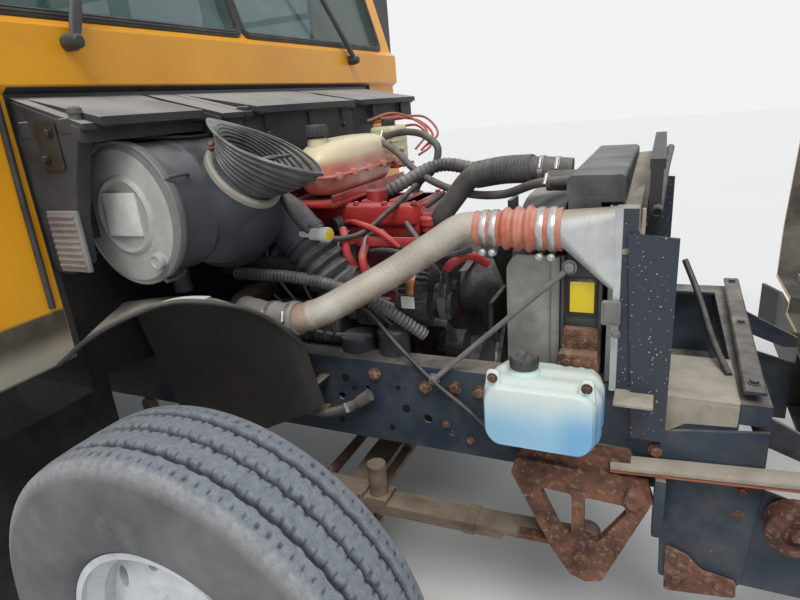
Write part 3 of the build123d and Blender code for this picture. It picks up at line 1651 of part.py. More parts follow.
with BuildPart() as fan_shroud:
    shroud_front = radiator_reach
    shroud_rear = radiator_reach - 145
    with BuildSketch(Plane.YZ.offset(along(shroud_front))) as wide:
        with Locations((0, (radiator_foot_z + radiator_top_z) / 2)):
            RectangleRounded(2 * flange_clear, radiator_top_z - radiator_foot_z, 40)
    with BuildSketch(Plane.YZ.offset(along(shroud_rear))) as narrow:
        with Locations((0, fan_z)):
            RectangleRounded(2 * fan_radius + 80, 2 * fan_radius + 20, 290)
    loft(sections=[wide.sketch, narrow.sketch])
    with BuildSketch(Plane.YZ.offset(along(shroud_front))) as wide_inner:
        with Locations((0, (radiator_foot_z + radiator_top_z) / 2)):
            RectangleRounded(2 * flange_clear - 12, radiator_top_z - radiator_foot_z - 12, 36)
    with BuildSketch(Plane.YZ.offset(along(shroud_rear))) as narrow_inner:
        with Locations((0, fan_z)):
            RectangleRounded(2 * fan_radius + 68, 2 * fan_radius + 8, 284)
    loft(sections=[wide_inner.sketch, narrow_inner.sketch], mode=Mode.SUBTRACT)
save(fan_shroud.part, "fan_shroud")

# Charge-air cooler in front of the radiator: core, and a cast tank with its inlet horn on each side
horn_radius = 45
horn_z = 1297
horn_y = 412
horn_front = 632
with BuildPart() as charge_cooler:
    block(
        (along(cooler_reach), along(cooler_reach + cooler_depth)),
        (-flange_clear, flange_clear),
        (radiator_foot_z + 60, radiator_top_z - 10),
    )
    for side in (-1, 1):
        side_plate(
            (
                (cooler_reach + 14, 1352),
                (cooler_reach + cooler_depth, 1352),
                (cooler_reach + cooler_depth, cooler_foot_z),
                (cooler_reach + 14, cooler_foot_z),
            ),
            (side * (radiator_half_width + 3), side * (radiator_half_width + 50)),
        )
        # Cone that widens from the inlet horn to the tank
        with BuildSketch(Plane.YZ.offset(along(horn_front + 42))) as narrow:
            with Locations((side * horn_y, horn_z)):
                RectangleRounded(2 * horn_radius, 2 * horn_radius, horn_radius - 1)
        with BuildSketch(Plane.YZ.offset(along(cooler_reach + 20))) as wide:
            with Locations((side * (radiator_half_width + 20), 1250)):
                RectangleRounded(56, 200, 20)
        loft(sections=[narrow.sketch, wide.sketch])
        block(
            (along(cooler_reach), along(cooler_reach + cooler_depth)),
            (side * flange_clear, side * (radiator_half_width + 4)),
            (cooler_foot_z, radiator_top_z - 10),
        )
        rod(
            (along(horn_front + 44), side * horn_y, horn_z),
            (along(horn_front), side * horn_y, horn_z),
            horn_radius,
        )

with BuildPart() as coolers:
    add(charge_cooler.part)
    block(
        (along(condenser_reach), along(condenser_reach + condenser_depth)),
        (-radiator_half_width + 20, radiator_half_width - 20),
        (cooler_foot_z, 1440),
    )
    block(
        (along(condenser_reach - 2), along(condenser_reach + condenser_depth + 4)),
        (-radiator_half_width + 20, radiator_half_width - 20),
        (1424, 1446),
    )
    for side in (-1, 1):
        # Side baffle down to the rail
        side_plate(
            ((812, 1300), (914, 1290), (914, 800), (842, 800)),
            (side * (radiator_half_width + 52), side * (radiator_half_width + 60)),
        )
        block(
            (along(cooler_reach + cooler_depth), along(condenser_reach + condenser_depth)),
            (side * (radiator_half_width - 20), side * (radiator_half_width + 52)),
            (1100, 1130),
        )
save(coolers.part, "coolers")

# Engine: block, head, cover and oil pan
with BuildPart() as engine:
    block((along(engine_rear_reach), along(engine_front_reach)), (-engine_half_width, engine_half_width), (crank_z - 90, head_top_z))
    block((along(engine_rear_reach + 40), along(engine_front_reach - 40)), (-engine_half_width + 35, engine_half_width - 35), (495, crank_z - 90))
    block((along(engine_rear_reach + 30), along(200)), (-150, 60), (head_top_z, cover_top_z))
    fillet(engine.edges().filter_by(Axis.X).group_by(Axis.Z)[-1], 22)
    rod((along(240), -90, head_top_z - 1), (along(240), -90, 1262), 34)
    for side in (-1, 1):
        block((along(120), along(200)), (side * (engine_half_width - 2), side * rail_inner_y), (rail_bottom_z + 14, rail_bottom_z + 90))
    rod((along(40), -95, cover_top_z - 4), (along(40), -95, cover_top_z + 34), 34)
    rod((along(120), -engine_half_width - 62, 760), (along(120), -engine_half_width - 62, 1000), 54)
    block((along(80), along(160)), (-engine_half_width - 80, -engine_half_width + 2), (1000, 1060))
save(engine.part, "engine")

with BuildPart() as engine_drive:
    # Alternator on the right front, crank damper, pump pulley, idler and the belt round them
    rod((along(205), -300, 1060), (along(300), -300, 1060), 74)
    block((along(210), along(290)), (-300, -engine_half_width), (1020, 1050))
    pulley_table = (
        # y, z, radius
        (0, crank_z, 118),
        (0, fan_z, 84),
        (-300, 1060, 36),
        (-205, 890, 42),
        (190, 980, 62),
    )
    for y, z, radius in pulley_table:
        rod((along(engine_front_reach), y, z), (along(belt_reach + 34), y, z), radius)
    for y, z, radius in pulley_table[3:]:
        block((along(engine_front_reach - 30), along(engine_front_reach + 4)), (y - 24, y + 24), (z - 24, z + 24))
    rod((along(belt_reach + 34), 0, fan_z), (along(fan_reach + 60), 0, fan_z), 90)
    with BuildSketch(Plane(origin=(along(fan_reach), 0, fan_z), x_dir=(0, 1, 0), z_dir=(1, 0, 0))) as blades:
        with PolarLocations(fan_radius / 2 + 30, 8):
            Rectangle(fan_radius - 80, 95)
    extrude(to_extrude=blades.sketch, amount=12)
save(engine_drive.part, "engine_drive")

# Air cleaner: canister lying across the bay, lid with a raised ring, ribbed inlet and the elbow to the engine
cleaner_reach, cleaner_y, cleaner_z = cleaner_place
cleaner_inner_y = cleaner_y + cleaner_length
with BuildPart() as air_cleaner:
    rod((along(cleaner_reach), cleaner_y + 30, cleaner_z), (along(cleaner_reach), cleaner_inner_y, cleaner_z), cleaner_radius - 10)
    rod((along(cleaner_reach), cleaner_y, cleaner_z), (along(cleaner_reach), cleaner_y + 48, cleaner_z), cleaner_radius)
    rod((along(cleaner_reach), cleaner_y - 12, cleaner_z), (along(cleaner_reach), cleaner_y + 2, cleaner_z), 92)
    rod((along(cleaner_reach), cleaner_y - 14, cleaner_z), (along(cleaner_reach), cleaner_y, cleaner_z), 70, mode=Mode.SUBTRACT)
    # Inlet stub and trumpet towards the hood
    axis = Vector(140, 0, 78).normalized()
    base = Vector(along(-215), -560, 1400)
    stations = []
    for distance, half_width, half_height in ((150, 92, 92), (236, 150, 84)):
        place = base + axis * distance
        with BuildSketch(Plane(origin=place, x_dir=(0, 1, 0), z_dir=axis)) as station:
            RectangleRounded(2 * half_width, 2 * half_height, half_height - 4)
        stations.append(station.sketch)
    rod(tuple(base), tuple(base + axis * 150), 92)
    loft(sections=stations, ruled=True)
    rod(tuple(base + axis * 120), tuple(base + axis * 240), 70, mode=Mode.SUBTRACT)
    # Elbow out of the inner end, down to the engine's left
    tube(
        ((along(cleaner_reach), cleaner_inner_y - 4, cleaner_z - 30), (along(cleaner_reach), -250, cleaner_z - 30), (along(cleaner_reach + 190), -250, 1180)),
        60,
        62,
    )
    # Bracket back to the bulkhead
    block((along(-cowl_setback - wall), along(cleaner_reach)), (-640, -560), (cleaner_z - 20, cleaner_z + 20))
save(air_cleaner.part, "air_cleaner")

# Pipes: charge air from the turbocharger to the cooler, with bellows hose at the cooler's horn
pipe_radius = 38
with BuildPart() as charge_pipes:
    tube(
        (
            (along(500), -horn_y, horn_z),
            (along(420), -horn_y, horn_z),
            (along(264), -450, 1198),
            (along(62), -550, 1095),
            (along(-133), -500, 1071),
            (along(-260), -390, 1060),
            (along(-260), -engine_half_width - hose_fit, 1060),
        ),
        48,
        pipe_radius,
    )
save(charge_pipes.part, "charge_pipes")

with BuildPart() as charge_hose:
    rod((along(462), -horn_y, horn_z), (along(horn_front + 38), -horn_y, horn_z), 54)
    rod((along(461), -horn_y, horn_z), (along(500 + hose_fit), -horn_y, horn_z), pipe_radius + hose_fit, mode=Mode.SUBTRACT)
    rod(
        (along(horn_front - hose_fit), -horn_y, horn_z),
        (along(horn_front + 39), -horn_y, horn_z),
        horn_radius + hose_fit,
        mode=Mode.SUBTRACT,
    )
save(charge_hose.part, "charge_hose")

# Coolant: surge tank and washer reservoir on the bulkhead, hoses to the radiator
with BuildPart() as surge_tank:
    block((along(-192), along(-46)), (-240, 300), (1326, 1515))
    fillet(surge_tank.edges(), 34)
    rod((along(-120), -150, 1500), (along(-120), -150, 1555), 36)
    block((along(-cowl_setback - wall), along(-150)), (-100, 160), (1313, 1327))

with BuildPart() as coolant_tanks:
    block((along(-190), along(-50)), (335, 545), (1370, 1500))
    fillet(coolant_tanks.edges(), 28)
    rod((along(-110), 440, 1490), (along(-110), 440, 1555), 32)
    block((along(-cowl_setback - wall), along(-150)), (400, 480), (1355, 1376))
    add(surge_tank.part)
save(coolant_tanks.part, "coolant_tanks")

with BuildPart() as coolant_hoses:
    tube(
        (
            (along(240), -90, 1262 + hose_fit),
            (along(240), -90, stub_z),
            (along(340), -160, stub_z),
            (along(520), -stub_y, stub_z),
            (along(radiator_reach - 60 - hose_fit), -stub_y, stub_z),
        ),
        50,
        30,
    )
save(coolant_hoses.part, "coolant_hoses")

with BuildPart() as washer_bottle:
    side_plate(
        ((540, 820), (757, 820), (782, 850), (782, 955), (757, 982), (540, 982), (514, 955), (514, 850)),
        (-620, -455),
        round_corners=12,
    )
    fillet(washer_bottle.faces().sort_by(Axis.Y)[0].edges(), 10)
    for reach in (530, 738):
        block((along(reach), along(reach + 28)), (-606, -590), (975, 1010))
    rod((along(602), -530, 980), (along(602), -530, 1024), 32)
    block((along(600), along(700)), (-460, -rail_half_width), (830, 860))
save(washer_bottle.part, "washer_bottle")

# Boxes on the bulkhead in front of the body, and the splash liners beside the engine
with BuildPart() as firewall_boxes:
    for y_span, front, foot_z in (
        ((-870, -490), -250, 1572),
        ((-486, -388), -200, 1562),
        ((-388, 256), -200, 1494),
        ((265, 870), -215, 1530),
    ):
        side_plate(
            (
                (-cowl_setback, foot_z),
                (-cowl_setback, 1682),
                (front, 1612),
                (front, foot_z),
            ),
            y_span,
        )
    # End panel that comes down outboard of the air cleaner
    side_plate(
        (
            (-cowl_setback, 1280),
            (-cowl_setback, 1580),
            (-250, 1580),
            (-302, 1500),
            (-338, 1400),
            (-350, 1300),
            (-410, 1272),
        ),
        (-872, -830),
    )
save(firewall_boxes.part, "firewall_boxes")

liner_sheet = 4
liner_table = (
    # reach, y and z of the foot, y and z of the inner top edge, y and z of the outer rim
    (-cowl_setback + hose_fit, 585, 700, 690, 1150, 930, 1062),
    (-242, 585, 700, 648, 1150, 850, 1177),
    (-155, 580, 720, 645, 1150, 800, 1200),
    (-59, 560, 760, 640, 1130, 700, 1164),
    (12, 505, 800, 570, 1040, 600, 1062),
)
with BuildPart() as splash_liners:
    for side in (-1, 1):
        stations = []
        for reach, foot_y, foot_z, top_y, top_z, rim_y, rim_z in liner_table:
            with BuildSketch(Plane.YZ.offset(along(reach))) as station:
                with BuildLine():
                    Polyline(
                        (side * foot_y, foot_z),
                        (side * top_y, top_z),
                        (side * rim_y, rim_z),
                        (side * rim_y, rim_z - liner_sheet),
                        (side * (top_y + liner_sheet), top_z - liner_sheet),
                        (side * (foot_y + liner_sheet), foot_z),
                        close=True,
                    )
                make_face()
            stations.append(station.sketch)
        for rear_station, front_station in zip(stations, stations[1:]):
            loft(sections=[rear_station, front_station], ruled=True)
        # Bracket back to the rail
        block((along(-34), along(-4)), (side * rail_half_width, side * 545), (842, 850))
save(splash_liners.part, "splash_liners")

# Mirrors, lamps, stop arm and crossing arm
mirror_y = body_half_width + 190
with BuildPart() as mirrors:
    for side in (-1, 1):
        block((along(-640), along(-590)), (side * (mirror_y - 110), side * (mirror_y + 110)), (1850, 2230))
        for z in (1820, 2260):
            tube(
                (
                    (along(-690), side * body_half_width, z),
                    (along(-690), side * (mirror_y - 60), z),
                    (along(-620), side * mirror_y, z),
                    (along(-620), side * mirror_y, 2040),
                ),
                20,
                12,
            )
save(mirrors.part, "mirrors")

lamp_radius = 84
with BuildPart() as body_lamps:
    for y in (-760, -530, 530, 760):
        rod((along(-745), y, 2806), (along(-672), y, 2806), lamp_radius)
    add(front_cap.part, mode=Mode.SUBTRACT)
    for y in (-760, -530, 530, 760):
        rod((body_rear_x, y, 2760), (body_rear_x - 34, y, 2760), lamp_radius)
    for side in (-1, 1):
        for z, radius in ((1180, 88), (1420, 88), (960, 48)):
            rod((body_rear_x, side * 960, z), (body_rear_x - 26, side * 960, z), radius)
save(body_lamps.part, "body_lamps")

stop_reach = -1000
stop_z = 1515
stop_arm_hinge_y = body_half_width + 34
with BuildPart() as stop_bracket:
    for z in (stop_z - 100, stop_z + 100):
        block(
            (along(stop_reach - 20), along(stop_reach + 40)),
            (body_half_width, stop_arm_hinge_y + 12),
            (z - 18, z + 18),
        )
        rod((along(stop_reach), stop_arm_hinge_y, stop_z - 100), (along(stop_reach), stop_arm_hinge_y, stop_z + 100), 7)

with BuildPart() as stop_arm:
    with BuildSketch(Plane.XZ.offset(-stop_arm_hinge_y + 6)) as sign:
        with Locations((along(stop_reach - 290), stop_z)):
            RegularPolygon(228, 8, rotation=22.5)
    extrude(to_extrude=sign.sketch, amount=-4)
    rod((along(stop_reach), stop_arm_hinge_y, stop_z - 78), (along(stop_reach), stop_arm_hinge_y, stop_z + 78), 13)
    block((along(stop_reach - 90), along(stop_reach)), (stop_arm_hinge_y - 6, stop_arm_hinge_y + 2), (stop_z - 60, stop_z + 60))
    rod(
        (along(stop_reach), stop_arm_hinge_y, stop_z - 79),
        (along(stop_reach), stop_arm_hinge_y, stop_z + 79),
        7 + running_fit,
        mode=Mode.SUBTRACT,
    )
save(stop_arm.part, "stop_arm")

crossing_reach = bumper_x + 50 + 14
crossing_pin_y = -1030
with BuildPart() as arm_brackets:
    block((along(bumper_x - 20), along(crossing_reach + 22)), (crossing_pin_y - 24, crossing_pin_y + 24), (560, 580))
    block((along(bumper_x - 20), along(crossing_reach + 22)), (crossing_pin_y - 24, crossing_pin_y + 24), (666, 686))
    rod((along(crossing_reach + 7), crossing_pin_y, 570), (along(crossing_reach + 7), crossing_pin_y, 676), 6)
    # Cleared where the bumper stands
    add(front_bumper.part, mode=Mode.SUBTRACT)
    add(stop_bracket.part)
save(arm_brackets.part, "arm_brackets")

with BuildPart() as crossing_arm:
    rod((along(crossing_reach + 7), crossing_pin_y, 586), (along(crossing_reach + 7), crossing_pin_y, 660), 15)
    block((along(crossing_reach), along(crossing_reach + 14)), (crossing_pin_y, 460), (590, 606))
    block((along(crossing_reach), along(crossing_reach + 14)), (crossing_pin_y, 460), (640, 656))
    for y in (-300, 446):
        block((along(crossing_reach), along(crossing_reach + 14)), (y, y + 14), (590, 656))
    rod(
        (along(crossing_reach + 7), crossing_pin_y, 585),
        (along(crossing_reach + 7), crossing_pin_y, 661),
        6 + running_fit,
        mode=Mode.SUBTRACT,
    )
save(crossing_arm.part, "crossing_arm")

with BuildPart() as wipers:
    for side in (-1, 1):
        foot = Vector(along(-cowl_setback + cowl_band_swell), side * 706, 1798)
        out = Vector(1, 0, 0)
        tip = rake_plane.from_local_coords((side * 420, 560, 22))
        rod(tuple(foot + out * 0.3), tuple(foot + out * 40), 16)
        rod(tuple(foot + out * 32), tuple(tip), 8)
save(wipers.part, "wipers")
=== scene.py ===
"""Finish and fittings of a school bus that stands with its tilt hood open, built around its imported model.

Metres. +X is forward, +Y is the driver's left, +Z is up. Places along the bus are reaches from the front
axle. Every piece is a surface worked out as whole arrays: a function of two parameters on a grid, or a
profile carried along a path. Every finish is procedural and reads the piece's own coordinates, so it stays
put as parts move."""

import math

import bmesh
import bpy
import numpy as np
from mathutils import Matrix, Vector


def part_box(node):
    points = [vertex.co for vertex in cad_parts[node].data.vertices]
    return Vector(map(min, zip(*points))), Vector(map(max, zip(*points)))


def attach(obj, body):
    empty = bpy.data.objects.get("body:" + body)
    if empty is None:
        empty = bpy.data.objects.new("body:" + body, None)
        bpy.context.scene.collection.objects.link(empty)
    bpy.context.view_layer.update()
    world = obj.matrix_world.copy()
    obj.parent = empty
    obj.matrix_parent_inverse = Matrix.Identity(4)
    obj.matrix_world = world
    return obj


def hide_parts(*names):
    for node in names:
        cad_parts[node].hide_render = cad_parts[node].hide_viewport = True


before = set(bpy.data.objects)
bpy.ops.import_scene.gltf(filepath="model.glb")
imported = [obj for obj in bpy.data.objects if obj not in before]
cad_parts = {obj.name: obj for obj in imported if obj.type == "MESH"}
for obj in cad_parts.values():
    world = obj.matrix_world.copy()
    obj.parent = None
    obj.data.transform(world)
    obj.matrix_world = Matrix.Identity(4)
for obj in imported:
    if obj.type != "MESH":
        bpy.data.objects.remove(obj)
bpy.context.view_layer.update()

# Driving places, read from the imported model
wheel_low, wheel_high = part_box("front_tyre_right")
AXLE_X = (wheel_low.x + wheel_high.x) / 2
TYRE_WIDTH = wheel_high.y - wheel_low.y
AXLE_Z = (wheel_low.z + wheel_high.z) / 2
FRONT_TYRE_Y = -(wheel_low.y + wheel_high.y) / 2
REAR_AXLE_X = (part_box("rear_axle")[0].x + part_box("rear_axle")[1].x) / 2


def at(reach, y, z):
    """A point of the scene, from its reach ahead of the front axle."""
    return np.array((AXLE_X + reach, y, z))


# Finishes


class Field:
    """A number that varies over a surface: one output socket, used in plain expressions."""

    def __init__(self, paint, socket):
        self.paint = paint
        self.socket = socket

    def math(self, operation, *terms):
        return self.paint.node("ShaderNodeMath", {"operation": operation}, dict(enumerate(terms)))

    def __add__(self, other):
        return self.math("ADD", self, other)

    def __sub__(self, other):
        return self.math("SUBTRACT", self, other)

    def __rsub__(self, other):
        return self.math("SUBTRACT", other, self)

    def __mul__(self, other):
        return self.math("MULTIPLY", self, other)

    def __truediv__(self, other):
        return self.math("DIVIDE", self, other)

    def __abs__(self):
        return self.math("ABSOLUTE", self)

    __radd__ = __add__
    __rmul__ = __mul__

    def root(self):
        """Square root."""
        return self.math("SQRT", self)

    def repeat(self, period):
        """Saw-tooth from 0 to 1 that starts again each period."""
        return self.math("FRACT", self / period)

    def rise(self, low, high):
        """0 below low, 1 above high, smooth between them."""
        return self.paint.node(
            "ShaderNodeMapRange",
            {"interpolation_type": "SMOOTHSTEP", "clamp": True},
            {"Value": self, "From Min": low, "From Max": high, "To Min": 0.0, "To Max": 1.0},
        )

    def band(self, low, high, soft):
        """1 between low and high, 0 outside, with soft edges."""
        return self.rise(low - soft, low + soft) * (1 - self.rise(high - soft, high + soft))


class Nodes:
    """A node tree whose nodes are made by type, settings and sockets."""

    def __init__(self, owner):
        owner.use_nodes = True
        self.tree = owner.node_tree
        self.tree.nodes.clear()

    def node(self, kind, settings=None, sockets=None, out=0):
        made = self.tree.nodes.new(kind)
        for name, value in (settings or {}).items():
            setattr(made, name, value)
        for key, value in (sockets or {}).items():
            socket = made.inputs[key]
            if isinstance(value, Field):
                self.tree.links.new(value.socket, socket)
            else:
                socket.default_value = (*value, 1) if socket.type == "RGBA" and len(value) == 3 else value
        return Field(self, made.outputs[out]) if made.outputs else None


class Paint(Nodes):
    """One finish, whose patterns read the piece's own coordinates."""

    def __init__(self, name):
        self.material = bpy.data.materials.new(name)
        super().__init__(self.material)
        self.place = self.node("ShaderNodeTexCoord", out="Object")
        self.normal = self.node("ShaderNodeTexCoord", out="Normal")

    def part(self, vector, axis):
        """One of a vector's three numbers."""
        return self.node("ShaderNodeSeparateXYZ", None, {0: vector}, out=axis)

    @property
    def x(self):
        """Metres ahead of the frame's origin."""
        return self.part(self.place, "X")

    @property
    def y(self):
        """Metres to the left of the middle."""
        return self.part(self.place, "Y")

    @property
    def z(self):
        """Metres above the ground."""
        return self.part(self.place, "Z")

    def facing_up(self):
        """1 where the surface looks straight up, 0 from level downward."""
        return self.part(self.normal, "Z").rise(0.25, 0.9)

    def noise(self, scale, detail=4.0, rough=0.55, stretch=None):
        """Soft cloud pattern from 0 to 1: scale is how many clouds there are to a metre, stretch its share by
        axis."""
        where = self.place
        if stretch:
            where = self.node("ShaderNodeMapping", None, {"Vector": where, "Scale": stretch})
        sockets = {"Vector": where, "Scale": scale, "Detail": detail, "Roughness": rough}
        return self.node("ShaderNodeTexNoise", None, sockets)

    def cells(self, scale, feature="F1"):
        """Distance to the nearest of many scattered points."""
        sockets = {"Vector": self.place, "Scale": scale}
        return self.node("ShaderNodeTexVoronoi", {"feature": feature}, sockets, out="Distance")

    def mix(self, first, second, share):
        """Colour between two colours."""
        return self.node("ShaderNodeMix", {"data_type": "RGBA"}, {0: share, 6: first, 7: second}, out=2)

    def surface(self, colour, rough=0.5, metal=0.0, bump=None, depth=0.001, **fixed):
        """The shader: colour, roughness and metal may vary, what else is given is the same all over."""
        sockets = {"Base Color": colour, "Roughness": rough, "Metallic": metal, **fixed}
        if bump is not None:
            sockets["Normal"] = self.node("ShaderNodeBump", None,
                {"Height": bump, "Distance": depth, "Strength": 1})
        self.node("ShaderNodeOutputMaterial", None, {0: self.node("ShaderNodeBsdfPrincipled", None, sockets)})
        return self.material

    def dusted(self, colour, dust, amount, scale=9.0):
        """Colour with road dust on what faces up and thin drifts elsewhere."""
        drift = self.noise(scale, 6.0, 0.65).rise(0.35, 0.75)
        share = self.facing_up() * (0.35 + 0.65 * drift) * amount + drift * (amount * 0.18)
        return self.mix(colour, dust, share)


PALE_DUST = (0.5, 0.48, 0.45)
FINISH, RECORD_SLOT = {}, {}


def finish(slot, nodes=""):
    """Makes the finish that a function paints, for one slot of the record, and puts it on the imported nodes
    named."""

    def keep(paint_it):
        name = paint_it.__name__
        FINISH[name], RECORD_SLOT[name] = paint_it(Paint(name)), slot
        for node in nodes.split():
            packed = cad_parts[node]
            if not packed.material_slots:
                packed.data.materials.append(FINISH[name])
            for one in packed.material_slots:
                one.material = FINISH[name]
        return paint_it

    return keep


@finish("bus_yellow", "side_wall_left side_wall_right roof rear_wall emergency_door")
def bus_yellow(p):
    """Warm yellow enamel, a little chalked in broad patches, with a thin film of dust."""
    broad = p.noise(1.3, 3)
    grime = p.noise(7, 8, 0.7)
    colour = p.mix((0.8, 0.36, 0.01), (0.9, 0.45, 0.018), broad.rise(0.35, 0.65))
    colour = p.mix(colour, (0.5, 0.3, 0.07), grime.rise(0.6, 0.85) * 0.3)
    low = 1 - p.z.rise(0.45, 1.05)
    colour = p.mix(colour, (0.35, 0.27, 0.16), low * grime.rise(0.3, 0.65) * 0.45)
    return p.surface(colour, 0.26 + 0.25 * grime, 0, p.noise(260, 2), 0.00012, **{"Coat Weight": 0.35})


@finish("bus_yellow", "hood")
def hood_yellow(p):
    """The hood's enamel outside; inside it, where the skin looks toward the hood's hollow, rough grey
    moulding."""
    grime = p.noise(6, 8, 0.7)
    colour = p.mix((0.8, 0.36, 0.01), (0.88, 0.44, 0.018), p.noise(1.1, 3).rise(0.35, 0.65))
    colour = p.mix(colour, (0.46, 0.3, 0.08), grime.rise(0.58, 0.85) * 0.35)
    outward = (
        p.part(p.normal, "X") * (p.x - (AXLE_X + 1.52))
        + p.part(p.normal, "Y") * p.y
        + p.part(p.normal, "Z") * (p.z - 1.55)
    )
    inside = 1 - outward.rise(-0.03, -0.01)
    moulding = p.mix((0.045, 0.042, 0.038), (0.16, 0.145, 0.12), grime.rise(0.35, 0.7))
    colour = p.mix(colour, moulding, inside)
    weave = inside * p.noise(190, 3) + (1 - inside) * 0.2 * p.noise(240, 2)
    return p.surface(colour, 0.28 + 0.25 * grime + 0.3 * inside, 0, weave, 0.0006, **{"Coat Weight": 0.2})


@finish("navy_black_paint", "frame fuel_tank battery_box")
def navy_paint(p):
    """Blue-black chassis paint with dust on its flanges and pale chips where stones have hit."""
    broad = p.noise(5, 6, 0.6)
    colour = p.mix((0.009, 0.018, 0.036), (0.03, 0.048, 0.075), broad.rise(0.3, 0.7))
    high = p.z.rise(0.93, 0.98)
    whole = (p.cells(70) + 0.2 * p.noise(45) - 0.12 * high).rise(0.1, 0.2)
    chips = (1 - whole) * (p.noise(9) + 0.12 * high).rise(0.52, 0.62)
    colour = p.mix(colour, (0.42, 0.4, 0.38), chips)
    rust = p.noise(16, 8, 0.7).rise(0.66, 0.74)
    colour = p.mix(colour, (0.16, 0.07, 0.04), rust * 0.7)
    colour = p.dusted(colour, (0.42, 0.36, 0.28), 0.62)
    return p.surface(colour, 0.38 + 0.35 * broad, 0, p.noise(90, 6) + chips * 0.3, 0.0006)


@finish("black_paint", "front_bumper rear_bumper arm_brackets window_frames rub_rails grille mirrors")
def black_paint(p):
    """Satin black with a grey bloom and a few scuffs."""
    bloom = p.noise(8, 6, 0.65)
    colour = p.mix((0.016, 0.016, 0.017), (0.06, 0.058, 0.055), bloom.rise(0.4, 0.8))
    colour = p.dusted(colour, PALE_DUST, 0.22)
    return p.surface(colour, 0.36 + 0.3 * bloom, 0, p.noise(160, 3), 0.0002)


@finish("black_paint", "door_leaf_front door_leaf_rear")
def door_black(p):
    """Entrance door: satin black frames with tinted panes set in them."""
    bloom = p.noise(8, 6, 0.65)
    colour = p.mix((0.016, 0.016, 0.017), (0.055, 0.054, 0.052), bloom.rise(0.4, 0.8))
    height = p.z
    reach = p.x - AXLE_X
    tall = height.band(0.47, 1.15, 0.001) + height.band(1.23, 2.36, 0.001)
    wide = reach.band(-1.028, -0.776, 0.001) + reach.band(-1.404, -1.152, 0.001)
    pane = tall * wide * p.y.band(-1.1945, -1.1875, 0.0002)
    colour = p.mix(colour, (0.07, 0.15, 0.15), pane)
    clear = 1 - 0.55 * pane
    return p.surface(colour, 0.36 + 0.3 * bloom - 0.32 * pane, 0, None, **{"Alpha": clear})


@finish("rusty_steel", "knuckle_right knuckle_left track_rod")
def rusty_casting(p):
    """Cast iron gone red-brown: pitted, darker in the pits, tan dust on top."""
    broad = p.noise(11, 7, 0.7)
    pits = p.cells(150)
    colour = p.mix((0.055, 0.026, 0.018), (0.2, 0.085, 0.05), broad.rise(0.35, 0.62))
    colour = p.mix(colour, (0.3, 0.2, 0.145), p.noise(60, 6).rise(0.5, 0.68) * 0.8)
    colour = p.mix(colour, (0.032, 0.016, 0.012), (1 - pits.rise(0.1, 0.28)) * 0.55)
    colour = p.dusted(colour, (0.36, 0.27, 0.19), 0.55)
    return p.surface(colour, 0.82, 0, pits + 1.4 * p.noise(45, 8), 0.0022)


@finish("rusty_steel", "suspension front_axle rear_axle")
def dusty_steel(p):
    """Brown leaf springs and axles: steel under baked-on road dust, rust where it has rubbed."""
    broad = p.noise(6, 7, 0.65, (1, 3, 3))
    colour = p.mix((0.085, 0.058, 0.042), (0.2, 0.155, 0.115), broad.rise(0.3, 0.65))
    colour = p.mix(colour, (0.15, 0.065, 0.035), p.noise(23, 8, 0.7).rise(0.6, 0.72) * 0.7)
    colour = p.dusted(colour, (0.33, 0.27, 0.2), 0.7)
    hanger = p.x.rise(AXLE_X + 0.56, AXLE_X + 0.575) * abs(p.y).rise(0.438, 0.442)
    cast = p.mix((0.06, 0.028, 0.019), (0.215, 0.095, 0.058), p.noise(11, 7, 0.7).rise(0.32, 0.62))
    cast = p.mix(cast, (0.33, 0.23, 0.165), p.noise(60, 6).rise(0.52, 0.7) * 0.7)
    colour = p.mix(colour, cast, hanger)
    return p.surface(colour, 0.85, 0, p.noise(70, 8, 0.7) + p.cells(140) * hanger, 0.0016)


@finish("grey_casting", "driveline")
def grey_casting(p):
    """Sand-cast light alloy, oil-stained low down."""
    broad = p.noise(8, 6)
    colour = p.mix((0.2, 0.2, 0.2), (0.34, 0.34, 0.33), broad)
    colour = p.mix(colour, (0.05, 0.04, 0.035), p.noise(5, 8, 0.7).rise(0.52, 0.72) * 0.8)
    return p.surface(colour, 0.55, 0.35, p.noise(220, 3), 0.0006)


@finish("scaled_steel", "exhaust")
def scaled_steel(p):
    """Exhaust steel, heat-scaled brown and grey."""
    broad = p.noise(7, 8, 0.7)
    colour = p.mix((0.13, 0.095, 0.075), (0.3, 0.22, 0.17), broad.rise(0.3, 0.7))
    colour = p.mix(colour, (0.34, 0.3, 0.27), p.noise(31, 5).rise(0.6, 0.75) * 0.6)
    return p.surface(colour, 0.7, 0.25, p.noise(90, 8), 0.001)


@finish("red_engine_paint", "engine")
def engine_red(p):
    """Engine enamel: bright red, with painted shade near black below the cover's foot; soot and oil in broad
    stains, grey dust on top.
    """
    soot = p.noise(9, 8, 0.72)
    colour = p.mix((0.56, 0.018, 0.016), (0.4, 0.022, 0.02), p.noise(4))
    # Painted shade: below the cover's foot the enamel goes near black, deeper where the soot is.
    low = 1 - p.z.rise(1.205, 1.235)
    colour = p.mix(colour, (0.03, 0.014, 0.013), soot.rise(0.42, 0.66) * 0.85)
    colour = p.mix(colour, (0.014, 0.011, 0.011), low * (0.72 + 0.28 * soot.rise(0.35, 0.5)))
    colour = p.dusted(colour, (0.4, 0.33, 0.31), 0.42, 14)
    return p.surface(colour, 0.3 + 0.4 * soot, 0, p.noise(120, 4) + soot, 0.0012, **{"Coat Weight": 0.2})


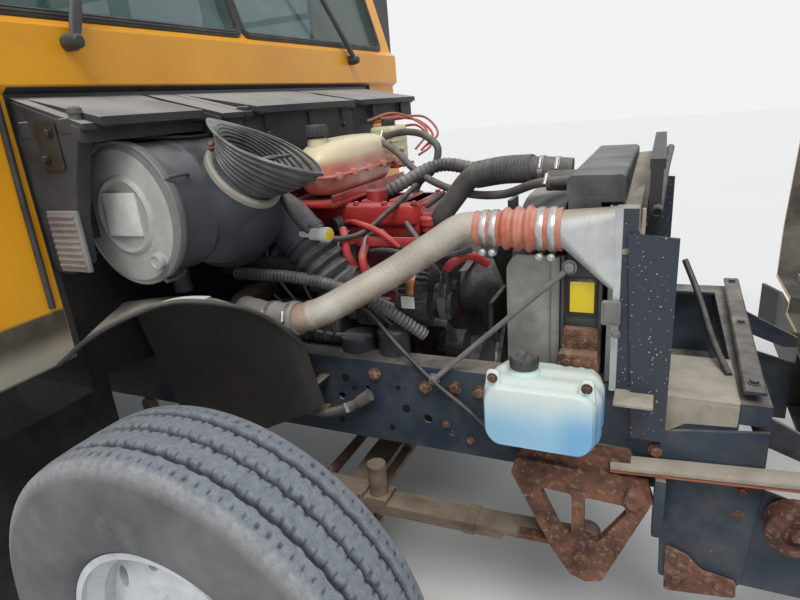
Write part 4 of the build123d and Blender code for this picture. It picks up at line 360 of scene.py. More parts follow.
@finish("black_rubber_and_iron", "engine_drive")
def black_iron(p):
    """Alternator, pulleys and fan: black castings with dusty edges."""
    broad = p.noise(18, 6, 0.7)
    colour = p.mix((0.018, 0.018, 0.019), (0.085, 0.082, 0.078), broad.rise(0.42, 0.75))
    colour = p.dusted(colour, PALE_DUST, 0.35, 20)
    return p.surface(colour, 0.5 + 0.25 * broad, 0.1, p.noise(160, 4), 0.0008)


@finish("radiator_black", "radiator")
def tank_black(p):
    """Radiator tanks: grey-black moulded ribs under thick grey dust, and fins between them."""
    broad = p.noise(10, 7, 0.65)
    colour = p.mix((0.035, 0.037, 0.04), (0.13, 0.13, 0.135), broad.rise(0.3, 0.75))
    colour = p.dusted(colour, (0.3, 0.29, 0.285), 0.6)
    fins = abs(p.y.repeat(0.006) - 0.5)
    return p.surface(colour, 0.62, 0, fins * 0.5 + p.noise(140, 3), 0.0006)


@finish("bay_plastic", "fan_shroud firewall_boxes roof_hatch driver_station")
def bay_plastic(p):
    """Coarse black moulding under grey dust, which lies thickest on what faces up."""
    broad = p.noise(6, 8, 0.68)
    colour = p.mix((0.014, 0.015, 0.018), (0.05, 0.052, 0.058), broad.rise(0.3, 0.75))
    drift = p.noise(4, 7, 0.6).rise(0.25, 0.62)
    colour = p.mix(colour, (0.36, 0.355, 0.35), p.facing_up() * (0.55 + 0.4 * drift))
    scratch = p.noise(30, 3, 0.6, (1, 8, 1)).rise(0.68, 0.75)
    colour = p.mix(colour, (0.52, 0.5, 0.47), scratch * p.facing_up() * 0.5)
    return p.surface(colour, 0.55 + 0.3 * broad, 0, p.noise(300, 3), 0.0005)


@finish("bare_aluminium", "coolers")
def bare_alloy(p):
    """Cast and sheet aluminium, dull, brushed up and down, with a whitish oxide bloom."""
    bloom = p.noise(7, 7, 0.65)
    grain = p.noise(34, 5, 0.6, (6, 6, 0.7))
    colour = p.mix((0.42, 0.43, 0.44), (0.64, 0.65, 0.66), bloom.rise(0.25, 0.7))
    colour = p.mix(colour, (0.3, 0.29, 0.26), grain.rise(0.55, 0.8) * 0.45)
    colour = p.mix(colour, (0.4, 0.34, 0.24), p.facing_up() * p.noise(15, 6).rise(0.3, 0.6) * 0.75)
    baffle = abs(p.y).rise(0.448, 0.45) * p.x.rise(AXLE_X + 0.8, AXLE_X + 0.802)
    fins = (1 - baffle) * p.x.rise(AXLE_X + 0.843, AXLE_X + 0.845)
    speck = 1 - (p.cells(95) + 0.25 * p.noise(30)).rise(0.16, 0.3)
    colour = p.mix(colour, p.mix((0.035, 0.043, 0.06), (0.62, 0.64, 0.66), speck), baffle)
    row = abs(p.y.repeat(0.012) - 0.5).rise(0.1, 0.4)
    colour = p.mix(colour, p.mix((0.016, 0.017, 0.02), (0.1, 0.1, 0.1), row), fins)
    metal = 0.45 - 0.4 * (baffle + fins)
    return p.surface(colour, 0.42 + 0.25 * bloom, metal, grain + 0.6 * p.noise(280, 3), 0.0006)


@finish("pipe_steel", "charge_pipes")
def speckled_pipe(p):
    """Silver-painted steel pipe that rust has freckled, denser and browner underneath and at its ends."""
    broad = p.noise(7, 6)
    freckle = p.cells(210).rise(0.02, 0.3)
    spread = p.noise(10, 5).rise(0.36, 0.6)
    colour = p.mix((0.54, 0.51, 0.46), (0.42, 0.37, 0.3), broad.rise(0.3, 0.7))
    colour = p.mix(colour, (0.13, 0.075, 0.045), (1 - freckle) * (0.25 + 0.75 * spread))
    tail = 1 - p.x.rise(AXLE_X - 0.02, AXLE_X + 0.1)
    colour = p.mix(colour, (0.34, 0.19, 0.13), tail * 0.75)
    low = 1 - p.part(p.normal, "Z").rise(-0.7, 0.1)
    colour = p.mix(colour, (0.22, 0.13, 0.09), low * p.noise(22, 5).rise(0.35, 0.6) * 0.6)
    return p.surface(colour, 0.48 + 0.3 * (1 - freckle), 0.15, freckle + p.noise(160, 3), 0.0006)


@finish("orange_silicone", "charge_hose")
def orange_silicone(p):
    """Reinforced silicone, faded orange-red, powdery on its rolls."""
    broad = p.noise(24, 5)
    colour = p.mix((0.5, 0.105, 0.05), (0.56, 0.235, 0.17), broad.rise(0.3, 0.7))
    colour = p.dusted(colour, (0.62, 0.46, 0.4), 0.5, 30)
    return p.surface(colour, 0.62, 0, p.cells(500), 0.0004)


@finish("grey_plastic", "air_cleaner")
def grey_canister(p):
    """Moulded plastic of the air cleaner: slate grey, satin, with dust along what faces up."""
    broad = p.noise(5, 5)
    colour = p.mix((0.045, 0.05, 0.062), (0.078, 0.084, 0.096), broad.rise(0.3, 0.7))
    colour = p.mix(colour, (0.26, 0.26, 0.25), p.facing_up() * p.noise(11, 6).rise(0.3, 0.62) * 0.55)
    scuff = p.noise(38, 4, 0.6, (1, 5, 1)).rise(0.7, 0.76)
    colour = p.mix(colour, (0.3, 0.29, 0.27), scuff * 0.4)
    return p.surface(colour, 0.4 + 0.22 * broad, 0, p.noise(420, 2), 0.00035)


@finish("tank_plastic", "coolant_tanks")
def tank_plastic(p):
    """Translucent tanks: pink coolant below the fill line and straw plastic above, amber for the fluid
    reservoir."""
    cloud = p.noise(9, 5)
    tank = p.mix((0.56, 0.19, 0.14), (0.7, 0.36, 0.28), cloud.rise(0.35, 0.7))
    tank = p.mix(tank, (0.8, 0.7, 0.48), p.z.rise(1.425, 1.465))
    reservoir = p.mix((0.62, 0.54, 0.3), (0.78, 0.72, 0.48), p.z.repeat(0.028).rise(0.3, 0.8))
    colour = p.mix(tank, reservoir, p.y.rise(0.318, 0.322))
    cap = p.z.rise(1.516, 1.518)
    colour = p.mix(colour, (0.03, 0.03, 0.03), cap)
    return p.surface(colour, 0.28 + 0.2 * cloud, 0, p.noise(60, 3), 0.0006,
        **{"Subsurface Weight": 0.25, "Subsurface Scale": 0.03})


@finish("black_rubber", "coolant_hoses wipers")
def black_rubber(p):
    """Rubber hose: grey-black, chalky, fine cracks along it."""
    broad = p.noise(14, 6, 0.65)
    colour = p.mix((0.05, 0.05, 0.052), (0.135, 0.13, 0.125), broad.rise(0.25, 0.7))
    colour = p.dusted(colour, (0.34, 0.31, 0.27), 0.5, 22)
    return p.surface(colour, 0.62, 0, p.noise(190, 5), 0.0005)


@finish("bay_plastic", "splash_liners")
def liner_plastic(p):
    """Fender liner: near-black sheet, faintly brown where mud has dried, chalky grey on its turned lip."""
    broad = p.noise(2.6, 6, 0.6)
    colour = p.mix((0.02, 0.019, 0.018), (0.05, 0.043, 0.038), broad.rise(0.3, 0.7))
    colour = p.mix(colour, (0.085, 0.042, 0.028), p.noise(3.1, 8, 0.7).rise(0.6, 0.78) * 0.5)
    lip = p.facing_up() * (0.45 + 0.55 * p.noise(8, 7, 0.7).rise(0.3, 0.6))
    colour = p.mix(colour, (0.5, 0.46, 0.38), lip * 0.85)
    return p.surface(colour, 0.55, 0, p.noise(70, 4), 0.0006)


@finish("milky_plastic", "washer_bottle")
def milky_bottle(p):
    """Milky blow-moulded bottle, blue where the washer fluid stands behind its wall."""
    cloud = p.noise(8, 4)
    wet = 1 - (p.z + (cloud - 0.5) * 0.05).rise(0.865, 0.985)
    colour = p.mix((0.68, 0.78, 0.74), (0.78, 0.86, 0.82), cloud)
    colour = p.mix(colour, (0.3, 0.56, 0.76), wet * 0.95)
    front = p.x.rise(AXLE_X + 0.67, AXLE_X + 0.73) * wet
    colour = p.mix(colour, (0.17, 0.43, 0.72), front * 0.8)
    return p.surface(
        colour, 0.34, 0, p.noise(28, 3), 0.001, **{"Subsurface Weight": 0.3, "Subsurface Scale": 0.04}
    )


@finish("floor_black", "floor")
def ribbed_floor(p):
    """Black rubber floor with fine ribs along it where it looks up, dusty between them."""
    rib = abs(p.y.repeat(0.012) - 0.5) * p.facing_up()
    colour = p.mix((0.02, 0.02, 0.021), (0.075, 0.07, 0.064), p.noise(5, 8, 0.7).rise(0.35, 0.75))
    return p.surface(colour, 0.62, 0, rib.rise(0.1, 0.35), 0.0012)


@finish("tinted_glass", "body_glass windshield")
def tinted_glass(p):
    """Green-tinted safety glass, faintly filmed with dust."""
    film = p.noise(6, 6, 0.6)
    colour = p.mix((0.06, 0.15, 0.15), (0.15, 0.27, 0.27), film.rise(0.45, 0.85))
    return p.surface(colour, 0.04 + 0.1 * film, 0, None, **{"Alpha": 0.5, "Specular IOR Level": 0.8})


@finish("seat_vinyl", "seats")
def seat_vinyl(p):
    """Grained vinyl, dark blue-green, shiny where it is sat on."""
    wear = p.noise(5, 5)
    colour = p.mix((0.016, 0.03, 0.045), (0.045, 0.065, 0.085), wear.rise(0.35, 0.75))
    return p.surface(colour, 0.34 + 0.3 * wear, 0, p.cells(260, "DISTANCE_TO_EDGE").rise(0, 0.12), 0.0005)


@finish("lamp_lens", "headlamps")
def lamp_glass(p):
    """Clear ribbed lamp lens over a bright bowl."""
    rib = abs(p.y.repeat(0.018) - 0.5)
    colour = p.mix((0.7, 0.72, 0.74), (0.9, 0.91, 0.92), rib.rise(0.1, 0.4))
    return p.surface(colour, 0.12, 0.2, rib, 0.002, **{"Coat Weight": 1})


@finish("amber_and_red_lens", "body_lamps")
def signal_lens(p):
    """Moulded lenses: red at the rear and on the roof's ends, amber on the sides, with fine square prisms."""
    side = abs(p.y).rise(1.16, 1.17)
    inner = abs(p.y).band(0.3, 0.66, 0.01) * p.z.rise(2.6, 2.62)
    prism = abs(p.y.repeat(0.008) - 0.5) + abs(p.z.repeat(0.008) - 0.5)
    colour = p.mix((0.6, 0.012, 0.01), (0.85, 0.26, 0.01), side + inner)
    colour = p.mix(colour, (0.3, 0.05, 0.01), prism.rise(0.7, 1) * 0.35)
    return p.surface(colour, 0.15, 0, prism, 0.0008, **{"Coat Weight": 1})


@finish("sign_red", "stop_arm")
def sign_red(p):
    """Red reflective sheeting with a fine diamond grid, white round its border."""
    grid = abs((p.x + p.z).repeat(0.006) - 0.5) + abs((p.x - p.z).repeat(0.006) - 0.5)
    colour = p.mix((0.55, 0.01, 0.012), (0.66, 0.03, 0.03), grid.rise(0.3, 0.8))
    return p.surface(colour, 0.25, 0, grid, 0.0003, **{"Coat Weight": 0.6})


@finish("sign_yellow", "crossing_arm")
def arm_yellow(p):
    """Crossing arm: yellow tube, scuffed to grey at its end."""
    scuff = p.noise(24, 6, 0.7)
    colour = p.mix((0.78, 0.52, 0.03), (0.45, 0.36, 0.2), scuff.rise(0.55, 0.75))
    return p.surface(colour, 0.35 + 0.3 * scuff, 0, scuff, 0.0004)


@finish("tyre_rubber", "front_tyre_right front_tyre_left rear_tyres_right rear_tyres_left")
def worn_rubber(p):
    """Tyre rubber: grey-blue where the road has scoured the tread, browner and smoother on the side wall,
    chalky on the shoulders, with painted shade in the grooves; values kept on the tyre's corners tell which
    is which."""
    tread = p.node("ShaderNodeAttribute", {"attribute_name": "tread"}, out="Fac")
    groove = p.node("ShaderNodeAttribute", {"attribute_name": "groove"}, out="Fac")
    shoulder = p.node("ShaderNodeAttribute", {"attribute_name": "shoulder"}, out="Fac")
    scour = p.noise(60, 8, 0.75)
    wall = p.mix((0.07, 0.073, 0.078), (0.135, 0.138, 0.145), p.noise(4, 6).rise(0.3, 0.7))
    wall = p.mix(wall, (0.2, 0.185, 0.165), p.noise(9, 7, 0.7).rise(0.5, 0.72) * 0.45)
    top = p.mix((0.125, 0.145, 0.175), (0.235, 0.26, 0.3), scour.rise(0.3, 0.7))
    top = p.mix(top, (0.33, 0.35, 0.37), p.cells(520).rise(0.45, 0.62) * 0.35)
    chalk = p.mix((0.23, 0.24, 0.25), (0.36, 0.365, 0.37), scour.rise(0.35, 0.65))
    colour = p.mix(wall, top, tread)
    colour = p.mix(colour, chalk, shoulder * 0.65)
    # Painted shade: near black down the grooves and the shoulder notches.
    colour = p.mix(colour, (0.03, 0.034, 0.042), groove)
    fine = p.noise(240, 6, 0.75)
    return p.surface(colour, 0.86, 0, scour * (0.35 + tread) + 0.6 * fine, 0.0011)


@finish("rim_paint", "front_wheel_right front_wheel_left rear_wheels_right rear_wheels_left")
def rim_silver(p):
    """Wheel enamel: pale grey, brake dust round the studs and a scuffed edge."""
    broad = p.noise(9, 6, 0.65)
    colour = p.mix((0.46, 0.48, 0.5), (0.62, 0.64, 0.66), broad.rise(0.3, 0.7))
    colour = p.mix(colour, (0.12, 0.085, 0.065), p.noise(15, 8, 0.72).rise(0.58, 0.72) * 0.6)
    return p.surface(colour, 0.32 + 0.3 * broad, 0.15, p.noise(150, 3), 0.0004)


def clouded(p, first, second, scale=8, rough=0.5, metal=0, dust=0.3, grain=160, tone=PALE_DUST, **fixed):
    """Finish that clouds between two colours, with dust on what faces up and a fine grain."""
    broad = p.noise(scale, 6, 0.65)
    colour = p.dusted(p.mix(first, second, broad.rise(0.3, 0.7)), tone, dust, 14)
    return p.surface(colour, rough + 0.25 * broad, metal, p.noise(grain, 4), 0.0005, **fixed)


@finish("grey_plastic")
def pale_lid(p):
    """The air cleaner's lid: light grey moulding, browned by dust round its raised ring and scratched."""
    from_x = p.x - (AXLE_X - 0.32)
    from_z = p.z - 1.392
    out = (from_x * from_x + from_z * from_z).root()
    broad = p.noise(9, 7, 0.65)
    colour = p.mix((0.34, 0.345, 0.335), (0.46, 0.465, 0.45), broad.rise(0.3, 0.7))
    colour = p.mix(colour, (0.3, 0.24, 0.17), out.band(0.06, 0.078, 0.006) * broad.rise(0.35, 0.6) * 0.55)
    colour = p.mix(colour, (0.1, 0.105, 0.11), out.rise(0.159, 0.163) * 0.75)
    drift = p.noise(26, 6, 0.7).rise(0.55, 0.72)
    colour = p.mix(colour, (0.3, 0.27, 0.23), drift * 0.45)
    return p.surface(colour, 0.42 + 0.25 * broad, 0, p.noise(300, 3), 0.0003)


@finish("bus_yellow", "front_cap")
def cap_yellow(p):
    """Front of the body: yellow enamel, dark behind the engine and in the wheels' wells, and a board between
    the two that is painted shade, dark brown-grey, over most of it and pale with dust at its foot."""
    grime = p.noise(7, 8, 0.7)
    colour = p.mix((0.76, 0.31, 0.008), (0.86, 0.39, 0.012), p.noise(1.3, 3).rise(0.35, 0.65))
    colour = p.mix(colour, (0.4, 0.24, 0.06), grime.rise(0.56, 0.82) * 0.35)
    ahead = p.x.rise(AXLE_X - 0.475, AXLE_X - 0.47)
    height = p.z
    side = abs(p.y)
    bay = (1 - side.rise(0.876, 0.88)) * (1 - height.rise(1.7, 1.704))
    edge = side.rise(0.876, 0.88) * (1 - height.rise(1.185, 1.195)) * ahead
    well = ahead * (1 - height.rise(1.055, 1.065))
    colour = p.mix(colour, (0.02, 0.021, 0.024), bay)
    # The board: dark brown-grey painted shade, fading to pale dust toward its foot.
    board = p.mix((0.06, 0.05, 0.04), (0.13, 0.11, 0.09), grime.rise(0.35, 0.7))
    board = p.mix((0.4, 0.36, 0.29), board, height.rise(1.085, 1.15))
    colour = p.mix(colour, board, edge)
    colour = p.mix(colour, (0.014, 0.014, 0.015), well)
    return p.surface(colour, 0.27 + 0.25 * grime, 0, p.noise(260, 2), 0.00012, **{"Coat Weight": 0.25})


@finish("grey_plastic")
def label_yellow(p):
    """Blank caution sheet: yellow with a dark border all the way round."""
    border = p.z.band(1.096, 1.172, 0.0006) * p.x.band(AXLE_X + 0.688, AXLE_X + 0.743, 0.0006)
    colour = p.mix((0.02, 0.02, 0.02), (0.83, 0.62, 0.02), border)
    return p.surface(p.mix(colour, (0.42, 0.34, 0.16), p.noise(26, 6).rise(0.55, 0.75) * 0.5), 0.45)


# Name, slot of the record, the two colours and what differs from the usual
PLAIN_FINISHES = (
    ("blank_label", "grey_plastic", (0.6, 0.6, 0.57), (0.74, 0.74, 0.72),
     {"scale": 30, "rough": 0.5, "dust": 0}),
    ("inlet_rubber", "grey_plastic", (0.03, 0.032, 0.036), (0.085, 0.085, 0.09),
     {"rough": 0.42, "dust": 0.5}),
    ("tan_plastic", "grey_plastic", (0.27, 0.245, 0.21), (0.36, 0.33, 0.285), {"rough": 0.55, "dust": 0.3}),
    ("elbow_black", "grey_plastic", (0.026, 0.03, 0.038), (0.06, 0.066, 0.08), {"rough": 0.36, "dust": 0.45}),
    ("gauge_plastic", "tank_plastic", (0.8, 0.55, 0.03), (0.86, 0.62, 0.05), {"rough": 0.3, "dust": 0}),
    ("dusty_alloy", "grey_casting", (0.15, 0.145, 0.14), (0.27, 0.26, 0.25),
     {"rough": 0.6, "metal": 0.2, "dust": 0.4}),
    ("amber_plastic", "tank_plastic", (0.55, 0.5, 0.3), (0.72, 0.68, 0.48),
     {"rough": 0.25, "dust": 0.1, "Subsurface Weight": 0.2}),
    ("cap_black", "bay_plastic", (0.022, 0.022, 0.024), (0.05, 0.05, 0.052), {"rough": 0.4, "dust": 0.25}),
    ("steel_band", "bare_aluminium", (0.42, 0.42, 0.42), (0.62, 0.61, 0.6),
     {"scale": 40, "rough": 0.28, "metal": 0.8, "dust": 0.2}),
    ("grey_hose", "black_rubber", (0.16, 0.145, 0.13), (0.28, 0.25, 0.22), {"rough": 0.7, "dust": 0.4}),
    ("ribbed_loom", "black_rubber", (0.03, 0.031, 0.034), (0.115, 0.112, 0.108), {"rough": 0.5, "dust": 0.5}),
    ("red_hose", "orange_silicone", (0.42, 0.03, 0.03), (0.55, 0.06, 0.055), {"rough": 0.4, "dust": 0.25}),
    ("copper_wire", "grey_casting", (0.32, 0.12, 0.05), (0.5, 0.22, 0.1),
     {"scale": 60, "rough": 0.35, "metal": 0.7, "dust": 0.1}),
    ("orange_paint", "rusty_steel", (0.52, 0.17, 0.06), (0.34, 0.11, 0.05), {"rough": 0.6, "dust": 0.4}),
    ("tan_sheet", "bare_aluminium", (0.24, 0.21, 0.17), (0.42, 0.38, 0.32),
     {"rough": 0.65, "dust": 0.6, "tone": (0.5, 0.45, 0.37)}),
    ("window_rubber", "black_rubber", (0.01, 0.01, 0.011), (0.032, 0.032, 0.034),
     {"rough": 0.45, "dust": 0.25}),
    ("cover_red", "red_engine_paint", (0.5, 0.02, 0.018), (0.36, 0.018, 0.018),
     {"rough": 0.3, "dust": 0.35, "Coat Weight": 0.2}),
    ("filter_blue", "black_rubber_and_iron", (0.03, 0.034, 0.04), (0.1, 0.11, 0.13),
     {"rough": 0.35, "dust": 0.3}),
    ("worn_plate", "bare_aluminium", (0.26, 0.255, 0.225), (0.4, 0.4, 0.37),
     {"scale": 12, "rough": 0.5, "metal": 0.3, "dust": 0.3}),
    # Near black: painted shade for the holes in the rails.
    ("hole_shade", "navy_black_paint", (0.004, 0.004, 0.005), (0.01, 0.01, 0.011), {"rough": 0.9, "dust": 0}),
    ("amber_lens", "amber_and_red_lens", (0.8, 0.24, 0.01), (0.88, 0.34, 0.02),
     {"rough": 0.12, "dust": 0, "Coat Weight": 1}),
    ("red_lens", "amber_and_red_lens", (0.52, 0.01, 0.008), (0.66, 0.02, 0.015),
     {"rough": 0.12, "dust": 0, "Coat Weight": 1}),
)

for name, slot, first, second, settings in PLAIN_FINISHES:
    FINISH[name], RECORD_SLOT[name] = clouded(Paint(name), first, second, **settings), slot


# Camera, floor and light


def stand_camera():
    """A person's view into the open bay from the right front corner, close by and tilted a little."""
    yaw, pitch, roll = math.radians(25.102), math.radians(18.891), math.radians(4.7465)
    ahead = Vector((-math.sin(yaw) * math.cos(pitch), math.cos(yaw) * math.cos(pitch), -math.sin(pitch)))
    level = Vector((math.cos(yaw), math.sin(yaw), 0.0))
    above = level.cross(ahead)
    right = level * math.cos(roll) - above * math.sin(roll)
    up = level * math.sin(roll) + above * math.cos(roll)
    camera = bpy.data.objects.new("camera", bpy.data.cameras.new("camera"))
    sensor, focal_pixels, photo_width = 36.0, 574.7, 800.0
    camera.data.sensor_width = sensor
    camera.data.lens = focal_pixels * sensor / photo_width
    camera.data.clip_start = 0.05
    turn = Matrix((right, up, -ahead)).transposed().to_4x4()
    camera.matrix_world = Matrix.Translation(Vector(at(0.8686, -1.756, 1.6028))) @ turn
    bpy.context.scene.collection.objects.link(camera)
    bpy.context.scene.camera = camera


def lay_floor():
    """Plain pale floor, square, 60 m each way."""
    half = 30.0
    mesh = bpy.data.meshes.new("floor_plane")
    mesh.from_pydata([(-half, -half, 0), (half, -half, 0), (half, half, 0), (-half, half, 0)], [],
        [(0, 1, 2, 3)])
    floor = bpy.data.objects.new("floor_plane", mesh)
    bpy.context.scene.collection.objects.link(floor)
    p = Paint("pale_floor")
    mesh.materials.append(p.surface(p.mix((0.7, 0.7, 0.7), (0.74, 0.74, 0.735), p.noise(0.4)), 0.9))


def light_studio():
    """Even sky light, seen as near white, and one broad sun lamp over the right front corner."""
    world = bpy.context.scene.world = bpy.data.worlds.new("studio")
    sky = Nodes(world)
    camera, glossy, clear = (
        sky.node("ShaderNodeLightPath", out=f"Is {ray} Ray") for ray in ("Camera", "Glossy", "Transmission")
    )
    seen = camera.math("MAXIMUM", camera.math("MAXIMUM", camera, glossy), clear)
    lit, shown = (
        sky.node("ShaderNodeBackground", None, {"Color": colour, "Strength": strength})
        for colour, strength in (((0.9, 0.95, 1.0), 0.72), ((0.93, 0.94, 0.95), 0.95))
    )
    both = sky.node("ShaderNodeMixShader", None, {0: seen, 1: lit, 2: shown})
    sky.node("ShaderNodeOutputWorld", None, {0: both})
    sun = bpy.data.objects.new("sun", bpy.data.lights.new("sun", "SUN"))
    sun.data.energy = 1.9
    sun.data.angle = math.radians(28.0)
    sun.data.color = (1.0, 0.97, 0.92)
    sun.rotation_euler = Vector((-0.35, 0.75, -1.25)).to_track_quat("-Z", "Y").to_euler()
    bpy.context.scene.collection.objects.link(sun)


stand_camera()
lay_floor()
light_studio()
bpy.context.scene.view_settings.view_transform = "Standard"

# Shapes: every surface is a grid of points, worked out as whole arrays


def unit(vector):
    """Vectors brought to length one."""
    vector = np.asarray(vector, float)
    return vector / np.maximum(np.linalg.norm(vector, axis=-1, keepdims=True), 1e-12)


def smooth(points, samples=60):
    """A curve through points: on each stretch a cubic whose end slopes are the mean slopes of the chords
    there."""
    points = np.asarray(points, float)
    run = np.concatenate(([0.0], np.cumsum(np.linalg.norm(np.diff(points, axis=0), axis=1))))
    slope = np.gradient(points, run, axis=0)
    where = np.linspace(0.0, run[-1], samples)
    k = np.clip(np.searchsorted(run, where, side="right") - 1, 0, len(run) - 2)
    length = (run[k + 1] - run[k])[:, None]
    u = (where - run[k])[:, None] / length
    return (
        (2 * u**3 - 3 * u**2 + 1) * points[k]
        + (u**3 - 2 * u**2 + u) * length * slope[k]
        + (3 * u**2 - 2 * u**3) * points[k + 1]
        + (u**3 - u**2) * length * slope[k + 1]
    )


def reaches(rows):
    """Rows of (reach, y, z) as points of the scene."""
    return np.asarray(rows, float) + (AXLE_X, 0.0, 0.0)


def rounded(outline, radius, steps=5):
    """An outline whose corners are rounded: each corner is a parabola between points one radius along its
    sides."""
    corner = np.asarray(outline, float)
    before = unit(np.roll(corner, 1, 0) - corner)[:, None] * radius
    after = unit(np.roll(corner, -1, 0) - corner)[:, None] * radius
    t = np.linspace(0.0, 1.0, steps + 1)[None, :, None]
    corner = corner[:, None]
    arc = (1 - t) ** 2 * (corner + before) + 2 * t * (1 - t) * corner + t**2 * (corner + after)
    return arc.reshape(-1, 2)


def round_box(low, high, radius, steps=5):
    """Outline of a rectangle between two corners, rounded."""
    return rounded(((low[0], low[1]), (high[0], low[1]), (high[0], high[1]), (low[0], high[1])), radius,
        steps)


TAU = 2 * np.pi
UP, AHEAD, RIGHT = (0, 0, 1), (1, 0, 0), (0, -1, 0)


def ring_about(axis, sides):
    """Unit spokes round an axis."""
    across = unit(np.cross(np.eye(3)[np.argmin(np.abs(axis))], axis))
    angle = turns(sides).T
    return across * np.cos(angle) + np.cross(axis, across) * np.sin(angle)


def turns(steps):
    """Angles of one full turn, as one row."""
    return np.arange(steps)[None] * (TAU / steps)


PLANE_AXES = {"x": (1, 2, 0), "y": (0, 2, 1), "z": (0, 1, 2)}


class Shape:
    """Surfaces gathered into one mesh. A surface is a grid of points [i, j] joined to their neighbours. It
    may run round in either direction, and a stack of rings may be closed at both ends."""

    def __init__(self):
        self.points, self.faces, self.count = [], [], 0

    def grid(self, points, round_i=False, round_j=True, caps=False):
        rows, columns = points.shape[:2]
        index = np.arange(rows * columns).reshape(rows, columns) + self.count
        near = index if round_i else index[:-1]
        far = np.roll(index, -1, 0) if round_i else index[1:]
        if round_j:
            quads = np.stack((near, np.roll(near, -1, 1), np.roll(far, -1, 1), far), -1)
        else:
            quads = np.stack((near[:, :-1], near[:, 1:], far[:, 1:], far[:, :-1]), -1)
        self.faces += quads.reshape(-1, 4).tolist()
        if caps:
            self.faces += [index[0, ::-1].tolist(), index[-1].tolist()]
        self.points.append(points.reshape(-1, 3))
        self.count += rows * columns
        return self

    def tube(self, path, radius, sides=14, flat=1.0, caps=True):
        """A ring carried along a path and kept square to it. The radius may change on the way."""
        path = np.asarray(path, float)
        ahead = unit(np.gradient(path, axis=0))
        away = np.eye(3)[np.argmin(np.abs(ahead).max(axis=0))]
        across = unit(np.cross(away, ahead))
        over = np.cross(ahead, across)
        angle = turns(sides).T
        ring = across[:, None] * np.cos(angle) + over[:, None] * np.sin(angle) * flat
        reach = np.broadcast_to(radius, len(path))[:, None, None]
        return self.grid(path[:, None] + ring * reach, caps=caps)

    def lathe(self, profile, origin, axis, sides=36, caps=True):
        """A profile of (distance, radius) stations turned about an axis."""
        profile, axis = np.asarray(profile, float), unit(axis)
        ring = ring_about(axis, sides)
        points = np.asarray(origin) + axis * profile[:, :1, None] + ring * profile[:, 1:, None]
        return self.grid(points, caps=caps)

    def slab(self, outline, low, high, plane, bevel, steps=2):
        """An outline thickened square to its plane. Its rings near both faces are set in along a quarter
        circle."""
        flat = np.asarray(outline, float)
        if np.sum(flat[:, 0] * np.roll(flat[:, 1], -1) - flat[:, 1] * np.roll(flat[:, 0], -1)) < 0:
            flat = flat[::-1]
        ahead = np.roll(flat, -1, 0) - flat
        out = unit(np.stack((ahead[:, 1], -ahead[:, 0]), -1))
        back = np.roll(out, 1, 0)
        mitre = (out + back) / (1 + np.sum(out * back, axis=1, keepdims=True)).clip(0.3)
        turn = np.linspace(0.0, np.pi / 2, steps + 1)
        inset = bevel * (1 - np.sin(turn))
        inset = np.concatenate((inset, inset[::-1]))
        sunk = bevel * (1 - np.cos(turn))
        depth = np.concatenate((low + sunk, (high - sunk)[::-1]))
        first, second, normal = PLANE_AXES[plane]
        points = np.empty((len(depth), len(flat), 3))
        ring = flat[None] - mitre[None] * inset[:, None, None]
        points[..., first], points[..., second] = ring[..., 0], ring[..., 1]
        points[..., normal] = depth[:, None]
        points[..., 0] += AXLE_X
        return self.grid(points, caps=True)

    def block(self, reach, y, z, bevel=0.006, corner=None, plane="z"):
        """A box between two limits on each axis, its edges rounded."""
        spans = {"x": (y, z, reach), "y": (reach, z, y), "z": (reach, y, z)}[plane]
        outline = round_box(
            (spans[0][0], spans[1][0]), (spans[0][1], spans[1][1]), corner or bevel, 4
        )
        return self.slab(outline, spans[2][0], spans[2][1], plane, bevel, 3)

    def bolt(self, place, axis, size):
        """A washer and a six-sided head, chamfered on top."""
        self.lathe(((0, size * 1.35), (size * 0.22, size * 1.35)), place, axis, 16)
        head = ((size * 0.2, size), (size * 0.85, size), (size * 1.0, size * 0.82))
        return self.lathe(head, place, axis, 6)

    def clamp(self, place, axis, radius, width=0.012, lug=UP):
        """A band round a hose, with its screw on a lug outside it."""
        axis = unit(axis)
        band = ((-width / 2, radius), (-width / 2, radius + 0.0022), (width / 2, radius + 0.0022),
            (width / 2, radius))
        self.lathe(band, place, axis, 32)
        lug = unit(np.asarray(lug, float) - axis * np.dot(axis, lug))
        side = np.cross(axis, lug)
        screw = np.asarray(place) + lug * (radius + 0.006)
        return self.tube([screw - side * 0.014, screw, screw + side * 0.014], 0.0052, 8)

    def scatter(self, centres, axis, radius, height, sides=6):
        """Small domes at many places at once: rings at the foot, half way up and near the top."""
        axis = unit(axis)
        rise = np.array((0.0, 0.75, 1.0))[:, None, None] * height
        wide = np.array((1.0, 0.75, 0.25))[:, None, None] * radius
        dome = axis * rise + ring_about(axis, sides) * wide
        points = np.asarray(centres, float)[:, None, None] + dome[None]
        index = np.arange(points.shape[0] * 3 * sides).reshape(-1, 3, sides) + self.count
        near, far = index[:, :-1], index[:, 1:]
        quads = np.stack((near, np.roll(near, -1, 2), np.roll(far, -1, 2), far), -1)
        self.faces += quads.reshape(-1, 4).tolist() + index[:, -1].tolist()
        self.points.append(points.reshape(-1, 3))
        self.count += points.shape[0] * 3 * sides
        return self

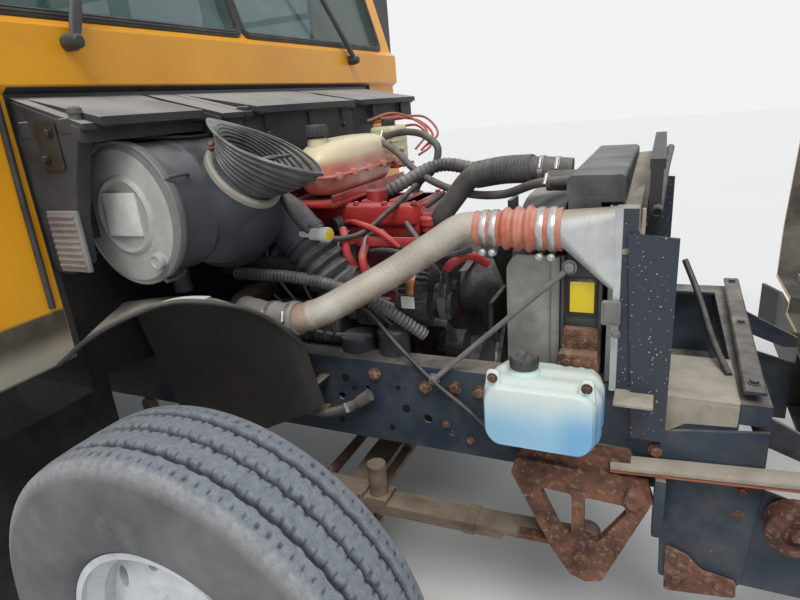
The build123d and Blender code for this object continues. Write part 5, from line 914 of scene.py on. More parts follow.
    def piece(self, name, finish, body="chassis", replaces=(), sharp=38.0, fields=None):
        """The mesh as an object of the scene: normals outward, soft shading but for edges sharper than an
        angle."""
        mesh = bpy.data.meshes.new(name)
        mesh.from_pydata(np.concatenate(self.points), [], self.faces)
        for field, values in (fields or {}).items():
            mesh.attributes.new(field, "FLOAT", "POINT").data.foreach_set("value", np.ravel(values))
        work = bmesh.new()
        work.from_mesh(mesh)
        bmesh.ops.recalc_face_normals(work, faces=work.faces)
        work.to_mesh(mesh)
        work.free()
        mesh.shade_smooth()
        mesh.set_sharp_from_angle(angle=math.radians(sharp))
        mesh.materials.append(FINISH[finish])
        made = bpy.data.objects.new(name, mesh)
        bpy.context.scene.collection.objects.link(made)
        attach(made, body)
        if replaces:
            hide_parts(*replaces)
        return made


# Tyres


def tyre_piece(name, centres, centre_x, body, node, around, across):
    """Tyres of one wheel. The section is a curve of (distance from the middle, radius); each point of it is
    turned about the axle, and sinks where a groove runs: three grooves that zigzag as they go round, and
    notches that cut into both shoulders. Rings and a raised panel stand out of the side walls."""
    section = np.array(
        ((-0.104, 0.29), (-0.122, 0.305), (-0.134, 0.34), (-0.138, 0.395), (-0.134, 0.445), (-0.122, 0.484),
         (-0.11, 0.503), (-0.085, 0.5095), (-0.045, 0.512), (0.0, 0.5125), (0.045, 0.512), (0.085, 0.5095),
         (0.11, 0.503), (0.122, 0.484), (0.134, 0.445), (0.138, 0.395), (0.134, 0.34), (0.122, 0.305),
         (0.104, 0.29))
    )
    side_count = across // 6
    dense = smooth(np.column_stack((section, np.zeros(len(section)))), 400)[:, :2]
    run = np.concatenate(([0.0], np.cumsum(np.linalg.norm(np.diff(dense, axis=0), axis=1))))
    edge = np.interp((-0.118, 0.118), dense[120:280, 0], run[120:280])
    stations = np.concatenate(
        (
            np.linspace(0, edge[0], side_count, endpoint=False),
            np.linspace(edge[0], edge[1], across - 2 * side_count, endpoint=False),
            np.linspace(edge[1], run[-1], side_count),
        )
    )
    wide = np.interp(stations, run, dense[:, 0])
    tall = np.interp(stations, run, dense[:, 1])
    normal = np.column_stack((-np.gradient(tall, stations), np.gradient(wide, stations)))
    angle = np.arange(around) * TAU / around - 1.6
    turn, w = np.meshgrid(angle, wide, indexing="ij")
    wave = np.abs(((turn * 60 / TAU) % 1.0) - 0.5) * 4 - 1
    groove = np.zeros_like(w)
    for middle, half, swing in ((-0.062, 0.005, 0.0022), (0.0, 0.0042, 0.0022), (0.062, 0.005, 0.0022)):
        groove = np.maximum(groove, 1 - np.clip((np.abs(w - middle - swing * wave) - half) / 0.0035, 0, 1))
    beside = np.zeros_like(w)
    for edge_w in (-0.091, -0.052, -0.01, 0.01, 0.052, 0.091):
        beside = np.maximum(beside, np.clip(1.6 - np.abs(w - edge_w) / 0.005, 0, 1))
    notch = ((turn * 120 / TAU) % 1.0 < 0.22) * beside
    sink = 0.0115 * groove + 0.003 * notch
    t = np.broadcast_to(tall, w.shape)
    on_wall = np.clip((0.478 - t) / 0.006, 0, 1)
    for ring, wide_ring in ((0.47, 0.0016), (0.44, 0.0014), (0.352, 0.0022), (0.33, 0.0016)):
        sink = sink - 0.0016 * np.exp(-(((t - ring) / wide_ring) ** 2))
    panel = (np.clip((t - 0.382) / 0.004, 0, 1) * np.clip((0.418 - t) / 0.004, 0, 1)) * on_wall
    panel = panel * np.clip((np.cos(turn - 2.2) - 0.6) / 0.02, 0, 1)
    sink = sink - 0.0014 * panel
    radial = t - normal[None, :, 1] * sink
    lateral = w - normal[None, :, 0] * sink
    shape = Shape()
    for centre_y in centres:
        points = np.stack(
            (centre_x + radial * np.cos(turn), centre_y + lateral, AXLE_Z + radial * np.sin(turn)), -1
        )
        shape.grid(points, round_i=True, round_j=True)
    tread = np.clip((0.116 - np.abs(w)) / 0.006, 0, 1) * (t > 0.49)
    shoulder = np.clip((np.abs(w) - 0.1) / 0.01, 0, 1) * np.clip((0.128 - np.abs(w)) / 0.01, 0, 1)
    shoulder = shoulder * (t > 0.48)
    # The groove share also tells the finish where to paint shade.
    fields = {
        "tread": tread,
        "groove": np.maximum(groove, 0.75 * notch),
        "shoulder": shoulder,
    }
    fields = {key: np.tile(np.ravel(value), len(centres)) for key, value in fields.items()}
    return shape.piece(name, "worn_rubber", body, (node,), 60.0, fields)


tyre_piece("tyre_tread_front_right", (-FRONT_TYRE_Y,), AXLE_X, "wheel_front_right", "front_tyre_right", 736,
    108)
tyre_piece("tyre_tread_front_left", (FRONT_TYRE_Y,), AXLE_X, "wheel_front_left", "front_tyre_left", 368, 72)
for side_name, side in (("right", -1), ("left", 1)):
    low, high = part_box(f"rear_tyres_{side_name}")
    pair = (low.y + TYRE_WIDTH / 2, high.y - TYRE_WIDTH / 2)
    tyre_piece(f"tyre_tread_rear_{side_name}", pair, REAR_AXLE_X, f"wheel_rear_{side_name}",
        f"rear_tyres_{side_name}", 276, 60)


# Engine bay, right side: boxes on the bulkhead, air cleaner and its inlet


CLEANER = at(-0.31, -0.752, 1.396)
CLEANER_AXIS = unit((-0.078, -0.997, 0.0))
BULKHEAD = -0.462  # reach of the boxes' backs


def cleaner_lid():
    """Round lid: a disc with a rolled rim, a raised ring round a blank label, and a turned knob low on the
    right."""
    shape = Shape()
    shape.lathe(
        ((-0.02, 0.15), (-0.02, 0.173), (-0.016, 0.1755), (-0.006, 0.1765), (0.002, 0.1765), (0.0045, 0.1745),
         (0.0045, 0.1715), (0.0015, 0.169), (0.0035, 0.164), (0.0075, 0.12), (0.009, 0.098), (0.014, 0.094),
         (0.017, 0.0885), (0.015, 0.083), (0.0095, 0.0795), (0.008, 0.07), (0.008, 0.02), (0.008, 0.002)),
        CLEANER, CLEANER_AXIS, 120,
    )
    shape.lathe(
        ((0.0, 0.026), (0.01, 0.0255), (0.012, 0.0225), (0.022, 0.0215), (0.026, 0.019), (0.027, 0.014),
         (0.0235, 0.012), (0.0235, 0.003)),
        CLEANER + (0.086, -0.002, -0.108), CLEANER_AXIS, 40,
    )
    shape.piece("air_cleaner_lid", "pale_lid", replaces=("air_cleaner",))
    Shape().slab(
        round_box((-0.368, 1.348), (-0.26, 1.452), 0.004),
        -0.7685, -0.758, "y", 0.0006,
    ).piece("air_cleaner_label", "blank_label")


def cleaner_body():
    """Canister behind the lid: a turned shell with moulded rings, and a neck that leaves it forward and
    upward."""
    shape = Shape()
    shape.lathe(((0.006, 0.16), (0.006, 0.1715), (0.026, 0.172), (0.03, 0.166), (0.12, 0.164),
        (0.124, 0.1665), (0.132, 0.1665), (0.136, 0.1635), (0.33, 0.16), (0.39, 0.156), (0.418, 0.14),
        (0.43, 0.105), (0.432, 0.04)), CLEANER, -CLEANER_AXIS, 96)
    flare = smooth(reaches(((-0.3, -0.43, 1.33), (-0.235, -0.47, 1.365), (-0.165, -0.525, 1.412),
        (-0.11, -0.55, 1.458))), 24)
    shape.tube(flare, np.interp(np.linspace(0, 1, 24), (0, 0.4, 1), (0.158, 0.15, 0.094)), 48)
    neck = smooth(reaches(((-0.275, -0.53, 1.33), (-0.215, -0.548, 1.385), (-0.15, -0.552, 1.425),
        (-0.095, -0.55, 1.468))), 18)
    shape.tube(neck, np.linspace(0.135, 0.092, 18), 48)
    shape.tube(reaches(((-0.35, -0.6, 1.25), (-0.346, -0.6, 1.215), (-0.342, -0.6, 1.18),
        (-0.34, -0.6, 1.15))), (0.03, 0.028, 0.024, 0.026), 20)
    for turn in (0.5, 2.2, 3.7, 5.2):
        out = np.array((math.cos(turn), 0.0, math.sin(turn)))
        foot = CLEANER + out * 0.174 + (0, 0.018, 0)
        clip = foot + out[None] * np.array((0.0, 0.01, 0.013, 0.01, 0.0))[:, None]
        clip = clip + np.array((0, 1, 0)) * np.array((-0.03, -0.026, 0.004, 0.034, 0.042))[:, None]
        shape.tube(clip, 0.0045, 8)
    shape.piece("air_cleaner_body", "grey_canister")


def inlet_trumpet():
    """Wide inlet: rings that go from a round neck to a long pointed mouth, with eight ribs round the outside;
    the inner wall follows the outer one and ends in the dark neck."""
    t = np.linspace(0.0, 1.0, 49)[:, None]
    angle = turns(96)
    neck, mouth = at(-0.095, -0.55, 1.468), at(-0.03, -0.55, 1.53)
    long_axis = np.array((0.909, 0.0, -0.416))
    neck_axis = unit((0.757, 0.0, 0.652))
    neck_long = unit(np.cross((0, 1, 0), neck_axis))
    share = t**1.6
    swing = unit(neck_long[None] * (1 - share) + long_axis[None] * share)
    half_long = 0.088 + (0.176 - 0.088) * t**1.3
    half_wide = 0.088 + (0.098 - 0.088) * t
    point = np.sign(np.cos(angle)) * np.abs(np.cos(angle)) ** (1 + 0.15 * t)
    narrow = np.abs(np.sin(angle)) ** (1 + 0.55 * t) * np.sign(np.sin(angle))
    rib = 0.0042 * np.clip(np.sin(t * 8.5 * TAU) * 1.6, -0.2, 1.0) * (t > 0.08)
    centre = neck * (1 - t) + mouth * t

    def ring(grow):
        return (
            centre[:, None, :]
            + swing[:, None, :] * ((half_long + grow) * point)[..., None]
            + np.array((0.0, 1.0, 0.0)) * ((half_wide + grow) * narrow)[..., None]
        )

    outside, inside = ring(rib), ring(1.2 * rib - 0.007)[::-1]
    hub = inside[-1].mean(axis=0)
    sink = np.linspace(0.02, 0.12, 5)[:, None, None] * neck_axis
    floor = hub + (inside[-1] - hub) * np.array((0.98, 0.95, 0.92, 0.6, 0.05))[:, None, None] - sink
    shape = Shape()
    shape.grid(np.concatenate((outside, inside, floor)), caps=True)
    inner_guide = smooth(reaches(((-0.155, -0.55, 1.452), (-0.075, -0.55, 1.492), (0.02, -0.55, 1.5))), 14)
    shape.tube(inner_guide + (0, 0.028, 0), 0.0045, 8)
    shape.tube(inner_guide + (0, -0.028, 0), 0.0045, 8)
    shape.piece("air_inlet", "inlet_rubber", sharp=50.0)
    Shape().lathe(
        ((-0.014, 0.09), (-0.014, 0.101), (-0.01, 0.105), (0.002, 0.105), (0.006, 0.101), (0.006, 0.09)),
        at(-0.104, -0.55, 1.461), neck_axis, 72,
    ).piece("inlet_ring", "tan_plastic")
    screw = Shape()
    screw.tube(reaches(((-0.188, -0.56, 1.512), (-0.17, -0.582, 1.532), (-0.15, -0.6, 1.54))), 0.0065, 10)
    screw.bolt(at(-0.15, -0.6, 1.54), (0.2, -0.5, 0.6), 0.009)
    screw.piece("inlet_ring_screw", "rusty_casting")


def inlet_elbow():
    """Smooth elbow from the canister down to the engine, with bellows where it bends, and the dust gauge on
    it."""
    path = smooth(
        reaches(((-0.3, -0.46, 1.4), (-0.22, -0.4, 1.37), (-0.145, -0.35, 1.307), (-0.085, -0.345, 1.235),
                 (-0.027, -0.345, 1.163), (0.02, -0.34, 1.1), (0.06, -0.3, 1.04))), 90
    )
    run = np.linspace(0, 1, 90)
    radius = np.interp(run, (0, 0.3, 0.5, 0.62, 0.8, 1.0), (0.064, 0.068, 0.072, 0.074, 0.073, 0.064))
    bellows = (run > 0.56) & (run < 0.8)
    radius = radius + np.where(bellows, 0.0075 * np.sin((run - 0.56) / 0.24 * 4 * TAU - 1.2), 0.0)
    shape = Shape()
    shape.tube(path, radius, 48)
    ahead = unit(np.gradient(path, axis=0))
    shape.clamp(path[84], ahead[84], radius[84], 0.014, (1, -1, 0))
    shape.clamp(path[46], ahead[46], radius[46], 0.014, (1, -1, 1))
    shape.piece("intake_elbow", "elbow_black")
    gauge = Shape()
    axis = unit(at(0.063, -0.42, 1.275) - at(-0.065, -0.395, 1.268))
    gauge.lathe(
        ((-0.12, 0.009), (-0.07, 0.009), (-0.066, 0.016), (-0.03, 0.017), (-0.028, 0.02), (-0.004, 0.0205),
         (0.0, 0.019), (0.0003, 0.017)),
        at(0.045, -0.42, 1.276), axis, 32,
    )
    gauge.piece("dust_gauge", "blank_label")
    Shape().lathe(((-0.002, 0.0165), (0.0012, 0.0165), (0.002, 0.015), (0.0022, 0.001)),
        at(0.045, -0.42, 1.276), axis, 32).piece("dust_gauge_face", "gauge_plastic")


def bulkhead_boxes():
    """Boxes along the bulkhead: wedge lids with turned lips and ribs, an end plate, a knob, latches, a
    bracket and a finned control unit."""
    shape = Shape()
    for y_span, front, foot in (((-0.87, -0.49), -0.258, 1.574), ((-0.484, -0.389), -0.206, 1.562),
                                ((-0.387, 0.255), -0.206, 1.494), ((0.266, 0.868), -0.22, 1.53)):
        shape.slab(((BULKHEAD, foot), (BULKHEAD, 1.678), (front, 1.608), (front, foot)), *y_span, "y", 0.007,
            3)
        lip = ((BULKHEAD, 1.669), (BULKHEAD, 1.6812), (front + 0.01, 1.6135), (front + 0.01, 1.6))
        shape.slab(lip, y_span[0] + 0.002, y_span[1] - 0.002, "y", 0.003, 2)
        raised = ((-0.44, 1.66), (-0.44, 1.6765), (front + 0.034, 1.625), (front + 0.034, 1.606))
        if y_span[1] - y_span[0] > 0.2:
            shape.slab(raised, y_span[0] + 0.03, y_span[1] - 0.03, "y", 0.004, 2)
    plate = ((BULKHEAD, 1.282), (BULKHEAD, 1.6), (-0.262, 1.6), (-0.304, 1.5), (-0.34, 1.4), (-0.352, 1.302),
        (-0.41, 1.275))
    shape.slab(plate, -0.871, -0.832, "y", 0.005)
    shape.slab(((BULKHEAD, 1.34), (BULKHEAD, 1.6), (-0.428, 1.6), (-0.428, 1.34)), -0.828, 0.86, "y", 0.004)
    for y, reach in ((-0.87, -0.43), (-0.868, -0.3), (0.255, -0.215), (-0.38, -0.215), (0.24, -0.4)):
        shape.block((reach - 0.016, reach + 0.016), (y - 0.003, y + 0.016), (1.59, 1.628), 0.004)
    for y in (-0.3, -0.06, 0.16, 0.42, 0.7):
        shape.block((-0.212, -0.2), (y, y + 0.03), (1.56, 1.606), 0.004)
        shape.bolt(at(-0.205, y + 0.015, 1.545), AHEAD, 0.008)
    shape.piece("bulkhead_boxes", "bay_plastic", replaces=("firewall_boxes",))
    Shape().lathe(((0.0, 0.017), (0.006, 0.017), (0.008, 0.013), (0.022, 0.012), (0.026, 0.016),
        (0.036, 0.0155), (0.04, 0.01), (0.041, 0.001)), at(-0.285, -0.85, 1.61), UP, 28).piece("rubber_knob",
        "black_rubber")
    bracket = Shape()
    bracket.slab(round_box((-0.395, 1.52), (-0.325, 1.625), 0.008), -0.876, -0.873, "y", 0.0006)
    bracket.bolt(at(-0.375, -0.877, 1.545), RIGHT, 0.009)
    bracket.bolt(at(-0.345, -0.877, 1.6), RIGHT, 0.009)
    bracket.piece("box_brackets", "black_paint")
    control = Shape()
    control.block((-0.428, -0.33), (-0.8762, -0.865), (1.285, 1.43), 0.003, plane="y")
    for index in range(9):
        z = 1.298 + index * 0.0145
        control.block((-0.424, -0.338), (-0.8798, -0.875), (z, z + 0.006), 0.001, plane="y")
    control.piece("control_unit", "dusty_alloy")


cleaner_lid()
cleaner_body()
inlet_trumpet()
inlet_elbow()
bulkhead_boxes()


# Engine bay: tanks


def surge_tank():
    """Barrel-shaped coolant tank: each ring across it is a squarish oval that swells toward the middle; a
    welded seam with tabs runs round it, and a ribbed cap stands on its neck. The fluid reservoir stands
    beside it, and a tray carries both."""
    along_y = np.linspace(-1.0, 1.0, 33)[:, None]
    angle = turns(56)
    middle = at(-0.119, 0.03, 1.42)
    swell = (1 - np.abs(along_y) ** 5) ** 0.5 * (0.9 + 0.1 * np.cos(along_y * 1.4))
    groove = 1 - 0.035 * np.exp(-((np.abs(along_y) - 0.36) / 0.035) ** 2)
    squarish = (np.abs(np.cos(angle)) ** 3.2 + np.abs(np.sin(angle)) ** 3.2) ** (-1 / 3.2)
    radius = swell * squarish * groove
    points = np.stack(
        (
            middle[0] + 0.078 * radius * np.cos(angle),
            middle[1] + 0.268 * along_y + 0 * angle,
            middle[2] + 0.092 * radius * np.sin(angle),
        ),
        -1,
    )
    shape = Shape()
    shape.grid(points, caps=True)
    shape.slab(round_box((-0.203, -0.23), (-0.035, 0.292), 0.04), 1.402, 1.408, "z", 0.001)
    for y in (-0.19, -0.09, 0.02, 0.13, 0.23):
        for reach in (-0.204, -0.04):
            shape.block((reach - 0.006, reach + 0.012), (y - 0.01, y + 0.01), (1.394, 1.416), 0.003)
    shape.lathe(((0.0, 0.032), (0.03, 0.03), (0.04, 0.03)), at(-0.125, -0.15, 1.486), UP, 32)
    for place, toward in ((at(-0.048, 0.235, 1.44), (1, 0.4, 0)), (at(-0.05, 0.245, 1.385), (1, 0.2, 0)),
                          (at(-0.1, 0.285, 1.475), (0.2, 1, 0.2))):
        shape.lathe(((0, 0.013), (0.014, 0.013), (0.016, 0.009), (0.038, 0.009), (0.04, 0.0105),
            (0.046, 0.009)), place, toward, 18)
    shape.piece("surge_tank", "tank_plastic", replaces=("coolant_tanks",))
    box = Shape()
    box.block((-0.19, -0.08), (0.345, 0.475), (1.378, 1.52), 0.014, 0.02)
    for z in (1.4, 1.43, 1.46, 1.49):
        box.block((-0.192, -0.078), (0.343, 0.477), (z, z + 0.006), 0.002, 0.02)
    box.piece("fluid_box", "amber_plastic")
    caps = Shape()
    for place, radius, height in ((at(-0.125, -0.15, 1.524), 0.037, 0.034),
        (at(-0.135, 0.41, 1.52), 0.026, 0.026)):
        turn = turns(96)
        profile = np.array(((0.0, 1.0), (0.25, 1.0), (0.8, 0.97), (1.0, 0.88), (1.02, 0.6), (0.96, 0.55),
            (0.96, 0.05)))
        knurl = 1 + 0.035 * np.sign(np.sin(turn * 24)) * (profile[:, :1] < 0.9)
        ring = radius * profile[:, 1:] * knurl
        caps.grid(np.stack((place[0] + ring * np.cos(turn), place[1] + ring * np.sin(turn),
            place[2] + height * profile[:, :1] + 0 * turn), -1), caps=True)
    caps.piece("tank_caps", "cap_black")
    tray = Shape()
    tray.block((-0.215, -0.035), (-0.24, 0.31), (1.312, 1.33), 0.006)
    tray.block((-0.045, -0.036), (-0.238, 0.308), (1.318, 1.352), 0.003)
    tray.slab(((-0.206, 0.332), (-0.206, 0.488), (-0.066, 0.488), (-0.066, 0.332)), 1.362, 1.374, "z", 0.004)
    tray.tube(reaches(((-0.45, 0.1, 1.32), (-0.3, 0.1, 1.318), (-0.18, 0.09, 1.318))), 0.014, 12)
    tray.tube(reaches(((-0.45, 0.41, 1.366), (-0.3, 0.41, 1.366), (-0.15, 0.41, 1.366))), 0.014, 12)
    tray.piece("tank_tray", "engine_red")


def washer_tank():
    """Washer bottle: the octagon of its outline swelling between rounded ends, with ears, bolts and a hinged
    cap."""
    outline = rounded(((0.54, 0.822), (0.757, 0.822), (0.78, 0.85), (0.78, 0.955), (0.757, 0.981),
        (0.54, 0.981), (0.516, 0.955), (0.516, 0.85)), 0.016, 6)
    t = np.linspace(-1, 1, 25)[:, None, None]
    centre = np.array((0.648, 0.902))
    belly = 1 - 0.1 * np.abs(t) ** 4 - 0.02 * np.cos(t * 9) * (np.abs(t) < 0.8)
    ring = centre + (outline[None] - centre) * belly
    y = np.broadcast_to(-0.5375 + 0.082 * t, ring[..., :1].shape)
    points = np.concatenate((ring[..., :1] + AXLE_X, y, ring[..., 1:]), -1)
    shape = Shape()
    shape.grid(points, caps=True)
    for reach in (0.545, 0.752):
        ear = rounded(((reach - 0.02, 0.955), (reach + 0.02, 0.955), (reach + 0.014, 1.01),
            (reach - 0.014, 1.01)), 0.01)
        shape.slab(ear, -0.604, -0.59, "y", 0.003)
    shape.lathe(((0, 0.037), (0.006, 0.037), (0.01, 0.031), (0.02, 0.031)), at(0.602, -0.53, 0.976), UP, 36)
    shape.block((0.6, 0.7), (-0.46, -0.433), (0.83, 0.86), 0.004)
    shape.piece("washer_tank", "milky_bottle", replaces=("washer_bottle",))
    cap = Shape()
    cap.lathe(((0.0, 0.033), (0.008, 0.0345), (0.022, 0.0345), (0.028, 0.031), (0.0285, 0.02), (0.025, 0.017),
        (0.025, 0.002)), at(0.602, -0.53, 0.994), UP, 40)
    cap.block((0.598, 0.606), (-0.568, -0.496), (1.018, 1.024), 0.002)
    cap.piece("washer_cap", "cap_black")
    bolts = Shape()
    for reach in (0.545, 0.752):
        bolts.bolt(at(reach, -0.604, 0.993), RIGHT, 0.009)
    bolts.piece("washer_bolts", "rusty_casting")


surge_tank()
washer_tank()


# Engine bay: pipes and hoses


def hose(name, finish, rows, radius, samples=60, sides=16, bellows=0, depth=0.002, clamps=(), replaces=()):
    """A hose through a few places; bellows are that many rings along it, and clamps sit at shares of its
    length."""
    path = smooth(reaches(rows), samples)
    run = np.linspace(0, 1, samples)
    size = np.interp(run, *radius) if np.ndim(radius) else np.full(samples, float(radius))
    if bellows:
        size = size + depth * np.sin(run * bellows * TAU)
    Shape().tube(path, size, sides).piece(name, finish, replaces=replaces)
    if clamps:
        ahead = unit(np.gradient(path, axis=0))
        bands = Shape()
        for share, width in clamps:
            k = int(share * (samples - 1))
            bands.clamp(path[k], ahead[k], size[k] + 0.0005, width, (0.3, -1, 0.5))
        bands.piece(name + "_clamps", "steel_band")


def charge_pipe():
    """Silver pipe from the turbocharger to the cooler with the hose at each end."""
    rows = ((0.5, -0.412, 1.297), (0.43, -0.412, 1.297), (0.36, -0.428, 1.258), (0.264, -0.45, 1.198),
            (0.16, -0.5, 1.142), (0.062, -0.548, 1.095), (0.01, -0.56, 1.08), (-0.04, -0.556, 1.074))
    path = smooth(reaches(rows), 120)
    run = np.linspace(0, 1, 120)
    size = 0.038 + 0.0028 * np.exp(-(((run - 0.955) / 0.012) ** 2))
    size = size + 0.002 * np.exp(-(((run - 0.86) / 0.01) ** 2))
    Shape().tube(path, size, 36).piece("charge_pipe", "speckled_pipe", replaces=("charge_pipes",))
    hose("turbo_hose", "grey_hose", ((0.01, -0.56, 1.08), (-0.055, -0.556, 1.073), (-0.13, -0.545, 1.07),
        (-0.2, -0.52, 1.07)), 0.044, 60, 28, 3, 0.0012, ((0.1, 0.012), (0.42, 0.012)))
    hose("turbo_outlet", "engine_red", ((-0.18, -0.53, 1.07), (-0.24, -0.49, 1.068), (-0.27, -0.42, 1.066),
        (-0.275, -0.31, 1.066)), 0.04, 30, 24)


def charge_bellows():
    """Orange hose at the cooler: a lathe whose middle has three fat rolls, held by wide bands with spring
    bolts."""
    low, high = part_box("charge_hose")
    middle = np.array((0, (low.y + high.y) / 2, (low.z + high.z) / 2))
    start, length = low.x, high.x - low.x
    run = np.linspace(0.0, 1.0, 90)
    roll = 0.0085 * (0.5 - 0.5 * np.cos((run - 0.3) / 0.4 * 3 * TAU))
    roll = np.where((run > 0.3) & (run < 0.7), roll, 0.0)
    lip = 0.0018 * (np.exp(-(((run - 0.01) / 0.02) ** 2)) + np.exp(-(((run - 0.99) / 0.02) ** 2)))
    size = np.interp(run, (0, 0.3, 0.7, 1.0), (0.0415, 0.0425, 0.0485, 0.0495)) + roll + lip
    profile = np.column_stack((np.concatenate((run * length, (run * length)[::-1][[0, -1]])),
        np.concatenate((size, (0.0385, 0.0385)))))
    Shape().lathe(profile, (start, middle[1], middle[2]), AHEAD, 56, caps=False).piece("charge_bellows",
        "orange_silicone", replaces=("charge_hose",))
    bands = Shape()
    for share, size in ((0.12, 0.0425), (0.235, 0.0428), (0.77, 0.0495), (0.9, 0.05)):
        centre = (start + length * share, middle[1], middle[2])
        bands.lathe(((-0.008, size), (-0.008, size + 0.002), (-0.005, size + 0.003), (0.005, size + 0.003),
            (0.008, size + 0.002), (0.008, size)), centre, AHEAD, 56)
        foot = np.array(centre) + (0, -0.012, -(size + 0.007))
        bands.tube([foot + (0, -0.03, 0), foot + (0, 0.018, 0)], 0.005, 10)
        bands.bolt(foot + (0, -0.03, 0), RIGHT, 0.0065)
    bands.piece("charge_bands", "steel_band")


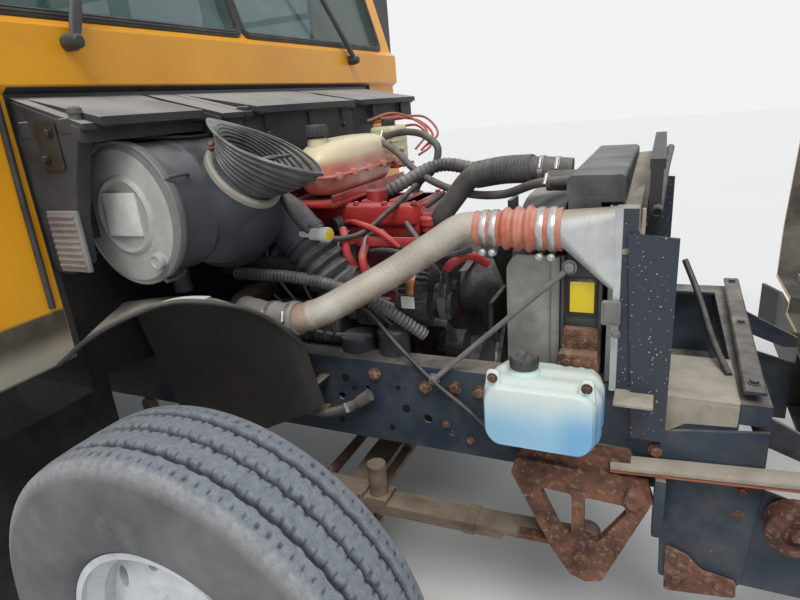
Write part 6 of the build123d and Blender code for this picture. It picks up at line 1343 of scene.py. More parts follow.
def bay_hoses():
    """Hoses, sleeves and looms across the bay, each a ring carried through measured places."""
    hose("radiator_hose", "black_rubber", ((0.24, -0.09, 1.24), (0.262, -0.12, 1.262), (0.308, -0.13, 1.317),
        (0.381, -0.15, 1.389), (0.478, -0.18, 1.407), (0.574, -0.2, 1.412), (0.66, -0.2, 1.405)), 0.0305, 80,
        24, clamps=((0.05, 0.013), (0.86, 0.012), (0.93, 0.012)), replaces=("coolant_hoses",))
    hose("radiator_sleeve", "ribbed_loom", ((0.39, -0.152, 1.392), (0.478, -0.18, 1.407),
        (0.56, -0.198, 1.411)), 0.036, 150, 20, 26, 0.0022)
    hose("heater_hose_long", "black_rubber", ((-0.11, 0.2, 1.493), (0.002, 0.14, 1.451), (0.113, 0.06, 1.386),
        (0.216, -0.02, 1.353), (0.358, -0.12, 1.333), (0.482, -0.2, 1.345), (0.587, -0.27, 1.383),
        (0.675, -0.32, 1.396)), 0.012, 90, 14, clamps=((0.04, 0.01), (0.94, 0.01)))
    hose("heater_hose_loop", "black_rubber", ((-0.089, 0.24, 1.488), (0.063, 0.16, 1.504),
        (0.148, 0.1, 1.488), (0.199, 0.06, 1.451), (0.181, 0.05, 1.385), (0.133, 0.04, 1.345),
        (0.119, 0.02, 1.292), (0.124, 0.0, 1.24)), 0.012, 90, 14, clamps=((0.05, 0.01), (0.94, 0.01)))
    hose("wide_loom", "ribbed_loom", ((-0.08, -0.18, 1.25), (-0.012, -0.05, 1.289), (0.09, -0.02, 1.349),
        (0.207, 0.05, 1.4), (0.35, 0.02, 1.384)), 0.021, 150, 16, 34, 0.0016)
    hose("coil_loom", "ribbed_loom", ((-0.3, -0.42, 1.15), (-0.195, -0.42, 1.149), (-0.071, -0.42, 1.145),
        (0.075, -0.42, 1.117), (0.2, -0.4, 1.052), (0.284, -0.36, 0.974)), 0.0175, 220, 18, 52, 0.0016)
    hose("coil_loom_short", "ribbed_loom", ((0.06, -0.35, 1.09), (0.108, -0.34, 1.061), (0.202, -0.34, 1.031),
        (0.272, -0.33, 0.977)), 0.0165, 110, 16, 24, 0.0016)
    hose("rail_hose", "black_rubber", ((-0.3, -0.5, 0.712), (-0.2, -0.5, 0.752), (-0.115, -0.5, 0.764),
        (0.011, -0.48, 0.749), (0.08, -0.47, 0.775), (0.141, -0.46, 0.815)),
        ((0, 0.9, 0.905, 1.0), (0.0135, 0.0135, 0.018, 0.018)), 90, 16, clamps=((0.42, 0.01), (0.84, 0.01)))
    hose("cleaner_wires", "ribbed_loom", ((-0.44, -0.815, 1.4), (-0.423, -0.8, 1.447), (-0.393, -0.8, 1.508),
        (-0.355, -0.76, 1.562), (-0.361, -0.7, 1.58), (-0.358, -0.64, 1.572), (-0.32, -0.6, 1.566),
        (-0.286, -0.56, 1.56)), 0.0085, 140, 12, 34, 0.001)
    hose("cleaner_wire_thin", "cap_black", ((-0.43, -0.81, 1.47), (-0.37, -0.78, 1.56), (-0.33, -0.72, 1.585),
        (-0.29, -0.66, 1.572), (-0.262, -0.56, 1.562), (-0.262, -0.47, 1.56)), 0.0045, 60, 8)
    hose("thin_loom", "cap_black", ((0.04, -0.42, 1.11), (0.121, -0.4, 1.053), (0.231, -0.43, 0.964),
        (0.335, -0.448, 0.878), (0.437, -0.458, 0.806), (0.518, -0.458, 0.728)), 0.0062, 80, 10)
    hose("hanging_loom", "cap_black", ((0.946, 0.0, 1.119), (0.98, -0.05, 1.047), (1.023, -0.2, 0.95),
        (1.05, -0.3, 0.915)), 0.0085, 60, 10)
    hose("elbow_wire", "cap_black", ((-0.1, -0.42, 1.4), (-0.06, -0.43, 1.33), (0.0, -0.4, 1.262),
        (0.07, -0.33, 1.25), (0.13, -0.2, 1.3), (0.16, -0.05, 1.352)), 0.008, 90, 10)
    for index, rows in enumerate((((0.02, -0.3, 1.262), (0.041, -0.33, 1.243), (0.052, -0.345, 1.2),
        (0.059, -0.33, 1.164), (0.06, -0.3, 1.12)), ((0.09, -0.3, 1.215), (0.1, -0.345, 1.19),
        (0.112, -0.345, 1.126), (0.118, -0.33, 1.075)), ((0.33, -0.3, 1.14), (0.365, -0.32, 1.18),
        (0.4, -0.3, 1.195), (0.44, -0.25, 1.16)), ((-0.02, -0.2, 1.262), (0.06, -0.28, 1.278),
        (0.14, -0.31, 1.262), (0.2, -0.3, 1.215)),)):
        hose(f"red_tube_{index + 1}", "red_hose", rows, 0.0125 if index < 3 else 0.0085, 50, 14)
    for index in range(6):
        reach = -0.33 + 0.085 * index
        hose(f"fuel_line_{index + 1}", "dusty_alloy", ((reach, -0.25, 1.245), (reach + 0.004, -0.315, 1.238),
            (reach + 0.012, -0.345, 1.19), (reach + 0.03, -0.33, 1.11), (reach * 0.6 + 0.02, -0.35, 1.02)),
            0.0042, 50, 8)
    for index, (first, last, sag) in enumerate((
        ((0.12, -0.25, 1.25), (0.33, -0.24, 1.19), 0.03), ((0.06, -0.28, 1.18), (0.29, -0.33, 1.18), -0.03),
        ((0.18, -0.2, 1.262), (0.42, -0.33, 1.22), 0.045), ((-0.1, -0.345, 1.11), (0.19, -0.372, 1.0), -0.05),
        ((-0.25, -0.35, 1.01), (0.12, -0.372, 0.96), 0.02), ((0.0, -0.11, 1.3), (0.26, -0.06, 1.33), 0.05),
    )):
        rows = []
        for t in (0, 0.25, 0.5, 0.75, 1):
            bow = math.sin(math.pi * t)
            rows.append(np.array(first) * (1 - t) + np.array(last) * t + (0, -0.02 * bow, -sag * bow))
        hose(f"bay_wire_{index + 1}", "cap_black" if index % 2 else "ribbed_loom", rows,
            0.0058 + 0.0014 * (index % 3), 50, 8)
    for index, (y, z) in enumerate(((0.44, 1.545), (0.5, 1.535), (0.56, 1.548), (0.47, 1.52))):
        hose(f"battery_wire_{index + 1}", "red_hose" if index % 2 else "orange_paint",
            ((-0.19, y - 0.1, z), (-0.12, y, z + 0.02 - 0.01 * index), (-0.06, y + 0.06, z - 0.01),
            (0.01, y + 0.02, z - 0.06 - 0.01 * index), (-0.02, y - 0.04, z - 0.12)), 0.0048, 50, 8)


def engine_fittings():
    """Parts on the engine: ribbed cover and its cap, manifold, oil filters, brackets and bolts."""
    cover = Shape()
    cover.slab(round_box((-0.415, -0.165), (0.205, 0.075), 0.04, 6), 1.24, 1.312, "z", 0.016, 4)
    for index in range(6):
        reach = -0.37 + 0.098 * index
        cover.slab(round_box((reach - 0.03, -0.13), (reach + 0.03, 0.04), 0.018), 1.308, 1.318, "z", 0.005)
    for reach in np.linspace(-0.4, 0.19, 7):
        cover.bolt(at(reach, -0.152, 1.31), UP, 0.009)
        cover.bolt(at(reach, 0.062, 1.31), UP, 0.009)
    cover.slab(((-0.4, 1.215), (-0.4, 1.243), (0.285, 1.243), (0.285, 1.215)), -0.306, -0.296, "y", 0.004)
    cover.piece("engine_cover", "cover_red")
    cap = Shape()
    cap.lathe(((0, 0.026), (0.018, 0.026), (0.02, 0.032), (0.04, 0.032), (0.046, 0.027), (0.047, 0.001)),
        at(0.225, -0.12, 1.222), UP, 12)
    cap.block((0.2, 0.25), (-0.126, -0.114), (1.266, 1.278), 0.003)
    cap.piece("oil_cap", "red_hose")
    side = Shape()
    side.tube(smooth(reaches(((-0.4, -0.335, 1.15), (-0.2, -0.345, 1.155), (0.02, -0.345, 1.15),
        (0.06, -0.335, 1.13))), 40), 0.034, 20)
    for index in range(6):
        reach = -0.38 + 0.082 * index
        side.tube(reaches(((reach, -0.29, 1.2), (reach, -0.33, 1.175), (reach + 0.004, -0.345, 1.15))), 0.022,
            14)
        side.block((reach - 0.03, reach + 0.03), (-0.312, -0.298), (1.17, 1.225), 0.006, plane="y")
    for z in (0.7, 0.79, 0.88):
        side.block((-0.41, 0.06), (-0.308, -0.297), (z, z + 0.012), 0.004, plane="y")
    side.block((-0.22, 0.02), (-0.385, -0.3), (0.93, 1.04), 0.018, plane="y")
    for index in range(7):
        reach = -0.205 + 0.034 * index
        side.block((reach, reach + 0.008), (-0.394, -0.31), (0.938, 1.034), 0.003, plane="y")
    side.block((0.075, 0.165), (-0.378, -0.298), (0.995, 1.062), 0.012, plane="y")
    side.lathe(((0.0, 0.03), (0.02, 0.046), (0.15, 0.046), (0.165, 0.034), (0.168, 0.004)),
        at(-0.33, -0.365, 1.05), (0, 0, -1), 32)
    for reach, z in ((-0.39, 1.1), (-0.3, 0.86), (-0.2, 0.86), (-0.1, 0.86), (0.0, 0.86), (-0.25, 1.11),
        (-0.05, 1.11), (0.1, 1.12)):
        side.bolt(at(reach, -0.308, z), RIGHT, 0.011)
    side.piece("engine_side", "black_iron")
    filters = Shape()
    for reach, top, foot, radius in ((0.182, 0.985, 0.8, 0.048), (0.06, 0.96, 0.76, 0.052)):
        turn = turns(96)
        z = np.array((top, top - 0.004, top - 0.02, top - 0.024, foot + 0.04, foot + 0.036, foot + 0.01,
            foot))[:, None]
        size = radius * np.array((0.8, 1.0, 1.02, 0.97, 0.97, 0.95, 0.95, 0.7))[:, None]
        flute = 1 + 0.02 * np.sign(np.sin(turn * 15)) * (z < foot + 0.038)
        filters.grid(np.stack((AXLE_X + reach + size * flute * np.cos(turn),
            -0.352 + size * flute * np.sin(turn), z + 0 * turn), -1), caps=True)
    filters.piece("oil_filters", "filter_blue")


def alternator():
    """Finned alternator: a drum whose radius steps in and out as it goes round, the
    windings seen between, its bracket and the drive belt."""
    centre = at(0.205, -0.3, 1.09)
    turn = turns(216)
    station = np.array((0.0, 0.004, 0.01, 0.03, 0.034, 0.058, 0.062, 0.086, 0.094, 0.098))[:, None]
    size = np.array((0.03, 0.06, 0.076, 0.08, 0.07, 0.07, 0.08, 0.077, 0.064, 0.03))[:, None]
    fin = np.where(np.sin(turn * 27) > 0.1, 0.0, -0.01) * np.array((0, 0, 1, 1, 0, 0, 1, 1, 0.5, 0))[:, None]
    ring = size + fin
    shape = Shape()
    shape.grid(np.stack((centre[0] + station + 0 * turn, centre[1] + ring * np.cos(turn),
        centre[2] + ring * np.sin(turn)), -1), caps=True)
    shape.lathe(((0.098, 0.02), (0.112, 0.02), (0.114, 0.03), (0.117, 0.038), (0.121, 0.033), (0.125, 0.038),
        (0.129, 0.033), (0.133, 0.038), (0.14, 0.036), (0.141, 0.014), (0.15, 0.012), (0.15, 0.001)), centre,
        AHEAD, 40)
    shape.block((0.33, 0.352), (-0.325, -0.275), (1.01, 1.165), 0.008, plane="x")
    shape.block((0.205, 0.34), (-0.322, -0.3), (0.985, 1.01), 0.006)
    shape.bolt(at(0.352, -0.3, 1.109), AHEAD, 0.016)
    shape.piece("alternator", "black_iron")
    Shape().lathe(((0.035, 0.06), (0.035, 0.0715), (0.04, 0.0735), (0.052, 0.0735), (0.057, 0.0715),
        (0.057, 0.06)), centre, AHEAD, 60).piece("alternator_coils", "copper_wire")
    Shape().slab(round_box((0.228, 1.06), (0.268, 1.095), 0.003), -0.3825, -0.3805, "y",
        0.0005).piece("alternator_label", "blank_label")
    belt = Shape()
    outline = smooth(np.array(((0.0, 1.118, 0), (-0.12, 1.1, 0), (-0.3, 1.128, 0), (-0.338, 1.07, 0),
        (-0.25, 0.92, 0), (-0.15, 0.65, 0), (0.0, 0.58, 0), (0.122, 0.64, 0), (0.25, 0.96, 0),
        (0.19, 1.044, 0), (0.1, 1.08, 0), (0.0, 1.118, 0))), 160)[:-1]
    ring = np.stack((np.zeros(len(outline)), outline[:, 0], outline[:, 1]), -1)
    inner = ring * (1, 0.975, 1)
    inner[:, 2] = 0.85 + (ring[:, 2] - 0.85) * 0.985
    x = AXLE_X + 0.318
    rows = np.stack((ring + (x, 0, 0), ring + (x + 0.022, 0, 0), inner + (x + 0.022, 0, 0),
        inner + (x, 0, 0)))
    belt.grid(rows, round_i=True, round_j=True)
    belt.piece("drive_belt", "black_rubber")


def cooler_front():
    """Cooler side: plate beside the fan, dark channel with a blank caution sheet, rusty bracket, top sheet,
    header pipe with an open end, and rows of fins."""
    plate = Shape()
    plate.slab(rounded(((0.527, 0.9), (0.66, 0.9), (0.66, 1.225), (0.548, 1.225), (0.527, 1.195)), 0.012),
        -0.384, -0.376, "y", 0.003)
    plate.slab(((0.64, 0.9), (0.662, 0.9), (0.662, 1.225), (0.64, 1.225)), -0.4, -0.376, "y", 0.004)
    plate.piece("fan_side_plate", "worn_plate")
    channel = Shape()
    channel.slab(((0.668, 0.86), (0.762, 0.86), (0.762, 1.236), (0.668, 1.236)), -0.412, -0.403, "y", 0.003)
    channel.slab(((0.668, 0.86), (0.676, 0.86), (0.676, 1.236), (0.668, 1.236)), -0.428, -0.404, "y", 0.003)
    channel.slab(((0.754, 0.86), (0.762, 0.86), (0.762, 1.236), (0.754, 1.236)), -0.428, -0.404, "y", 0.003)
    channel.bolt(at(0.688, -0.43, 1.212), RIGHT, 0.014)
    channel.piece("cooler_channel", "cap_black")
    Shape().slab(round_box((0.681, 1.086), (0.75, 1.182), 0.003), -0.4155, -0.413, "y",
        0.0006).piece("caution_sheet", "label_yellow")
    bracket = Shape()
    bracket.slab(rounded(((0.672, 1.006), (0.756, 1.006), (0.758, 1.06), (0.676, 1.06)), 0.006), -0.436,
        -0.413, "y", 0.003)
    bracket.slab(rounded(((0.664, 0.968), (0.764, 0.968), (0.758, 1.008), (0.67, 1.008)), 0.006), -0.468,
        -0.413, "y", 0.003)
    for reach in (0.69, 0.715, 0.74):
        bracket.bolt(at(reach, -0.47, 0.99), RIGHT, 0.0085)
    bracket.piece("cooler_bracket", "rusty_casting")
    recess = Shape()
    recess.slab(round_box((0.763, 1.088), (0.806, 1.146), 0.008), -0.47, -0.455, "y", 0.004)
    recess.slab(round_box((0.77, 1.096), (0.799, 1.138), 0.006), -0.4725, -0.4695, "y", 0.001)
    recess.bolt(at(0.797, -0.47, 1.07), RIGHT, 0.008)
    recess.piece("cooler_clip", "dusty_alloy")
    top = Shape()
    corner = reaches(((0.745, -0.44, 1.278), (0.838, -0.44, 1.272), (0.846, -0.38, 1.352),
        (0.848, 0.38, 1.384), (0.79, 0.38, 1.38), (0.768, -0.36, 1.34)))
    top.grid(np.stack((corner, corner + (0, 0, 0.003))), caps=True)
    top.slab(((0.8, 1.25), (0.846, 1.25), (0.846, 1.352), (0.838, 1.352), (0.838, 1.275), (0.8, 1.262)),
        -0.452, -0.44, "y", 0.003)
    for place in ((0.782, -0.42, 1.3), (0.8, -0.392, 1.33), (0.828, -0.42, 1.294)):
        top.bolt(at(*place), (0, -0.6, 0.8), 0.0085)
    top.piece("cooler_top_sheet", "tan_sheet")
    header = Shape()
    path = smooth(reaches(((0.866, -0.4, 1.336), (0.872, -0.2, 1.35), (0.88, 0.1, 1.368),
        (0.893, 0.385, 1.394))), 40)
    header.tube(path, 0.0115, 20)
    header.lathe(((0.0, 0.0115), (-0.006, 0.012), (-0.007, 0.0085), (0.012, 0.008), (0.012, 0.0005)), path[0],
        unit(path[1] - path[0]), 24)
    for index in range(36):
        y = -0.372 + 0.0212 * index
        z = 1.333 + (y + 0.372) * 0.075
        header.tube(reaches(((0.862, y, z), (0.858, y + 0.006, z - 0.03), (0.862, y, z - 0.06))), 0.0028, 6)
    header.piece("condenser_header", "cap_black")
    ledge = Shape()
    ledge.slab(((0.901, 0.914), (1.062, 0.914), (1.062, 0.906), (0.901, 0.906)), -0.44, -0.2, "y", 0.003)
    ledge.slab(rounded(((0.905, 0.81), (0.956, 0.846), (1.061, 0.853), (1.062, 0.906), (0.901, 0.91)), 0.004),
        -0.44, -0.434, "y", 0.002)
    ledge.block((0.8, 0.885), (-0.52, -0.44), (0.912, 0.922), 0.003)
    ledge.piece("front_ledge", "tan_sheet")


def rail_fittings():
    """Bolts, brackets and the stay along the right rail, with their likes on the left, and near-black discs
    of painted shade where the rail has holes.
    """
    bolts, stays = Shape(), Shape()
    for side in (-1, 1):
        y = side * 0.4335
        for reach, z in ((0.306, 0.849), (0.392, 0.86), (0.462, 0.855), (0.15, 0.87), (0.64, 0.7), (0.7, 0.7),
            (0.86, 0.7), (0.9, 0.76), (-0.7, 0.85), (-0.62, 0.7), (-0.9, 0.78)):
            bolts.bolt(at(reach, y, z), (0, side, 0), 0.0145)
        for reach, z in ((0.335, 0.881), (0.5, 0.88), (0.43, 0.7), (0.36, 0.74)):
            bolts.bolt(at(reach, y, z), (0, side, 0), 0.009)
        stays.tube(reaches(((0.335, side * 0.445, 0.881), (0.51, side * 0.44, 1.045),
            (0.683, side * 0.436, 1.206))), 0.0072, 14)
        stays.bolt(at(0.335, side * 0.44, 0.881), (0, side, 0), 0.013)
        stays.bolt(at(0.688, side * 0.432, 1.212), (0, side, 0), 0.013)
        bolts.block((-0.15, -0.01), (min(y, y + side * 0.05), max(y, y + side * 0.05)), (0.742, 0.75), 0.003)
    bolts.piece("rail_bolts", "rusty_casting")
    stays.piece("cooler_stays", "dusty_alloy")
    # Near-black discs on the rail's face: painted shade where it has holes.
    caps = Shape()
    for reach, z, size in ((-0.1, 0.8, 0.02), (0.05, 0.845, 0.013), (0.075, 0.815, 0.009),
        (0.24, 0.77, 0.013), (0.5, 0.79, 0.011), (0.56, 0.74, 0.011), (0.02, 0.7, 0.009),
        (0.22, 0.835, 0.008), (0.19, 0.7, 0.01)):
        for side in (-1, 1):
            caps.lathe(((0, size), (0.0006, size), (0.0008, size * 0.92), (0.0002, size * 0.9),
                (0.0002, 0.0005)), at(reach, side * 0.4322, z), (0, side, 0), 24)
    caps.piece("rail_hole_shade", "hole_shade")


def smooth_liners():
    """Splash liners: the section's foot, inner top edge and outer rim run in smooth curves from the bulkhead
    over the wheel and down in front of the engine; the rim turns over in a lip."""
    rows = np.array(((-0.459, 0.585, 0.7, 0.69, 1.15, 0.93, 1.06),
        (-0.36, 0.585, 0.7, 0.668, 1.158, 0.9, 1.13), (-0.242, 0.585, 0.7, 0.648, 1.158, 0.85, 1.18),
        (-0.155, 0.58, 0.72, 0.645, 1.152, 0.8, 1.197), (-0.059, 0.56, 0.76, 0.64, 1.125, 0.705, 1.164),
        (-0.01, 0.535, 0.782, 0.612, 1.085, 0.64, 1.105), (0.012, 0.505, 0.8, 0.56, 1.01, 0.58, 1.02),))
    run = np.linspace(0, 1, len(rows))
    dense = np.column_stack([smooth(np.column_stack((run, rows[:, k], 0 * run)), 80)[:, 1] for k in range(7)])
    walls, rims = Shape(), Shape()
    t = np.linspace(0, 1, 24)[None, :, None]
    for side in (-1, 1):
        foot = np.stack((dense[:, 0], side * dense[:, 1], dense[:, 2]), -1)
        inner = np.stack((dense[:, 0], side * dense[:, 3], dense[:, 4]), -1)
        rim = np.stack((dense[:, 0], side * dense[:, 5], dense[:, 6]), -1)
        knee = np.clip((t - 0.62) / 0.38, 0, 1)
        wall = foot[:, None] * (1 - np.clip(t / 0.62, 0, 1)) + inner[:, None] * np.clip(t / 0.62, 0, 1)
        sheet = wall + (rim - inner)[:, None] * knee + (AXLE_X, 0, 0)
        sheet = sheet + np.array((0, 0, 0.004)) * np.sin(np.pi * knee)
        back = sheet[:, ::-1] - (0, 0, 0.0035)
        walls.grid(np.concatenate((sheet, back), axis=1), round_j=True, caps=True)
        walls.block((-0.034, -0.004), tuple(sorted((side * 0.432, side * 0.545))), (0.842, 0.85), 0.002)
        rims.tube(rim + (AXLE_X, 0, -0.002), 0.0065, 10)
    walls.piece("splash_liner_sheets", "liner_plastic", replaces=("splash_liners",))
    rims.piece("splash_liner_rims", "cap_black")
    strip = Shape()
    share = slice(8, 46)
    outer = np.stack((dense[share, 0], -dense[share, 5] + 0.012, dense[share, 6] + 0.002), -1)
    inward = np.stack((dense[share, 0], -dense[share, 5] + 0.034, dense[share, 6] + 0.001), -1)
    band = np.stack((outer, inward, inward + (0, 0, 0.0012), outer + (0, 0, 0.0012)), 1) + (AXLE_X, 0, 0)
    strip.grid(band, round_j=True, caps=True)
    strip.piece("blank_strip", "blank_label")


charge_pipe()
charge_bellows()
bay_hoses()
engine_fittings()
alternator()
cooler_front()
rail_fittings()
smooth_liners()


# Front corner of the chassis


def front_corner():
    """Bars, plates and bush ahead of the wheel, and the strap on the front crossmember."""
    Shape().slab(((0.8, 0.739), (1.195, 0.769), (1.195, 0.757), (0.8, 0.727)), -0.5, -0.446, "y",
        0.003).piece("corner_bar_upper", "tan_sheet")
    Shape().slab(((0.8, 0.716), (1.195, 0.745), (1.195, 0.752), (0.8, 0.723)), -0.494, -0.452, "y",
        0.002).piece("corner_bar_lower", "orange_paint")
    plate = Shape()
    plate.slab(rounded(((0.925, 0.4), (1.105, 0.42), (1.13, 0.742), (0.912, 0.724)), 0.012), -0.452, -0.444,
        "y", 0.003)
    plate.slab(rounded(((0.9, 0.56), (0.925, 0.56), (0.925, 0.722), (0.9, 0.722)), 0.006), -0.505, -0.444,
        "y", 0.003)
    plate.piece("corner_plate", "navy_paint")
    foot = Shape()
    foot.slab(rounded(((0.94, 0.365), (1.1, 0.39), (1.096, 0.44), (1.02, 0.452), (0.985, 0.49),
        (0.935, 0.505)), 0.01), -0.46, -0.452, "y", 0.002)
    for reach, z in ((0.965, 0.415), (1.06, 0.415), (1.085, 0.7), (1.085, 0.63)):
        foot.bolt(at(reach, -0.452 if z > 0.5 else -0.46, z), RIGHT, 0.01)
    foot.piece("corner_foot", "rusty_casting")
    Shape().lathe(((-0.03, 0.02), (-0.03, 0.052), (-0.024, 0.06), (0.024, 0.06), (0.03, 0.052), (0.03, 0.03),
        (0.022, 0.028), (0.022, 0.014), (0.034, 0.012), (0.036, 0.001)), at(1.19, -0.476, 0.64), RIGHT,
        40).piece("corner_bush", "dusty_steel")
    strap = Shape()
    low, high = at(1.112, 0.425, 0.936), at(1.09, -0.425, 0.934)
    t = np.linspace(0, 1, 30)[:, None]
    line = low * (1 - t) + high * t
    ring = np.array(((-0.021, 0, -0.002), (0.021, 0, -0.002), (0.023, 0, 0.002), (0.019, 0, 0.006),
        (-0.019, 0, 0.006), (-0.023, 0, 0.002)))
    strap.grid(line[:, None] + ring[None], caps=True)
    for share in (0.05, 0.5, 0.95):
        strap.bolt(low * (1 - share) + high * share + (0, 0, 0.006), UP, 0.01)
    strap.piece("front_strap", "navy_paint")


front_corner()


# Windshield, wipers and the cowl's seal

RAKE = math.radians(16.0)
RAKE_UP = np.array((-math.sin(RAKE), 0.0, math.cos(RAKE)))
RAKE_OUT = np.array((math.cos(RAKE), 0.0, math.sin(RAKE)))
RAKE_FOOT = at(-0.462, 0.0, 1.852)


def glazing_rubber():
    """Ribbed rubber round each pane, a grooved section carried round its rounded outline, and the cowl's
    seal."""
    section = np.array(((-0.013, 0.0005), (-0.012, 0.006), (-0.007, 0.008), (-0.005, 0.0055), (-0.002, 0.008),
        (0.002, 0.008), (0.005, 0.0055), (0.007, 0.008), (0.012, 0.006), (0.013, 0.0005)))
    shape = Shape()
    for side in (-1, 1):
        outline = round_box((0.01, 0.01), (1.096, 0.852), 0.035, 8)
        ahead = unit(np.roll(outline, -1, 0) - np.roll(outline, 1, 0))
        out = np.stack((ahead[:, 1], -ahead[:, 0]), -1)
        flat = outline[:, None] + out[:, None] * section[None, :, :1]
        points = (
            RAKE_FOOT
            + np.array((0.0, side, 0.0)) * flat[..., :1]
            + RAKE_UP * flat[..., 1:]
            + RAKE_OUT * (section[None, :, 1:] - 0.001)
        )
        shape.grid(points, round_i=True, round_j=True)
    shape.piece("windshield_rubber", "window_rubber", sharp=30.0)
    seal = Shape()
    path = smooth(reaches(((-0.452, -0.895, 1.704), (-0.448, -0.5, 1.71), (-0.446, 0.0, 1.712),
        (-0.448, 0.5, 1.708), (-0.452, 0.895, 1.7))), 60)
    seal.tube(path, 0.0085, 12)
    seal.tube(smooth(reaches(((-0.452, -0.9, 1.7), (-0.452, -0.905, 1.5), (-0.453, -0.908, 1.2))), 30),
        0.0075, 12)
    seal.tube(smooth(reaches(((-0.452, 0.9, 1.7), (-0.452, 0.905, 1.5), (-0.453, 0.908, 1.2))), 30), 0.0075,
        12)
    seal.piece("cowl_seal", "window_rubber")


def wiper_sets():
    """Wipers: pivot, flat arm with a spring housing, and a bridged blade lying on the glass."""
    shape = Shape()
    for side, across, up in ((-1, -0.42, 0.56), (1, 0.28, 0.64)):
        foot = at(-0.405, side * 0.706, 1.798)
        shape.lathe(((-0.03, 0.02), (-0.006, 0.02), (0.0, 0.017), (0.012, 0.016), (0.016, 0.012),
            (0.017, 0.001)), foot, AHEAD, 24)
        end = RAKE_FOOT + (0.0, across, 0.0) + RAKE_UP * up + RAKE_OUT * 0.03
        arch = RAKE_OUT * (0.018 * np.sin(np.linspace(0, np.pi, 30)))[:, None]
        path = foot + (end - foot) * np.linspace(0.02, 1, 30)[:, None] + arch
        stations, sizes = (0, 0.05, 0.35, 0.4, 1), (0.013, 0.017, 0.014, 0.0085, 0.006)
        shape.tube(path, np.interp(np.linspace(0, 1, 30), stations, sizes), 12, 0.55)
        reach = unit(end - foot)
        for start, stop, size in ((-0.34, 0.16, 0.0055), (-0.2, 0.05, 0.006)):
            drop = RAKE_OUT * (0.016 - 0.01 * (size > 0.0055))
            blade = end + reach * np.linspace(start, stop, 24)[:, None] - drop
            shape.tube(blade, size, 8, 1.3)
        shape.lathe(((-0.006, 0.009), (0.01, 0.009), (0.012, 0.006)), end - RAKE_OUT * 0.008, RAKE_OUT, 14)
    shape.piece("wiper_arms", "cap_black", replaces=("wipers",))


glazing_rubber()
wiper_sets()


# Seats


def pillow(shape, middle, half, tilt, round_power=3.2, bulge=0.01):
    """One upholstered block: rings across its length whose outline is a squarish oval, closing over both
    ends, with the crown rising between two stitched seams."""
    t = np.linspace(-1, 1, 27)[:, None]
    angle = turns(32)
    end = (1 - np.abs(t) ** 9).clip(0.02) ** 0.5
    squarish = np.abs(np.cos(angle)) ** round_power + np.abs(np.sin(angle)) ** round_power
    squarish = squarish ** (-1 / round_power)
    crown = 1 + bulge / half[2] * (np.abs(np.cos(t * 1.5 * np.pi)) ** 0.5 - 0.6) * (np.abs(t) < 0.97)
    across = half[0] * squarish * np.cos(angle) * end
    over = half[2] * squarish * np.sin(angle) * end * crown
    turned_x = across * math.cos(tilt) + over * math.sin(tilt)
    turned_z = over * math.cos(tilt) - across * math.sin(tilt)
    shape.grid(np.stack((middle[0] + turned_x, middle[1] + half[1] * t + 0 * angle, middle[2] + turned_z),
        -1), caps=True)


def benches():
    """Twenty bench seats on their legs: cushions and high backs as crowned pillows."""
    cushions, backs, legs = Shape(), Shape(), Shape()
    floor_z = 0.99
    for row in range(10):
        reach = -2.15 - 0.69 * row
        for side in (-1, 1):
            y = side * 0.675
            pillow(cushions, at(reach - 0.05, y, floor_z + 0.385), (0.205, 0.462, 0.062), -0.03)
            pillow(backs, at(reach - 0.232, y, floor_z + 0.69), (0.046, 0.462, 0.312), -0.1, 3.6, 0.004)
            for leg_y in (0.29, 0.98):
                on_house = abs(reach + 6.4) < 0.8 and leg_y > 0.5
                foot = floor_z + (0.155 if on_house else 0.001)
                for leg in (-0.2, 0.1):
                    legs.tube([at(reach + leg, side * leg_y, foot),
                        at(reach + leg, side * leg_y, floor_z + 0.345)], 0.0135, 10)
                    legs.lathe(((0, 0.026), (0.004, 0.026), (0.006, 0.014)),
                        at(reach + leg, side * leg_y, foot), UP, 14)
                legs.tube([at(reach - 0.2, side * leg_y, floor_z + 0.33),
                    at(reach + 0.11, side * leg_y, floor_z + 0.33)], 0.0125, 10)
    made = (cushions.piece("bench_cushions", "seat_vinyl", replaces=("seats",)),
        backs.piece("bench_backs", "seat_vinyl", replaces=("seats",)))
    legs.piece("bench_legs", "black_paint", replaces=("seats",))


benches()


# Body outside: rivets and lamp lenses

BODY_SIDE = 1.2105  # from the middle to the sides' outer faces, a hair proud of them


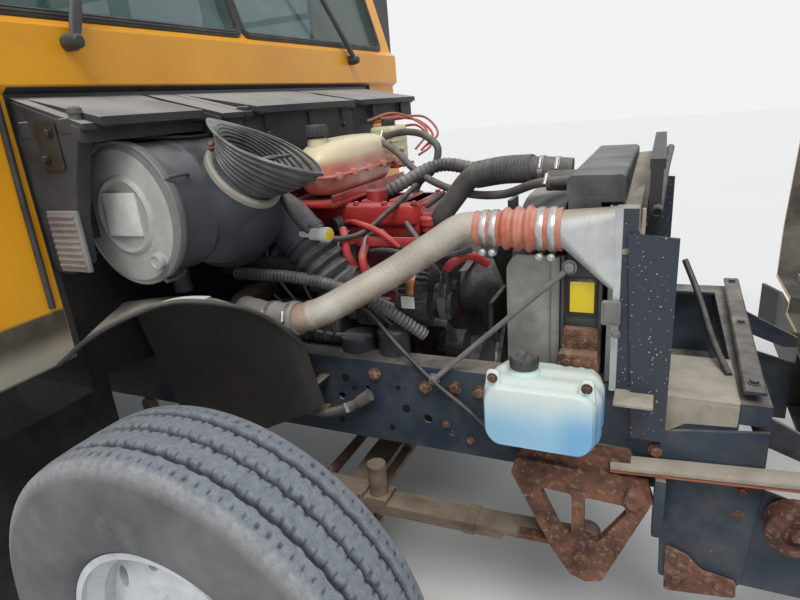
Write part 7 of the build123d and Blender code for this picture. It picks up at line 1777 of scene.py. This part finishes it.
def body_rivets():
    """Rows of dome rivets along the panels of both sides and the rear."""
    side_x = np.arange(-8.78, -1.54, 0.075)
    shape = Shape()
    for side in (-1, 1):
        for z in (0.7, 1.075, 1.33, 1.68, 2.425):
            level = np.full_like(side_x, 1.0)
            shape.scatter(np.column_stack((AXLE_X + side_x, BODY_SIDE * side * level, z * level)),
                (0, side, 0), 0.0075, 0.003)
        for reach in np.arange(-8.48, -1.6, 0.712):
            z = np.arange(0.76, 1.7, 0.075)
            centres = np.column_stack((np.full_like(z, AXLE_X + reach), np.full_like(z, side * BODY_SIDE), z))
            shape.scatter(centres, (0, side, 0), 0.0065, 0.0026)
    for y in np.arange(-1.12, 1.13, 0.075):
        if abs(y) > 0.4:
            shape.scatter(np.array([(AXLE_X - 8.9015, y, z) for z in (1.1, 1.5, 2.56)]), (-1, 0, 0), 0.007,
                0.0028)
    shape.piece("body_rivets", "bus_yellow")


def lens_covers():
    """Domed, ringed lenses over the body's lamps: side markers, roof signals and tail lamps."""
    amber, red = Shape(), Shape()
    dome = ((0.0, 1.0), (0.1, 1.0), (0.3, 0.93), (0.45, 0.78), (0.5, 0.6), (0.54, 0.42), (0.6, 0.25),
        (0.63, 0.03))
    for y, z, size, reach, out, target in (
        (0.96, 1.18, 0.086, -8.9255, (-1, 0, 0), red), (0.96, 1.42, 0.086, -8.9255, (-1, 0, 0), amber),
        (0.96, 0.96, 0.046, -8.9255, (-1, 0, 0), red), (0.76, 2.76, 0.084, -8.9335, (-1, 0, 0), red),
        (0.53, 2.76, 0.084, -8.9335, (-1, 0, 0), amber), (0.76, 2.806, 0.084, -0.6725, AHEAD, red),
        (0.53, 2.806, 0.084, -0.6725, AHEAD, amber),
    ):
        profile = [(share * 0.03, size * scale) for share, scale in dome]
        for side in (-1, 1):
            target.lathe(profile, at(reach, side * y, z), out, 40)
    for reach in (-1.9, -5.2, -8.4):
        for side in (-1, 1):
            target = red if reach < -8 else amber
            target.lathe([(share * 0.022, 0.034 * scale) for share, scale in dome],
                at(reach, side * BODY_SIDE, 2.445), (0, side, 0), 28)
    amber.piece("amber_lenses", "amber_lens")
    red.piece("red_lenses", "red_lens")


body_rivets()
lens_covers()
